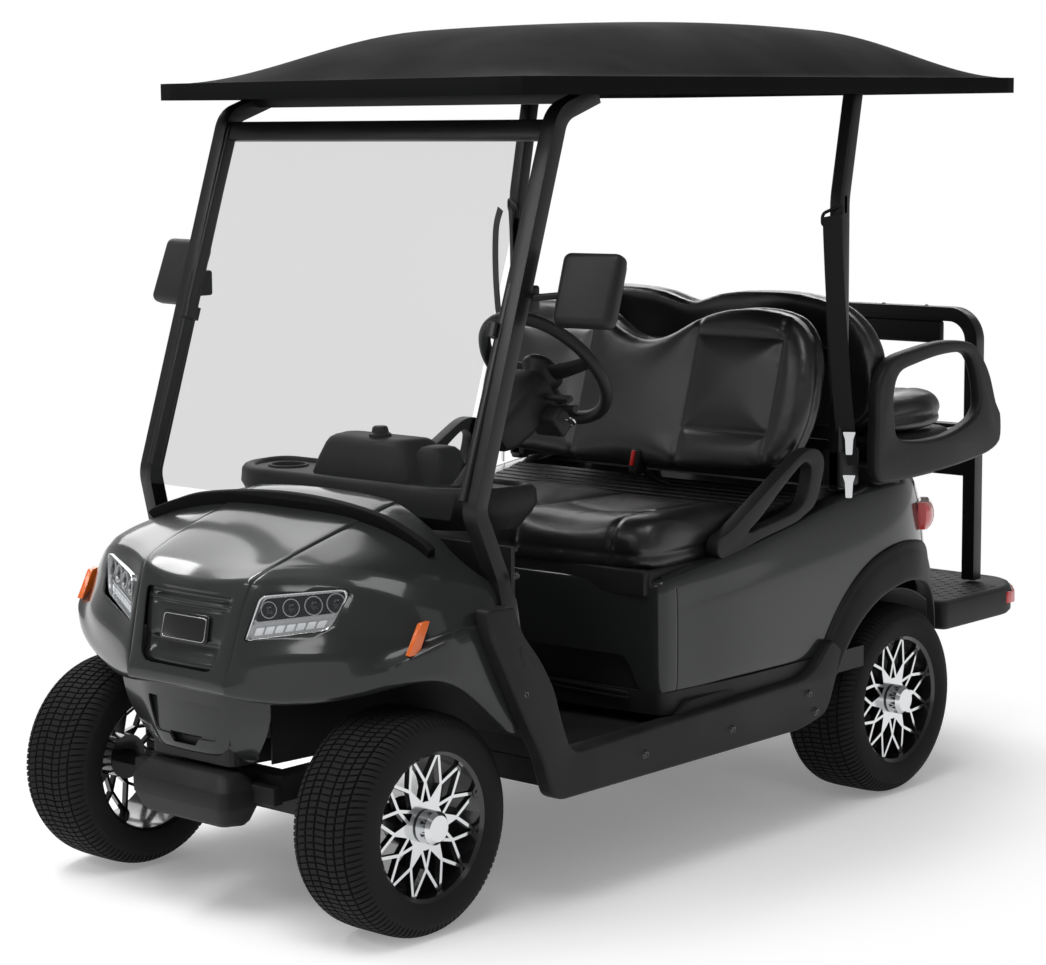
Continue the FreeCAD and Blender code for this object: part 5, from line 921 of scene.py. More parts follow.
valanceSettings = {
    # x and sweep back
    "stations": ((0, 0), (.07, .004), (.12, .012), (.155, .030), (.20, .052), (.238, .070)),
    "wall": 0.004,
    "recess": ((-.118, .472), (.118, .472), (.098, .392), (-.098, .392)),
    "recessSpan": (-.30, -.199),
    "floorStations": ((0, 0), (.07, .003), (.128, .012)),
    "floorHeights": (.482, .45, .42, .39, .380),
    "slot": ((-.052, .398), (.052, .398), (.034, .376), (-.034, .376)),
    "slotSpan": (-.26, -.16),
}


def throughBlock(name, outline, span):
    # four sided block through the nose, to cut with; outline of (x, z)
    return newMesh(name, [atFront(x, y, z) for y in span for x, z in outline], prismSides, smooth=False)


def makeValance():
    s = valanceSettings
    columns = []
    for x, reach in s["stations"]:
        columns.append([
            (x, -.222 + reach * .55, .512), (x, -.219 + reach * .6, .480),
            (x * .97, -.218 + reach * .6, .450),
            (x * .92, -.216 + reach * .65, .420), (x * .81, -.214 + reach * .7, .385),
            (x * .73, -.212 + reach * .75, .362), (x * .72, -.204 + reach * .75, .357), (x * .71, -.17, .356),
        ])
    piece = mirroredGrid("valanceSkin", columns, 2, wall=s["wall"])
    recess = soften(throughBlock("valanceRecess", s["recess"], s["recessSpan"]), 0.010, 3, 30)
    floorColumns = [[(x, -.2090 + back, z) for z in s["floorHeights"]] for x, back in s["floorStations"]]
    floor = mirroredGrid("valancePocket", floorColumns, 1, wall=0.003)
    cutWith(piece, recess)
    for target in (piece, floor):
        cutWith(target, throughBlock("valanceSlot", s["slot"], s["slotSpan"]))
    return joinPieces("valance", [piece, floor])


lampCorners = [(.204, -.171, .717), (.391, -.084, .742), (.357, -.113, .653), (.181, -.197, .620)]


class LampPlane:
    # flat frame of the left headlamp: along it, up it and out of it
    def __init__(self, corners):
        a, b, c, d = (atFront(*p) for p in corners)
        self.start = d
        self.along = (c - d).normalized()
        self.out = self.along.cross(a - d).normalized()
        if self.out.y > 0:
            self.out = -self.out
        self.up = self.out.cross(self.along).normalized()
        if self.up.z < 0:
            self.up = -self.up
        self.corners = [self.flat(p) for p in (a, b, c, d)]

    def flat(self, point):
        offset = point - self.start
        return Vector((offset.dot(self.along), offset.dot(self.up)))

    def point(self, u, v, t=0.0):
        return self.start + self.along * u + self.up * v + self.out * t


lampPlane = LampPlane(lampCorners)


def lampOutline(grow, steps=5):
    middle = sum(lampPlane.corners, Vector((0, 0))) / 4
    corners = [c + (c - middle).normalized() * grow for c in lampPlane.corners]
    return roundedOutline(corners, [0.016, 0.030, 0.020, 0.012], steps)


def makeCowl():
    s = cowlSettings
    piece = mirroredGrid(
        "cowlSkin", makeCowlColumns(), s["levels"], wall=s["wall"], creasedRows=s["creasedRows"],
        crease=s["crease"],
    )
    left = plateFrom(
        "lampCutter", lampOutline(s["lampGap"]), lambda a, b, t: lampPlane.point(a, b, -0.05 + t), 0.12
    )
    right = mirrorPiece(left, "lampCutterRight")
    cutWith(piece, left)
    cutWith(piece, right)
    outline = roundedOutline(s["grilleOpening"], s["grilleRadius"], 5)
    cutWith(piece, plateFrom("grilleCutter", outline, lambda a, b, t: atFront(a, -.33 + t, b), 0.20))
    soften(piece, 0.0012, 2, 50, 38)
    valance = smoothByAngle(makeValance(), 38)
    whole = smoothByAngle(joinPieces("front_cowl_skin", [piece, valance]), 38)
    return dress(whole, paint, "body_paint", "chassis", ("front_body",))


makeCowl()
print("cowl ready")


# nose panel with its grooves, the blank plate and the scoop

chromeTrim = makeFinish(
    "satinChrome", (0.62, 0.63, 0.64), 0.14, metallic=1.0, grainScale=700.0, grainStrength=0.04,
    spread=0.04, dust=0.0,
)
glossBlack = makeFinish(
    "glossBlackTrim", (0.006, 0.006, 0.0065), 0.20, specular=0.4, coat=0.6, coatRoughness=0.06, coatIor=1.4,
    grainScale=1500.0, grainStrength=0.08, grainDepth=0.0001, dust=0.02,
)


trimRubber = makeFinish(
    "trimRubber", (0.0028, 0.0028, 0.003), 0.6, specular=0.10, grainScale=1200.0, grainStrength=0.2,
    spread=0.1, dust=0.0,
)


def nosePoint(x, z, back=0.0):
    # on the sloping nose face, a little behind the skin
    share = (z - .50) / .21
    return atFront(x, -.233 + .046 * share + .05 * x * x * 10 + back, z)


grilleSettings = {
    "rows": [
        # height and depth behind the skin, from the top down
        (.712, .001), (.706, .002), (.701, .012), (.690, .014), (.686, .004), (.680, .003), (.676, .010),
        (.671, .010),
        (.667, .005), (.640, .005), (.606, .005), (.601, .012), (.595, .017), (.578, .013), (.567, .006),
        (.561, .001),
        (.553, .0005), (.546, .004),
    ],
    "stations": (0, .04, .08, .100, .112, .120, .128),
    "spread": 1.12,
    "taper": .85,         # how fast it narrows downwards
    "flatFrom": .112,     # grooves run out beyond this station
    "edgeFrom": .12,
}


def makeGrille():
    s = grilleSettings
    top = s["rows"][0][0]
    columns = []
    for x in s["stations"]:
        column = []
        for z, back in s["rows"]:
            narrow = 1.0 - (top - z) * s["taper"]
            edge = .001 if x >= s["edgeFrom"] else 0.0
            sunk = back if x < s["flatFrom"] else back * .35 + edge
            column.append(tuple(nosePoint(x * s["spread"] * narrow, z, sunk) - atFront(0, 0, 0)))
        columns.append(column)
    panel = smoothByAngle(mirroredGrid("nosePanelSkin", columns, 2, wall=0.003), 40)
    return dress(panel, paint, "body_paint", "chassis", ("grille",))


plateSettings = {
    "size": (0.150, 0.064),
    "height": .630,
    "lean": 12.5,      # degrees
    "proud": 0.0035,
    "thick": 0.0060,
    "rimPlace": .0062,
}


def makePlate():
    s = plateSettings
    outline = roundedBox(*s["size"], 0.010, 5)
    lean = math.radians(s["lean"])

    def place(a, b, t):
        return nosePoint(a, s["height"] + b * math.cos(lean), s["proud"] - t)

    base = soften(plateFrom("plateBase", outline, place, s["thick"]), 0.0018, 3, 40, 35)
    rimPath = [place(a * .90, b * .80, s["rimPlace"]) for a, b in outline]
    rim = sweep("plateRim", rimPath, circleProfile(0.0011, 8), up=(0, -1, 0), closed=True)
    dress(base, glossBlack, "body_paint")
    dress(rim, chromeTrim, "body_paint")


hoodTrimSettings = {
    "half": [
        (.0, .130, .868), (.10, .130, .865), (.20, .126, .857), (.30, .118, .843), (.368, .112, .823),
        (.4255, .105, .803), (.442, .103, .793),
    ],
    "profile": [(-.010, -.024), (.012, -.024), (.009, .018), (-.007, .018)],
    "profileRadius": .0035,
}


def makeHoodTrim():
    s = hoodTrimSettings
    route = [(-x, y, z) for x, y, z in reversed(s["half"][1:])] + s["half"]
    path = splinePath([atFront(*p) for p in route], 5)
    trim = sweep(
        "hood_trim_strip", path, roundedOutline(s["profile"], s["profileRadius"], 3), up=(0, -.25, .97)
    )
    smoothByAngle(trim, 40)
    dress(trim, trimRubber, "black_plastic", "chassis", ("hood_trim",))


makeGrille()
makePlate()
makeHoodTrim()
print("nose ready")


# headlamps

lampSettings = {
    "lensCount": 4,
    "lensRadius": 0.0185,
    "cellCount": 7,
    "cellStart": 0.085,    # shares of the lamp's width
    "cellPitch": 0.118,
    "cellGap": 0.022,
    "bezel": [
        # growth of the outline and height over the lamp's plane
        (-0.0006, -0.030), (-0.0006, 0.0005), (-0.0025, 0.0022), (-0.0055, 0.0012), (-0.0075, -0.010),
    ],
    "bowl": [
        # share of the radius and height, as in the lens
        (1.10, -.0095), (1.06, -.0040), (0.98, -.0040), (0.90, -.0120), (0.55, -.0200), (0.02, -.0220),
    ],
    "lens": [(0.62, -.0190), (0.62, -.0110), (0.52, -.0060), (0.30, -.0030), (0.015, -.0020)],
    "shelf": [(0.03, 0.33), (0.955, 0.36), (0.955, 0.395), (0.03, 0.365)],
    "darkPanel": [(0.03, 0.41), (0.97, 0.43), (0.965, 0.93), (0.05, 0.92)],
    "coverRings": [(1.0, 0.0006), (0.86, 0.0030), (0.6, 0.0046), (0.3, 0.0054)],
    "coverTop": 0.0056,
}


def makeGlass(name, colour, roughness, alpha, specular=0.5):
    material = bpy.data.materials.new(name)
    material.use_nodes = True
    tree = material.node_tree
    shader = tree.nodes["Principled BSDF"]
    place = tree.nodes.new("ShaderNodeTexCoord").outputs["Object"]
    haze = addNode(tree, "ShaderNodeTexNoise", {"Vector": place, "Scale": 6.0, "Detail": 3.0}).outputs["Fac"]
    tint = blend(tree, haze, shadeOf(colour, 0.97), shadeOf(colour, 1.03))
    tree.links.new(tint, shader.inputs["Base Color"])
    rough = addNode(tree, "ShaderNodeMapRange", {
        "Value": haze, "To Min": roughness, "To Max": roughness + 0.02,
    })
    tree.links.new(rough.outputs["Result"], shader.inputs["Roughness"])
    setInputs(shader, IOR=1.45, Specular_IOR_Level=specular, Alpha=alpha)
    return material


lampCover = makeGlass("lampCover", (0.20, 0.205, 0.21, 1), 0.02, 0.07)
lampSilver = makeFinish(
    "lampSilver", (0.60, 0.61, 0.62), 0.20, metallic=0.85, grainScale=500.0, grainStrength=0.05,
    spread=0.05, dust=0.0,
)
lampDark = makeFinish(
    "lampDarkBowl", (0.030, 0.032, 0.035), 0.14, metallic=0.8, grainScale=500.0, grainStrength=0.05, dust=0.0,
)
lampDiffuser = makeFinish(
    "lampDiffuser", (0.66, 0.68, 0.70), 0.25, specular=0.6, coat=0.5, grainScale=260.0, pebble=1.0,
    grainStrength=0.5, grainDepth=0.0004, spread=0.1, dust=0.0,
)


def lathe(name, profile, place, segments=32):
    # profile of (radius, height); place(a, b, t) sets the frame
    points, faces = [], []
    for k in range(segments):
        turn = 2 * math.pi * k / segments
        for radius, height in profile:
            points.append(place(radius * math.cos(turn), radius * math.sin(turn), height))
    size = len(profile)
    for k in range(segments):
        first, second = k * size, ((k + 1) % segments) * size
        for j in range(size - 1):
            faces.append((first + j, first + j + 1, second + j + 1, second + j))
    return newMesh(name, points, faces)


def lampShare(u, v):
    # bilinear place inside the lamp outline, u outwards and v upwards
    topIn, topOut, lowOut, lowIn = lampPlane.corners
    low = lowIn.lerp(lowOut, u)
    top = topIn.lerp(topOut, u)
    return low.lerp(top, v)


def inLamp(depth):
    # local coordinates on the lamp's plane, starting that far below its face
    return lambda a, b, t: lampPlane.point(a, b, t - depth)


def shareOutline(shares, radius=None, steps=3):
    corners = [lampShare(u, v) for u, v in shares]
    return roundedOutline(corners, radius, steps) if radius else corners


def makeLampCover():
    outline = lampOutline(-0.0030, 6)
    middle = sum(outline, Vector((0, 0))) / len(outline)
    points = []
    for share, rise in lampSettings["coverRings"]:
        points += [lampPlane.point(*(middle + (p - middle) * share), rise) for p in outline]
    points.append(lampPlane.point(*middle, lampSettings["coverTop"]))
    size, rings = len(outline), len(lampSettings["coverRings"])
    last = (rings - 1) * size
    fan = [(last + k, last + (k + 1) % size, rings * size) for k in range(size)]
    return newMesh("headlamp_left_cover", points, ringFaces(rings, size) + fan)


def makeHeadlamp():
    s = lampSettings
    layers = []
    for inset, height in s["bezel"]:
        layers.append([lampPlane.point(a, b, height) for a, b in lampOutline(inset)])
    bezel = smoothByAngle(stackedRings("headlampBezel", layers), 35)
    bowls, lenses, cells = [], [], []
    for k in range(s["lensCount"]):
        centre = lampShare(0.15 + 0.745 * k / (s["lensCount"] - 1), 0.66)
        radius = s["lensRadius"] * (0.92 + 0.06 * k)

        def place(a, b, t, centre=centre):
            return lampPlane.point(centre.x + a, centre.y + b, t)

        bowls.append(lathe("lampBowl", [(radius * share, height) for share, height in s["bowl"]], place, 28))
        lenses.append(lathe("lampLens", [(radius * share, height) for share, height in s["lens"]], place, 24))
    for k in range(s["cellCount"]):
        low = s["cellStart"] + s["cellPitch"] * k
        high = low + s["cellPitch"] - s["cellGap"]
        outline = shareOutline([(low, 0.10), (high, 0.10), (high, 0.27), (low, 0.27)], 0.003)
        cells.append(soften(plateFrom("lampCell", outline, inLamp(.0098), 0.0060), 0.0014, 2, 40))
    shelf = plateFrom("lampShelf", shareOutline(s["shelf"]), inLamp(.0098), 0.0080)
    back = plateFrom("lampBack", lampOutline(-0.0072), inLamp(.0100), 0.0015)
    darkPanel = plateFrom("lampDarkPanel", shareOutline(s["darkPanel"], 0.012, 4), inLamp(.0086), 0.0012)
    cover = makeLampCover()
    silver = smoothByAngle(joinPieces("headlamp_left_silver", [bezel, back, shelf] + bowls), 35)
    dark = smoothByAngle(joinPieces("headlamp_left_dark", [darkPanel] + lenses), 35)
    light = smoothByAngle(joinPieces("headlamp_left_cells", cells), 35)
    bothSides(silver, lampSilver, "lamp_lens", ("headlamps",))
    bothSides(dark, lampDark, "lamp_lens")
    bothSides(light, lampDiffuser, "lamp_lens")
    bothSides(cover, lampCover, "lamp_lens")


makeHeadlamp()
print("headlamps ready")


# canopy

roofSettings = {
    "halfWidth": 0.583,
    "front": 0.2455 + frontAxle,
    "rear": 2.2095 + frontAxle,
    "low": 1.7535,
    "rim": 1.7925,
    "top": 1.934,
    "crown": 1.343 + frontAxle,
    "shelf": 0.020,
    "lengthSteps": 96,
    "widthSteps": 64,
    "fallAlong": 0.37,     # how much the dome sinks towards the ends and the sides
    "fallAcross": 0.27,
    "sideRise": (0.38, 2.2),
    "frontRise": (0.48, 2.1),
    "rearRise": (0.40, 2.0),
    "corner": 0.07,
    "cornerPull": 0.016,
    "edgeBand": 0.002,
    "underside": [(0.0, 0.0), (0.014, 0.0), (0.016, 0.018), (0.04, 0.026)],   # inset and lift
}


def roofHeight(x, y):
    # the dome rises from a flat ledge along the rim
    s = roofSettings
    sideGap = s["halfWidth"] - s["shelf"] - abs(x)
    frontGap = y - s["front"] - s["shelf"] * 2.4
    rearGap = s["rear"] - s["shelf"] - y
    if min(sideGap, frontGap, rearGap) <= 0:
        return s["rim"]

    def rise(gap, reach, power):
        t = min(gap / reach, 1.0)
        return 1.0 - (1.0 - t) ** power

    length = (s["rear"] - s["front"]) / 2
    along = 1.0 - s["fallAlong"] * (abs(y - s["crown"]) / length) ** 2.0
    across = 1.0 - s["fallAcross"] * (abs(x) / s["halfWidth"]) ** 2.2
    corner = rise(sideGap, *s["sideRise"]) * rise(frontGap, *s["frontRise"]) * rise(rearGap, *s["rearRise"])
    return s["rim"] + (s["top"] - s["rim"]) * max(0.0, along * across) * corner


def makeCanopy():
    s = roofSettings
    wide, long = s["widthSteps"], s["lengthSteps"]
    half, front, rear = s["halfWidth"], s["front"], s["rear"]
    middleY, halfLength = (front + rear) / 2, (rear - front) / 2

    def spread(k, count, reach):
        # places closer together towards both ends
        t = k / count
        return reach * (0.5 - 0.5 * math.cos(math.pi * t)) * 0.6 + reach * t * 0.4

    points = []
    for i in range(long + 1):
        y = front + spread(i, long, rear - front)
        for j in range(wide + 1):
            x = -half + spread(j, wide, 2 * half)
            # corners of the plan are rounded by drawing them in
            over = max(0.0, abs(x) - (half - s["corner"])) / s["corner"]
            ends = max(0.0, abs(y - middleY) - (halfLength - s["corner"])) / s["corner"]
            pull = s["cornerPull"] * (over * ends)
            inX, inY = math.copysign(pull, x), math.copysign(pull, y - middleY)
            points.append((x - inX, y - inY, roofHeight(x, y)))
    width = wide + 1
    faces = gridFaces(long + 1, width)
    border = list(range(width))
    border += [i * width + wide for i in range(1, long + 1)]
    border += [long * width + j for j in range(wide - 1, -1, -1)]
    border += [i * width for i in range(long - 1, 0, -1)]
    start, size = len(points), len(border)
    for pull, lift in s["underside"]:
        for k in border:
            x, y, _ = points[k]
            onSide = half - abs(x) < s["edgeBand"]
            onEnd = min(y - front, rear - y) < s["edgeBand"]
            shrinkX = pull if onSide or not onEnd else 0.0
            shrinkY = pull if onEnd or not onSide else 0.0
            px, py = x - math.copysign(shrinkX, x), y - math.copysign(shrinkY, y - middleY)
            points.append((px, py, s["low"] + lift))
    previous = border
    for layer in range(len(s["underside"])):
        current = [start + layer * size + k for k in range(size)]
        for k in range(size):
            n = (k + 1) % size
            faces.append((previous[k], previous[n], current[n], current[k]))
        previous = current
    faces.append(tuple(previous))
    piece = soften(newMesh("canopy_moulding", points, faces), 0.004, 3, 40, 32)
    return dress(piece, roofPlastic, "roof_plastic", "chassis", ("canopy",))


makeCanopy()
print("canopy ready")


# windshield, pillars and other straight frames

screenGlass = makeGlass("windshieldSheet", (0.035, 0.036, 0.037, 1), 0.12, 0.165, specular=0.03)


frameSettings = {
    "rounded": (
        # node, edge radius, finish and the slot it has where the record names none
        ("front_pillars", 0.007, frameSteel, "black_frame"),
        ("rear_pillars", 0.007, frameSteel, "black_frame"),
        ("floor", 0.004, sillPlastic, "black_plastic"),
    ),
    "toeBoardCut": ((.525, .60), (.20, .40), (.46, .85)),
    "glassFoot": (0, .1185, .868),
    "glassHead": (0, .386, 1.663),
    "glassHalfWidth": .484,
    "glassThick": 0.005,
}


def makeFrames():
    across, along, tall = frameSettings["toeBoardCut"]
    for node, width, material, slot in frameSettings["rounded"]:
        piece = roundedCopy(node + "_rounded", node, width, 3, 30)
        for side in (-1, 1) if node == "floor" else ():
            corners = [atFront(side * x, y, z) for x in across for y in along for z in tall]
            cutWith(piece, newMesh("toeBoardCut", corners, boxSides, smooth=False))
        dress(piece, material, slotOf[node] or slot, "chassis", (node,))


def makeWindshield():
    s = frameSettings
    low, high = atFront(*s["glassFoot"]), atFront(*s["glassHead"])
    rise, tall = (high - low).normalized(), (high - low).length
    out = Vector((0, -rise.z, rise.y))
    half = s["glassHalfWidth"]
    outline = roundedOutline([(-half, 0), (half, 0), (half, tall), (-half, tall)], .006, 3)

    def place(a, b, t):
        return low + Vector((a, 0, 0)) + rise * b + out * t

    glass = soften(plateFrom("windshield_sheet", outline, place, s["glassThick"]), 0.0008, 1, 40, 35)
    dress(glass, screenGlass, "screen_glass", "chassis", ("windshield_glass",))


makeFrames()
makeWindshield()
print("frames ready")


# rear body under the seats

podSettings = {
    "wall": 0.004,
    "wheelRadius": 0.345,
    "wheelSpan": (0.30, 0.70),
    "gap": [(.532, .774), (.532, .7768), (.62, .7768), (.62, .774)],
    "gapSpan": (.38, .6455),
    "gapLimit": [(.50, .75), (.50, .80), (.5655, .80), (.5635, .75)],
    "gapLimitSpan": (.37, .66),
    "kick": [(-.47, .486), (.47, .486), (.515, .38), (-.515, .38)],
    "insert": [(-.49, .50), (.49, .50), (.525, .372), (-.525, .372)],
    "ribs": (.400, .388),
    "ribHalfWidth": .485,
    "ribHeight": .006,
    "plinthHeight": .385,
    "plinth": [(-.006, -.030), (.006, -.030), (.006, .022), (-.006, .022)],
}
podPlan = [
    # place along the edge of the body seen from above, and the height of its top there
    (0, .692, .664), (.20, .697, .664), (.36, .706, .664), (.46, .714, .664), (.530, .722, .665),
    (.558, .727, .667), (.570, .739, .669), (.5735, .775, .673), (.580, .850, .683), (.589, .93, .692),
    (.5945, 1.02, .704), (.596, 1.16, .728), (.596, 1.32, .756), (.5955, 1.48, .780), (.593, 1.62, .794),
    (.583, 1.72, .799), (.560, 1.80, .797), (.525, 1.868, .790), (.488, 1.925, .778), (.455, 1.965, .768),
    (.40, 1.981, .764), (.20, 1.983, .764), (0, 1.983, .764),
]


def podSideX(y):
    # half width of the body at a place along the cart, measured from the front axle
    side = [(p[1], p[0]) for p in podPlan[6:21]]
    for (y0, x0), (y1, x1) in zip(side, side[1:]):
        if y <= y1:
            t = max(0.0, (y - y0) / (y1 - y0))
            return x0 + (x1 - x0) * t
    return side[-1][1]


def makePod():
    columns = []
    lowest = .664
    for k, (x, y, top) in enumerate(podPlan):
        before, after = podPlan[max(k - 1, 0)], podPlan[min(k + 1, len(podPlan) - 1)]
        along = Vector((after[0] - before[0], after[1] - before[1], 0)).normalized()
        out = Vector((along.y, -along.x, 0))
        lean = 0.030 * min(1.0, max(0.0, (top - lowest) / .11))
        low = .398 if y < .9 else (.404 if y < 1.3 else .40)

        def spot(inward, z):
            return (max(0.0, x - out.x * inward) if x > 0 else 0.0, y - out.y * inward, z)

        columns.append([
            spot(.070 + lean, top - .006), spot(.034 + lean, top), spot(.012 + lean, top - .002),
            spot(.003 + lean, top - .012), spot(lean * .8, top - .034), spot(lean * .45, top - .085),
            spot(lean * .05, .600 if top > .68 else .58), spot(0, .50), spot(.001, .44),
            spot(.003, low + .008),
            spot(.008, low), spot(.030, low - .002),
        ])
    return mirroredGrid("podSkin", columns, 2, wall=podSettings["wall"])


def wheelCutter(side):
    s = podSettings
    rings = []
    for x in s["wheelSpan"]:
        circle = circleProfile(s["wheelRadius"], 56)
        rings.append([(x * side, rearAxle + a, hubHeight + b) for a, b in circle])
    return stackedRings("wheelCutter", rings)


def uprightBlock(name, side, outline, span):
    # four sided block standing between two heights, to cut with; outline of (x, y)
    return newMesh(
        name, [atFront(side * x, y, z) for z in span for x, y in outline], prismSides, smooth=False
    )


def makeRearBody():
    s = podSettings
    pod = makePod()
    for side in (1, -1):
        cutWith(pod, wheelCutter(side))
        # panel gap beside the front corner, no deeper than the limit block lets it be
        blade = uprightBlock("cornerGap", side, s["gap"], s["gapSpan"])
        cutWith(blade, uprightBlock("cornerGapLimit", side, s["gapLimit"], s["gapLimitSpan"]))
        cutWith(pod, blade)
    kickOutline = roundedOutline(s["kick"], [.03, .03, .01, .01], 5)
    cutWith(pod, plateFrom("kickCutter", kickOutline, lambda a, b, t: atFront(a, .640 + t, b), 0.09))
    soften(pod, 0.0015, 2, 50, 38)
    pod.name = "rear_body_skin"
    dress(pod, paint, "body_paint", "chassis", ("rear_body",))
    insertOutline = roundedOutline(s["insert"], .02, 4)
    parts = [plateFrom(
        "kickInsert", insertOutline, lambda a, b, t: atFront(a, .709 + t + .35 * a ** 4, b), 0.006
    )]
    half, tall = s["ribHalfWidth"], s["ribHeight"]
    for z in s["ribs"]:
        corners = [(-half, z), (half, z), (half, z + tall), (-half, z + tall)]
        parts.append(plateFrom("kickRib", corners, lambda a, b, t: atFront(a, .700 + t, b), 0.010))
    panel = soften(joinPieces("kick_panel", parts), 0.0012, 2, 40, 35)
    dress(panel, blackPlastic, "body_paint")
    # black step between the body's lower edge and the floor
    band = [(x * .988, y + .010, s["plinthHeight"]) for x, y, _ in podPlan[:14]]
    route = [(-x, y, z) for x, y, z in reversed(band[1:])] + band
    step = sweep("body_plinth", splinePath([atFront(*p) for p in route], 2), s["plinth"])
    smoothByAngle(step, 40)
    dress(step, blackPlastic, "body_paint")


makeRearBody()
print("rear body ready")


# sills with their front legs and the flares over the rear wheels

flareSettings = {
    "centre": (1.664, .240),
    "steps": 27,
    "start": 162,          # degrees, from there forwards over the wheel
    "turn": 5.97,
    "outer": .398,
    "fold": .372,
    "lip": .305,
    "tail": .020,          # extra width at the rear end
}


def makeFlare():
    s = flareSettings
    centreY, centreZ = s["centre"]
    columns = []
    for step in range(s["steps"]):
        angle = math.radians(s["start"] - step * s["turn"])
        share = step / (s["steps"] - 1)

        def ring(radius, proud, angle=angle):
            y, z = centreY + radius * math.cos(angle), centreZ + radius * math.sin(angle)
            return (podSideX(min(max(y, .80), 1.975)) + proud, y, z)

        late = max(0.0, (share - .80) / .20) ** 1.5
        outer = s["outer"] + .012 * math.exp(-((share - .62) / .14) ** 2) - .050 * late
        fold = s["fold"] - .030 * late
        lip = s["lip"] + .036 * max(0.0, 1 - share * 2.6) ** 1.3
        tail = s["tail"] * max(0.0, (share - .70) / .30)
        columns.append([
            ring(outer - .006, -.012), ring(outer, -.003), ring(outer, .003), ring(outer - .006, .0075),
            ring(fold + .010, .010), ring(fold, .0155), ring((fold + lip) / 2, .0215 + tail * .7),
            ring(lip + .010, .0245 + tail), ring(lip + .002, .0235 + tail), ring(lip - .001, .018 + tail),
            ring(lip + .002, -.010), ring(lip + .004, -.030),
        ])
    # rings closed along the body so that it is a solid moulding
    piece = stackedRings("rear_flare_left", [[atFront(*p) for p in column] for column in columns])
    subdivide(piece, 2)
    return bakeModifiers(piece)


sillSettings = {
    "inside": .580,
    "thick": .040,
    "lean": .010,
    "radii": [
        .012, .03, .03, .02, .01, .02, .05, .03, .03, .02, .02, .03, .02, .01, .01, .02, .03, .03, .02, .02,
    ],
    "ledge": [(.36, .330), (1.31, .330), (1.31, .392), (.80, .384), (.76, .352), (.36, .346)],
    "oval": (.016, .075),          # half axes
    "ovalPlace": (.222, .530),
    "ovalSlope": .378,
    "bolts": (
        # place along the cart, height and place across
        (.206, .500, .6115), (1.223, .333, .6195), (1.252, .285, .6195), (.60, .300, .6195),
        (.92, .300, .6195),
    ),
}
sillOutline = [
    # side view from the front axle, measured rearwards and up
    (.318, .250), (1.20, .250), (1.302, .272), (1.342, .360), (1.366, .420), (1.322, .452), (1.235, .372),
    (.372, .348),
    (.345, .362), (.322, .42), (.300, .495), (.262, .562), (.205, .628), (.178, .692), (.095, .694),
    (.100, .640),
    (.150, .545), (.205, .440), (.255, .350), (.286, .262),
]


def makeSill():
    s = sillSettings

    def place(a, b, t):
        lean = s["lean"] * min(1.0, max(0.0, (b - .36) / .3))
        return atFront(s["inside"] + t - lean, a, b)

    plate = plateFrom("sillPlate", roundedOutline(sillOutline, s["radii"], 3), place, s["thick"])
    soften(plate, 0.009, 4, 50)
    # top ledge that runs back to the side of the body
    ledgeOutline = roundedOutline(s["ledge"], .006, 2)
    ledge = plateFrom("sillLedge", ledgeOutline, lambda a, b, t: atFront(.556 + t, a, b), 0.034)
    soften(ledge, 0.004, 2, 50)
    # long oval insert on the leg
    oval = []
    for u, v in circleProfile(1.0, 30):
        u, v = u * s["oval"][0], v * s["oval"][1]
        oval.append((s["ovalPlace"][0] + u - s["ovalSlope"] * v, s["ovalPlace"][1] + v))
    insert = plateFrom("legInsert", oval, lambda a, b, t: atFront(.606 + t, a, b), 0.0075)
    soften(insert, 0.003, 3, 50)
    return [plate, ledge, insert]


def makeBoltHead(y, z, x, radius=0.0075):
    return lathe("boltHead", [
        (radius * 1.5, 0.0), (radius * 1.45, .0012), (radius * 1.05, .0016), (radius, .0042),
        (radius * .82, .0056),
        (radius * .50, .0056), (radius * .44, .0028), (0.0002, .0028),
    ], lambda a, b, t: atFront(x + t, y + a, z + b), 20)


def makeSideTrim():
    bothSides(smoothByAngle(makeFlare(), 50), sillPlastic, "black_plastic", ("sills",))
    sill = smoothByAngle(joinPieces("sill_left", makeSill()), 38)
    bothSides(sill, sillPlastic, "black_plastic", ("sills",))
    bolts = joinPieces("sill_bolts_left", [makeBoltHead(y, z, x) for y, z, x in sillSettings["bolts"]])
    bothSides(bolts, glossBlack, "black_plastic")


makeSideTrim()
print("sills ready")


# solid mouldings that follow their outlines

def resample(loop, count):
    # the same closed loop with evenly spaced points
    size = len(loop)
    lengths = [0.0]
    for k in range(size):
        a, b = loop[k], loop[(k + 1) % size]
        lengths.append(lengths[-1] + math.dist(a, b))
    out, index = [], 0
    for k in range(count):
        target = lengths[-1] * k / count
        while lengths[index + 1] < target:
            index += 1
        a, b = loop[index], loop[(index + 1) % size]
        span = lengths[index + 1] - lengths[index]
        t = (target - lengths[index]) / span if span else 0.0
        out.append(tuple(p + (q - p) * t for p, q in zip(a, b)))
    return out


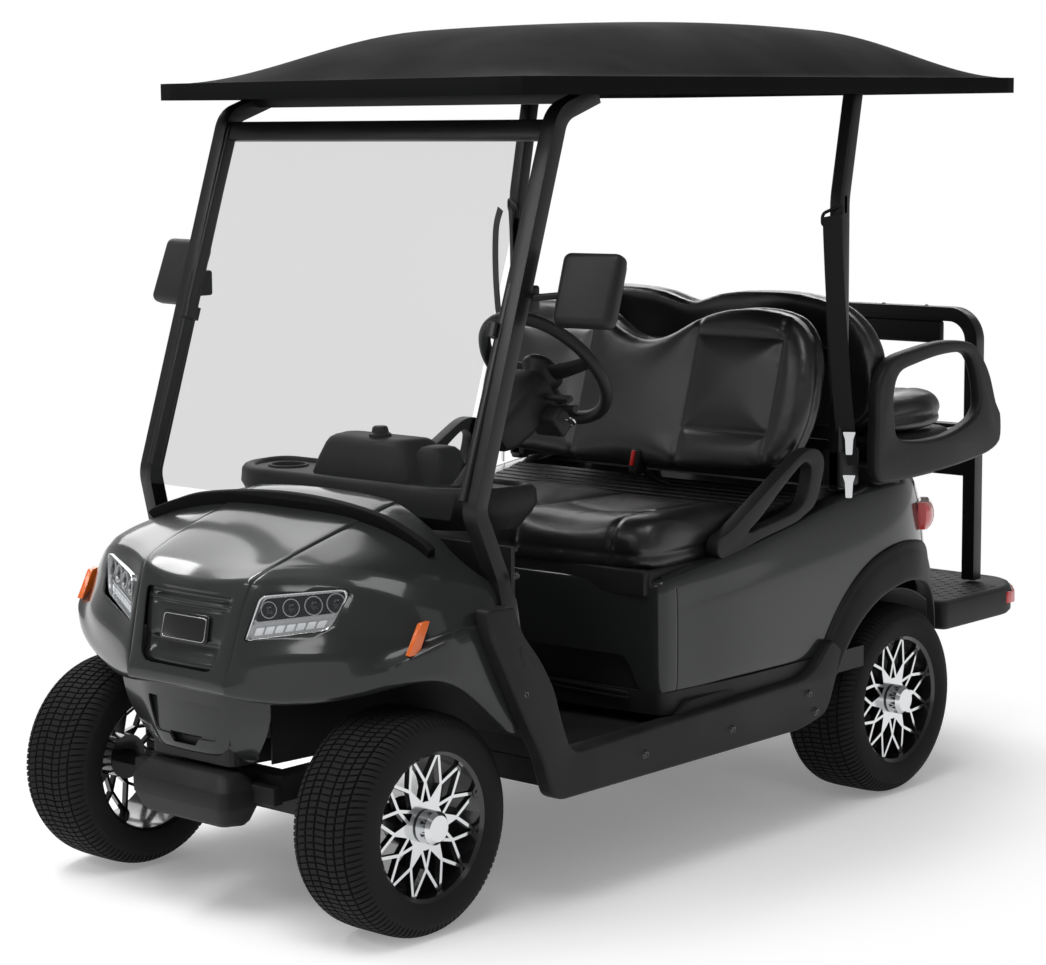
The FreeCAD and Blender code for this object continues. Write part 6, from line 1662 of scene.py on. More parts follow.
def loopPlate(name, outer, hole, span, edge, count):
    # a plate in the side view between two places across, with one hole and rounded edges
    outer = resample(splinePath(outer, 6, closed=True), count)
    hole = resample(splinePath(hole, 6, closed=True), count)
    form = bmesh.new()
    verts = [form.verts.new(atFront(x, y, z)) for x in span for loop in (outer, hole) for y, z in loop]
    for start in (0, 2 * count):
        rims = []
        for first in (start, start + count):
            rims += [form.edges.new((verts[first + k], verts[first + (k + 1) % count])) for k in range(count)]
        bmesh.ops.triangle_fill(form, edges=rims, use_beauty=True)
    for first in (0, count):
        second = first + 2 * count
        for k in range(count):
            n = (k + 1) % count
            form.faces.new((verts[first + k], verts[first + n], verts[second + n], verts[second + k]))
    bmesh.ops.dissolve_limit(form, angle_limit=math.radians(0.5), verts=form.verts, edges=form.edges)
    bmesh.ops.recalc_face_normals(form, faces=form.faces)
    mesh = bpy.data.meshes.new(name)
    form.to_mesh(mesh)
    form.free()
    return soften(addObject(name, mesh), edge, 4, 50, 40)


handleSettings = {
    # closed side outlines (y, z), outer and hole, and the two sides of the plate across the cart
    "outer": [
        (.930, .705), (.938, .738), (.979, .752), (1.10, .818), (1.200, .872), (1.274, .908), (1.325, .908),
        (1.350, .885), (1.350, .850), (1.318, .778), (1.27, .752), (1.228, .738), (1.10, .716), (1.0, .692),
        (.955, .685),
    ],
    "hole": [
        (1.050, .740), (1.10, .770), (1.183, .829), (1.262, .878), (1.292, .874), (1.300, .855),
        (1.280, .797),
        (1.250, .773), (1.206, .760), (1.10, .744),
    ],
    "span": (.534, .570),
    "edge": 0.011,
    "points": 72,
}

armrestSettings = {
    "outer": [
        (1.560, .95), (1.565, 1.041), (1.618, 1.101), (1.72, 1.121), (1.86, 1.132), (1.984, 1.120),
        (2.035, 1.085),
        (2.078, 1.03), (2.110, .955), (2.132, .925), (2.134, .862), (2.110, .838), (2.049, .822),
        (1.90, .806),
        (1.718, .797), (1.60, .797), (1.562, .815), (1.556, .88),
    ],
    "hole": [
        (1.640, .935), (1.634, 1.010), (1.659, 1.064), (1.74, 1.084), (1.86, 1.098), (1.965, 1.093),
        (2.008, 1.050),
        (2.030, .975), (2.020, .940), (1.975, .915), (1.884, .893), (1.78, .888), (1.69, .895), (1.652, .908),
    ],
    "span": (.548, .584),
    "edge": 0.011,
    "points": 84,
}


def makeHandles():
    for label, node, s in (
        ("hip_handle_left", "hip_handles", handleSettings),
        ("armrest_left", "rear_seat_frame", armrestSettings),
    ):
        plate = loopPlate(label, s["outer"], s["hole"], s["span"], s["edge"], s["points"])
        bothSides(plate, blackPlastic, slotOf[node], (node,))


makeHandles()
for node, width, finish in (
    ("steering_column", 0.005, blackPlastic),
    ("grab_frame", 0.004, frameSteel),
):
    copy = roundedCopy(node + "_rounded", node, width, 4, 32)
    dress(copy, finish, slotOf[node], "chassis", (node,))
print("mouldings ready")


# padded seats

padSettings = {
    "voxel": 0.0088,
    "pressure": 4.0,
    "frames": 20,
    "cap": 0.016,        # furthest that the cloth may move
    "seamWidth": 0.011,
    "seamDepth": 0.0075,
    "backThick": 0.092,
    "frontHalfWidth": .545,
    "frontSeams": (.155, .425),    # places across of the seams along the cushion
    "frontCrossSeam": .885,
    "rearHalfWidth": .490,
    "rearSeams": (.15, .40),
    "rearCrossSeam": 1.90,
}


def voxelSolid(name, piece, size):
    step = piece.modifiers.new("voxels", "REMESH")
    step.mode = "VOXEL"
    step.voxel_size = size
    step.use_smooth_shade = True
    bakeModifiers(piece)
    piece.name = name
    return piece


def relax(mesh, rounds, share=0.5, held=()):
    form = bmesh.new()
    form.from_mesh(mesh)
    form.verts.ensure_lookup_table()
    free = [v for v in form.verts if v.index not in held]
    for _ in range(rounds):
        bmesh.ops.smooth_vert(
            form, verts=free, factor=share, use_axis_x=True, use_axis_y=True, use_axis_z=True
        )
    form.to_mesh(mesh)
    form.free()


def inflate(piece, pinned):
    settings = padSettings
    group = piece.vertex_groups.new(name="held")
    group.add(pinned, 1.0, "REPLACE")
    rest = [v.co.copy() for v in piece.data.vertices]
    step = piece.modifiers.new("cloth", "CLOTH")
    cloth = step.settings
    cloth.quality = 4
    cloth.mass = 0.3
    cloth.tension_stiffness = 18
    cloth.compression_stiffness = 18
    cloth.shear_stiffness = 8
    cloth.bending_stiffness = 1.2
    cloth.use_pressure = True
    cloth.uniform_pressure_force = settings["pressure"]
    cloth.effector_weights.gravity = 0.0
    cloth.vertex_group_mass = "held"
    step.collision_settings.use_collision = False
    step.collision_settings.use_self_collision = False
    step.point_cache.frame_start = 1
    step.point_cache.frame_end = settings["frames"]
    for number in range(1, settings["frames"] + 1):
        scene.frame_set(number)
    bakeModifiers(piece)
    for vertex, start in zip(piece.data.vertices, rest):
        move = vertex.co - start
        if move.length > settings["cap"]:
            vertex.co = start + move.normalized() * settings["cap"]
    scene.frame_set(1)
    return piece


def makeCushion(name, solid, seamAt, node, body, heldAt):
    piece = voxelSolid(name, solid, padSettings["voxel"])
    relax(piece.data, 4)
    pinned = []
    width, depth = padSettings["seamWidth"], padSettings["seamDepth"]
    normals = [v.normal.copy() for v in piece.data.vertices]
    for vertex, normal in zip(piece.data.vertices, normals):
        distance = seamAt(vertex.co, normal)
        if distance < width:
            share = 1 - distance / width
            vertex.co -= normal * depth * share ** 1.3
            if distance < width * 0.55:
                pinned.append(vertex.index)
        elif heldAt(vertex.co, normal):
            pinned.append(vertex.index)
    inflate(piece, pinned)
    subdivide(piece, 1)
    bakeModifiers(piece)
    piece.data.shade_smooth()
    dress(piece, leather, "seat_leather", body, (node,))
    return piece


def gridSolid(name, columns):
    # rounded solid out of columns of points, each column a closed loop
    piece = stackedRings(name, [[atFront(*p) for p in column] for column in columns])
    subdivide(piece, 2)
    return bakeModifiers(piece)


def bump(value, centre, reach):
    t = min(1.0, abs(value - centre) / reach)
    return (1 - t * t) ** 2


def makeFrontCushion():
    s = padSettings
    half, seams, crossSeam = s["frontHalfWidth"], s["frontSeams"], s["frontCrossSeam"]
    columns = []
    for step in range(25):
        t = -1 + 2 * step / 24
        x = half * math.copysign(abs(t) ** 0.92, t)
        side = 1 - min(1.0, (half + .004 - abs(x)) / .05)
        pan = bump(abs(x), .285, .19)
        crown = .806 - .018 * pan - .010 * bump(x, 0, .05) - .020 * side
        nose = .684 + .045 * (x / half) ** 2 + .030 * side
        inner, rear = x * .953, 1.164 - .03 * side
        columns.append([
            (x, nose + .012, .664), (x, nose - .002, .695), (x, nose + .002, .738),
            (x, nose + .022, crown - .014 + .010 * pan), (x, nose + .075, crown),
            (x * .985, .86, crown - .004),
            (inner, .98, crown - .006), (inner, 1.08, crown - .007), (inner, 1.14 - .02 * side, crown - .014),
            (inner, rear, .745), (inner, rear, .705), (inner, rear - .014, .668),
        ])

    def seamAt(spot, normal):
        y = spot.y - frontAxle
        if spot.z < .70:
            return 1.0
        lines = [abs(abs(spot.x) - seam) for seam in seams]
        if y < .80:
            lines = [d * 1.2 for d in lines]
        if seams[0] < abs(spot.x) < seams[1]:
            lines.append(abs(y - crossSeam))
        lines.append(abs(spot.z - .7155) if normal.z < 0.35 and y < 1.1 else 1.0)
        return min(lines)

    solid = gridSolid("frontCushionForm", columns)
    return makeCushion("front_seat_cushion", solid, seamAt, "front_cushion", "seat", lambda p, n: p.z < .690)


backSettings = {
    # half: x and z of half the outline, top first; facing: -1 looks forwards, 1 rearwards
    "front": {
        "half": [
            (.0, 1.143), (.05, 1.150), (.10, 1.170), (.15, 1.198), (.22, 1.222), (.30, 1.232), (.38, 1.228),
            (.446, 1.210), (.492, 1.170), (.518, 1.116), (.528, 1.04), (.526, .971), (.508, .905),
            (.478, .868),
            (.42, .846), (.30, .838), (.171, .832), (.08, .832), (.0, .834),
        ],
        "facing": -1,
        "faceY": 1.320,            # where the padded face stands at a height of 1
        "lean": .30,
        "seams": (.168, .432),
        "crossSeams": (1.165, .935),
    },
    "rear": {
        "half": [
            (.0, 1.228), (.05, 1.240), (.10, 1.254), (.18, 1.262), (.289, 1.264), (.37, 1.256), (.442, 1.238),
            (.50, 1.20), (.538, 1.140), (.548, 1.06), (.535, .99), (.505, .945), (.44, .912), (.30, .900),
            (.17, .897), (.08, .896), (.0, .896),
        ],
        "facing": 1,
        "faceY": 1.690,
        "lean": -.20,
        "seams": (.168, .432),
        "crossSeams": (1.205, .98),
    },
}
backRings = [
    # share of the outline and depth behind the padded face
    (.50, .000), (.80, -.002), (.94, .004), (.985, .016), (1.0, .034), (1.0, .062), (.985, .078), (.95, .088),
    (.80, .092), (.50, .093),
]


def backSolid(name, s):
    half, facing = s["half"], s["facing"]
    thick = padSettings["backThick"] / backRings[-1][1]
    full = [(-x, z) for x, z in reversed(half[1:-1])] + list(half)
    loop = splinePath(full, 3, closed=True)
    middleZ = sum(z for _, z in loop) / len(loop)
    rings = []
    for shrink, depth in backRings:
        ring = []
        for x, z in loop:
            reach = math.hypot(x, z - middleZ)
            inset = (1 - shrink) * min(reach, .22)
            px = x - x / reach * inset
            pz = z - (z - middleZ) / reach * inset
            ring.append(atFront(px, s["faceY"] + (pz - 1.0) * s["lean"] - facing * depth * thick, pz))
        rings.append(ring)
    points = [p for ring in rings for p in ring]
    size = len(loop)
    faces = ringFaces(len(rings), size)
    for c in (0, len(rings) - 1):
        points.append(sum(rings[c], Vector()) / size)
        last = len(points) - 1
        faces += [(c * size + r, c * size + (r + 1) % size, last) for r in range(size)]
    return newMesh(name, points, faces)


def makeBackrests():
    for end, s in backSettings.items():
        facing = s["facing"]

        def seamAt(spot, normal, s=s, facing=facing):
            lines = [1.0]
            if normal.y * facing > 0.25:
                lines += [abs(abs(spot.x) - seam) for seam in s["seams"]]
                if s["seams"][0] < abs(spot.x) < s["seams"][1]:
                    lines += [abs(spot.z - seam) for seam in s["crossSeams"]]
            elif abs(normal.y) < 0.25:
                lines.append(abs(normal.y + facing * 0.02) * .06)
            return min(lines)

        makeCushion(
            end + "_seat_back", backSolid(end + "BackForm", s), seamAt, end + "_backrest", "chassis",
            lambda p, n, facing=facing: n.y * facing < -0.6,
        )


def makeRearCushion():
    s = padSettings
    half, seams, crossSeam = s["rearHalfWidth"], s["rearSeams"], s["rearCrossSeam"]
    columns = []
    for step in range(23):
        t = -1 + 2 * step / 22
        x = half * math.copysign(abs(t) ** 0.92, t)
        side = 1 - min(1.0, (half + .004 - abs(x)) / .05)
        pan = bump(abs(x), .26, .18)
        crown = .999 - .014 * pan - .020 * side - .008 * bump(x, 0, .05)
        nose = 2.040 - .030 * side
        columns.append([
            (x, 1.726, .892), (x, 1.722, .93), (x, 1.728, crown - .03), (x, 1.75, crown - .012),
            (x, 1.83, crown - .006), (x, 1.93, crown), (x, nose - .045, crown - .002),
            (x, nose - .010, crown - .022),
            (x, nose, .950), (x, nose - .002, .915), (x, nose - .014, .890),
        ])

    def seamAt(spot, normal):
        if spot.z < .92:
            return 1.0
        lines = [abs(abs(spot.x) - seam) for seam in seams]
        if seams[0] < abs(spot.x) < seams[1]:
            lines.append(abs(spot.y - frontAxle - crossSeam))
        lines.append(abs(spot.z - .930) if normal.z < 0.35 else 1.0)
        return min(lines)

    solid = gridSolid("rearCushionForm", columns)
    return makeCushion("rear_seat_cushion", solid, seamAt, "rear_cushion", "chassis", lambda p, n: p.z < .905)


makeFrontCushion()
makeBackrests()
makeRearCushion()
print("seats ready")


# windshield frame: uprights and top bar on the line of the pillars

screenFrame = {
    "foot": (.497, .150, .905),
    "head": (.499, .424, 1.690),
    "upright": (.030, .020),       # width and depth of a bar
    "topBar": (.046, .022),
    "topPlace": (.512, .4205, 1.6785),
    "clip": (.040, .026),
    "clipPlace": (.485, .262, 1.243),
    "clipLength": .010,
    "slope": 2.86,                 # rise of the windshield for each step rearwards
}


def makeWindshieldFrame():
    s = screenFrame
    left = sweep(
        "screenUpright", [atFront(*s["foot"]), atFront(*s["head"])], roundedBox(*s["upright"], .005, 3),
        up=(1, 0, 0),
    )
    right = mirrorPiece(left, "screenUprightRight")
    half, topY, topZ = s["topPlace"]
    topPath = [atFront(x, topY, topZ) for x in (-half, 0, half)]
    top = sweep("screenTop", topPath, roundedBox(*s["topBar"], .006, 3), up=(0, -.94, .33))
    clips = []
    clipX, clipY, clipZ = s["clipPlace"]
    for x in (-clipX, clipX):
        path = [atFront(x, clipY + d, clipZ + d * s["slope"]) for d in (0, s["clipLength"])]
        clips.append(sweep("screenClip", path, roundedBox(*s["clip"], .005, 3), up=(1, 0, 0)))
    bars = smoothByAngle(joinPieces("windshield_bars", [left, right, top] + clips), 35)
    dress(bars, frameSteel, "black_frame", "chassis", ("windshield_frame",))


makeWindshieldFrame()


# blocks and turned pieces that stand square to the cart

def softBox(name, size, radius, place, segments=4):
    # box with rounded edges; place(a, b, c) gives the point for local coordinates
    a, b, c = (s / 2 for s in size)
    points = [place(i * a, j * b, k * c) for i in (-1, 1) for j in (-1, 1) for k in (-1, 1)]
    return soften(newMesh(name, points, boxSides), radius, segments, 40, 40)


def squareTo(centre):
    # local coordinates about a place that is measured from the front axle
    return lambda a, b, c: atFront(centre[0] + a, centre[1] + b, centre[2] + c)


def taperedBlock(name, plan, rows, centre):
    # rows of (height, inset) carry one outline, drawn towards the centre by the inset
    rings = []
    for z, inset in rows:
        ring = []
        for x, y in plan:
            dx, dy = x - centre[0], y - centre[1]
            px = x - math.copysign(min(inset, abs(dx)), dx)
            py = y - math.copysign(min(inset, abs(dy)), dy)
            ring.append(atFront(px, py, z))
        rings.append(ring)
    return stackedRings(name, rings)


# mirrors

mirrorSettings = {
    "centre": (.646, .383, 1.342),
    "turn": 8,                     # degrees outwards
    "lean": 20,                    # degrees downwards
    "case": (.146, .046, .162),
    "rim": (.132, .148),
    "rimPlace": .0205,             # in front of the middle of the case
    "glass": (.124, .140),
    "glassPlace": .0248,
    "arm": [(.512, .325, 1.325), (.535, .342, 1.327), (.565, .366, 1.330), (.60, .384, 1.334)],
    "armRadius": .0075,
    "clamp": (.030, .052, .060),
    "clampPlace": (.517, .330, 1.322),
}
mirrorSilver = makeFinish(
    "mirrorSilver", (0.82, 0.83, 0.84), 0.03, metallic=1.0, grainScale=300.0, grainStrength=0.01, spread=0.02,
    roughSpread=0.01, dust=0.0,
)


def makeMirror():
    s = mirrorSettings
    turn, lean = math.radians(s["turn"]), math.radians(s["lean"])
    square = squareTo(s["centre"])

    def place(a, b, c):
        y = b * math.cos(lean) + c * math.sin(lean)
        z = -b * math.sin(lean) + c * math.cos(lean)
        return square(a * math.cos(turn) - y * math.sin(turn), a * math.sin(turn) + y * math.cos(turn), z)

    case = softBox("mirrorCase", s["case"], .018, place, 5)
    rim = plateFrom(
        "mirrorRim", roundedBox(*s["rim"], .018, 6), lambda a, b, t: place(a, s["rimPlace"] + t, b), 0.004
    )
    soften(rim, 0.001, 2, 40)
    armPath = splinePath([atFront(*p) for p in s["arm"]], 5)
    arm = sweep("mirrorArm", armPath, circleProfile(s["armRadius"], 12))
    clamp = softBox("mirrorClamp", s["clamp"], .006, squareTo(s["clampPlace"]), 3)
    glass = plateFrom(
        "mirror_glass_left", roundedBox(*s["glass"], .016, 6), lambda a, b,
        t: place(a, s["glassPlace"] + t, b), 0.0012,
    )
    body = smoothByAngle(joinPieces("mirror_left_case", [case, rim, arm, clamp]), 38)
    bothSides(body, blackPlastic, slotOf["mirrors"], ("mirrors",))
    bothSides(glass, mirrorSilver, slotOf["mirrors"])


# dash with two cup wells, instrument hood and gauge

dashSettings = {
    # plans seen from above; rows of height and inset
    "ledge": [(-.300, .268), (.300, .268), (.412, .34), (.418, .500), (-.418, .500), (-.412, .34)],
    "ledgeRows": [
        (.805, .030), (.84, .008), (.86, 0), (.890, .002), (.899, .007), (.9025, .013), (.9025, .019),
        (.899, .023),
        (.893, .025),
    ],
    "hood": [(-.150, .320), (.150, .320), (.165, .485), (-.165, .485)],
    "hoodRows": [
        (.875, -.006), (.900, 0), (.935, .010), (.968, .022), (.980, .029), (.986, .038), (.9885, .052),
    ],
    "gauge": [(.120, .372), (.215, .372), (.215, .470), (.120, .470)],
    "gaugeRows": [(.880, 0), (.935, .002), (.962, .008), (.971, .016), (.974, .026)],
    "cups": ((-.30, .400), (.285, .400)),
    "cupRadius": .040,
    "cupTop": .895,
    "lip": .0045,
}


def makeDash():
    s = dashSettings
    ledge = taperedBlock("dashLedge", roundedOutline(s["ledge"], .05, 6), s["ledgeRows"], (0, .40))
    radius = s["cupRadius"]
    lipRadius = radius + .004
    for x, y in s["cups"]:
        profile = [(.0004, -.06), (radius * .92, -.06), (radius, .03), (.0004, .03)]
        cutWith(ledge, lathe("cupWell", profile, squareTo((x, y, s["cupTop"])), 36))
        path = [atFront(x + a, y + b, s["cupTop"] - .0005) for a, b in circleProfile(lipRadius, 36)]
        lip = sweep("cupLip", path, circleProfile(s["lip"], 8), closed=True)
        ledge = joinPieces("dashLedge", [ledge, lip])
    hood = taperedBlock("binnacle", roundedOutline(s["hood"], .03, 5), s["hoodRows"], (0, .405))
    screen = taperedBlock("gauge", roundedOutline(s["gauge"], .02, 5), s["gaugeRows"], (.168, .42))
    panel = smoothByAngle(joinPieces("dash_panel", [ledge, hood, screen]), 38)
    dress(panel, sillPlastic, slotOf["dash"], "chassis", ("dash",))


# front bumper

bumperSettings = {
    "block": [(-.150, -.240), (.150, -.240), (.166, -.140), (-.166, -.140)],
    "blockRows": [
        # height and inset
        (.2105, .030), (.212, .022), (.222, .014), (.252, .003), (.256, .001), (.290, 0), (.294, .002),
        (.322, .022), (.326, .027), (.3285, .040),
    ],
    "beam": (.450, .030, .040),
    "beamPlace": (0, -.148, .282),
    "stay": (.050, .110, .050),
    "stayPlace": (.14, -.092, .276),
}


def makeBumper():
    s = bumperSettings
    block = taperedBlock("bumperBlock", roundedOutline(s["block"], .020, 5), s["blockRows"], (0, -.185))
    beam = softBox("bumperBeam", s["beam"], .005, squareTo(s["beamPlace"]), 3)
    stayX, stayY, stayZ = s["stayPlace"]
    stays = [softBox("bumperStay", s["stay"], .006, squareTo((x, stayY, stayZ)), 3) for x in (-stayX, stayX)]
    bumper = smoothByAngle(joinPieces("front_bumper_block", [block, beam] + stays), 40)
    dress(bumper, sillPlastic, slotOf["front_bumper"], "chassis", ("front_bumper",))


makeDash()
makeBumper()
makeMirror()
print("windshield and mirrors ready")


# steering wheel, shroud, stalks and key

wheelSettings = {
    "centre": (.28, .66, 1.138),
    "normal": (0, -.766, -.643),   # towards the dash
    "ring": .160,
    "grip": .0145,
    "spokeAngles": (-90, 12, 168),
    "hub": [
        # radius and height above the ring
        (.0005, .006), (.030, .005), (.046, -.001), (.052, -.010), (.050, -.022), (.038, -.034),
        (.030, -.060),
        (.0005, -.060),
    ],
}


def steeringPlace(a, b, t):
    # a across, b up the wheel's face, t towards the driver
    centre = atFront(*wheelSettings["centre"])
    toDriver = -Vector(wheelSettings["normal"]).normalized()
    across = Vector((1, 0, 0))
    upFace = toDriver.cross(across).normalized()
    if upFace.z < 0:
        upFace = -upFace
    return centre + across * a + upFace * b + toDriver * t


def onColumn(centre):
    # local coordinates about a place that is given on the steering wheel's own axes
    return lambda a, b, c: steeringPlace(centre[0] + a, centre[1] + b, centre[2] + c)


def makeSteering():
    ring = wheelSettings["ring"]
    path, count = [], 64
    for k in range(count):
        turn = 2 * math.pi * k / count
        thick = 1.0 + .10 * max(0.0, math.cos(4 * turn))
        path.append((*steeringPlace(ring * math.cos(turn), ring * math.sin(turn), 0), thick))
    toDriver = steeringPlace(0, 0, 1) - steeringPlace(0, 0, 0)
    parts = [sweep("wheelRim", path, circleProfile(wheelSettings["grip"], 16), up=toDriver, closed=True)]
    spokeProfile = [(a * 1.4, b * .55) for a, b in circleProfile(.014, 12)]
    for angle in wheelSettings["spokeAngles"]:
        turn = math.radians(angle)
        spoke = []
        for k in range(7):
            share = k / 6
            r = .030 + (ring - .036) * share
            spot = steeringPlace(r * math.cos(turn), r * math.sin(turn), -.020 + .018 * share ** 2)
            spoke.append((*spot, 1.25 - .45 * share))
        parts.append(sweep("wheelSpoke", spoke, spokeProfile, up=toDriver))
    parts.append(lathe("wheelHub", wheelSettings["hub"], steeringPlace, 40))
    wheel = smoothByAngle(joinPieces("steering_wheel_grip", parts), 45)
    dress(wheel, blackPlastic, slotOf["steering_wheel"], "steering", ("steering_wheel",))


shroudSettings = {
    "rows": [
        # distance from the wheel, half width and half height
        (-.045, .034, .034), (-.052, .048, .046), (-.075, .056, .052), (-.120, .060, .054),
        (-.170, .056, .050),
        (-.215, .044, .044), (-.235, .030, .032),
    ],
    "keyHousing": (.086, .060, .050),
    "keyHousingPlace": (.060, -.052, -.112),
    "stalks": ((1, -.004), (-1, -.004), (1, -.034)),   # side and lift
    "stalkReach": (.045, .075, .105, .128),
    "stalkPlace": -.088,
    "ringPlace": (.108, -.058, -.112),
    "ringRadius": .011,
    "blade": (.030, .010, .004),
    "bladePlace": (.104, -.048, -.112),
    "bow": [(.0005, .002), (.010, .002), (.0115, .0), (.010, -.002), (.0005, -.002)],
    "bowPlace": (.126, -.048, -.112),
}


def makeShroud():
    s = shroudSettings
    rings = []
    for t, half, high in s["rows"]:
        outline = roundedBox(half * 2, high * 2, min(half, high) * .55, 4)
        rings.append([steeringPlace(a, b, t) for a, b in outline])
    shell = stackedRings("columnShroud", rings)
    keyBox = softBox("keyHousing", s["keyHousing"], .010, onColumn(s["keyHousingPlace"]), 4)
    stalks = []
    for side, lift in s["stalks"]:
        path = [steeringPlace(side * r, lift, s["stalkPlace"] + .02 * r) for r in s["stalkReach"]]
        path = [(*p, 1.0 + .25 * k) for k, p in enumerate(path)]
        stalks.append(sweep("stalk", path, circleProfile(.0062, 12, .8)))
    body = smoothByAngle(joinPieces("column_shroud", [shell, keyBox] + stalks), 38)
    dress(body, blackPlastic, slotOf["steering_column"])
    onRing = onColumn(s["ringPlace"])
    ringPath = [onRing(a, b, 0) for a, b in circleProfile(s["ringRadius"], 16)]
    keyRing = sweep("keyRing", ringPath, circleProfile(.0014, 8), up=(0, 1, 0), closed=True)
    blade = softBox("keyBlade", s["blade"], .0012, onColumn(s["bladePlace"]), 2)
    bow = lathe("keyBow", s["bow"], onColumn(s["bowPlace"]), 20)
    key = smoothByAngle(joinPieces("ignition_key", [keyRing, blade, bow]), 35)
    dress(key, chromeTrim, slotOf["steering_column"])


makeSteering()
makeShroud()
print("steering ready")


# belts

beltSettings = {
    # places on a strap, each with the direction of its width
    "run": [
        ((.536, 1.425, 1.462), (.8, .5, .2)), ((.545, 1.416, 1.404), (.85, .5, 0)),
        ((.550, 1.420, 1.28), (.85, .5, 0)),
        ((.551, 1.436, 1.14), (.85, .5, 0)), ((.549, 1.455, 1.02), (.85, .5, 0)),
        ((.546, 1.476, .92), (.85, .5, 0)),
        ((.541, 1.488, .850), (.85, .5, 0)),
    ],
    "return": [
        ((.520, 1.448, 1.462), (.8, .5, .2)), ((.521, 1.452, 1.38), (.8, .6, 0)),
        ((.524, 1.460, 1.15), (.8, .6, 0)),
        ((.528, 1.478, .95), (.8, .6, 0)), ((.526, 1.492, .86), (.8, .6, 0)),
    ],
    "returnWidth": .040,
    "guidePlace": (.516, 1.455, 1.462),
    "anchor": (.030, .020, .052),
    "anchorPlace": (.524, 1.478, 1.488),
    "retractor": (.058, .078, .096),
    "retractorPlace": (.515, 1.500, .842),
    "tongue": [(-.016, .030), (.016, .030), (.010, .012), (.008, -.026), (-.008, -.026), (-.010, .012)],
    "tonguePlaces": ((.560, 1.470, .905), (.566, 1.462, .800)),
    "buckle": (.030, .040, .064),
    "bucklePlace": (.045, 1.292, .842),
    "buckleLean": .2,
    "button": (.012, .0075, .040),
    "buttonPlace": (.041, 1.272, .850),
    "stem": [
        ((.065, 1.302, .812), (1, 0, 0)), ((.075, 1.315, .795), (1, 0, 0)), ((.095, 1.335, .784), (1, 0, 0)),
    ],
}


def makeWebbing():
    material = makeFinish(
        "beltWebbing", (0.0085, 0.0085, 0.009), 0.68, specular=0.2, grainScale=800.0, grainStrength=0.2,
        spread=0.15,
        dust=0.02,
    )
    tree = material.node_tree
    shader = tree.nodes["Principled BSDF"]
    place = tree.nodes.new("ShaderNodeTexCoord")
    weave = addNode(tree, "ShaderNodeTexWave", {
        "Vector": place.outputs["Object"], "Scale": 160.0, "Distortion": 0.6,
    }, bands_direction="DIAGONAL")
    threads = addNode(tree, "ShaderNodeBump", {
        "Strength": 0.5, "Distance": 0.0006, "Height": weave.outputs["Fac"],
    })
    tree.links.new(threads.outputs["Normal"], shader.inputs["Normal"])
    return material


webbing = makeWebbing()
redPlastic = makeFinish(
    "redPlastic", (0.55, 0.012, 0.010), 0.32, specular=0.4, coat=0.3, grainScale=600.0, grainStrength=0.1,
    spread=0.08,
    dust=0.0,
)


def strap(name, points, width=.046, thick=.0022, perSpan=6):
    # flat webbing with a slightly thicker middle
    path = splinePath([tuple(atFront(*spot)) + across for spot, across in points], perSpan)
    section = ((-1, -1), (-.3, -1.15), (.3, -1.15), (1, -1), (1, 1), (.3, 1.15), (-.3, 1.15), (-1, 1))
    rings = []
    for k, row in enumerate(path):
        spot, across = Vector(row[:3]), Vector(row[3:6]).normalized()
        after = Vector(path[min(k + 1, len(path) - 1)][:3]) - Vector(path[max(k - 1, 0)][:3])
        out = after.normalized().cross(across).normalized()
        rings.append([spot + across * (a * width / 2) + out * (b * thick / 2) for a, b in section])
    return smoothByAngle(stackedRings(name, rings), 50)


def makeTongue(spot):
    x, y, z = spot

    def place(a, b, t):
        return atFront(x + t * .5 + a * .85, y - t * .85 + a * .5, z + b)

    return plateFrom("beltTongue", roundedOutline(beltSettings["tongue"], .003, 3), place, .0024)


def makeBelts():
    s = beltSettings
    run = strap("belt_left", s["run"])
    back = strap("belt_left_return", s["return"], width=s["returnWidth"])
    straps = joinPieces("belt_left_straps", [run, back])
    onGuide = squareTo(s["guidePlace"])
    loop = [onGuide(a * .72, a * .25, b + a * .35) for a, b in roundedBox(.066, .030, .010, 4)]
    hardware = smoothByAngle(joinPieces("belt_left_hardware", [
        sweep("beltGuide", loop, circleProfile(.0042, 10), up=(0, 1, 0), closed=True),
        softBox("beltAnchor", s["anchor"], .005, squareTo(s["anchorPlace"]), 3),
        softBox("beltRetractor", s["retractor"], .008, squareTo(s["retractorPlace"]), 3),
    ]), 38)
    tongues = [makeTongue(spot) for spot in s["tonguePlaces"]]
    tongue = smoothByAngle(joinPieces("belt_left_tongues", tongues), 35)
    onBuckle, onButton = squareTo(s["bucklePlace"]), squareTo(s["buttonPlace"])
    lean = s["buckleLean"]
    buckle = softBox("buckle", s["buckle"], .006, lambda a, b, c: onBuckle(a + c * lean, b, c - a * lean), 3)
    button = softBox("belt_buttons", s["button"], .003, lambda a, b, c: onButton(a + c * lean, b, c), 3)
    stem = strap("buckleStem", s["stem"], width=.026, thick=.006)
    buckles = smoothByAngle(joinPieces("belt_buckles", [buckle, stem]), 38)
    bothSides(straps, webbing, slotOf["seat_belts"], ("seat_belts",))
    bothSides(hardware, blackPlastic, slotOf["seat_belts"])
    bothSides(tongue, chromeTrim, slotOf["seat_belts"])
    dress(buckles, blackPlastic, slotOf["seat_belts"])
    dress(button, redPlastic, slotOf["seat_belts"])


makeBelts()
print("belts ready")


# lamps on the sides and the back

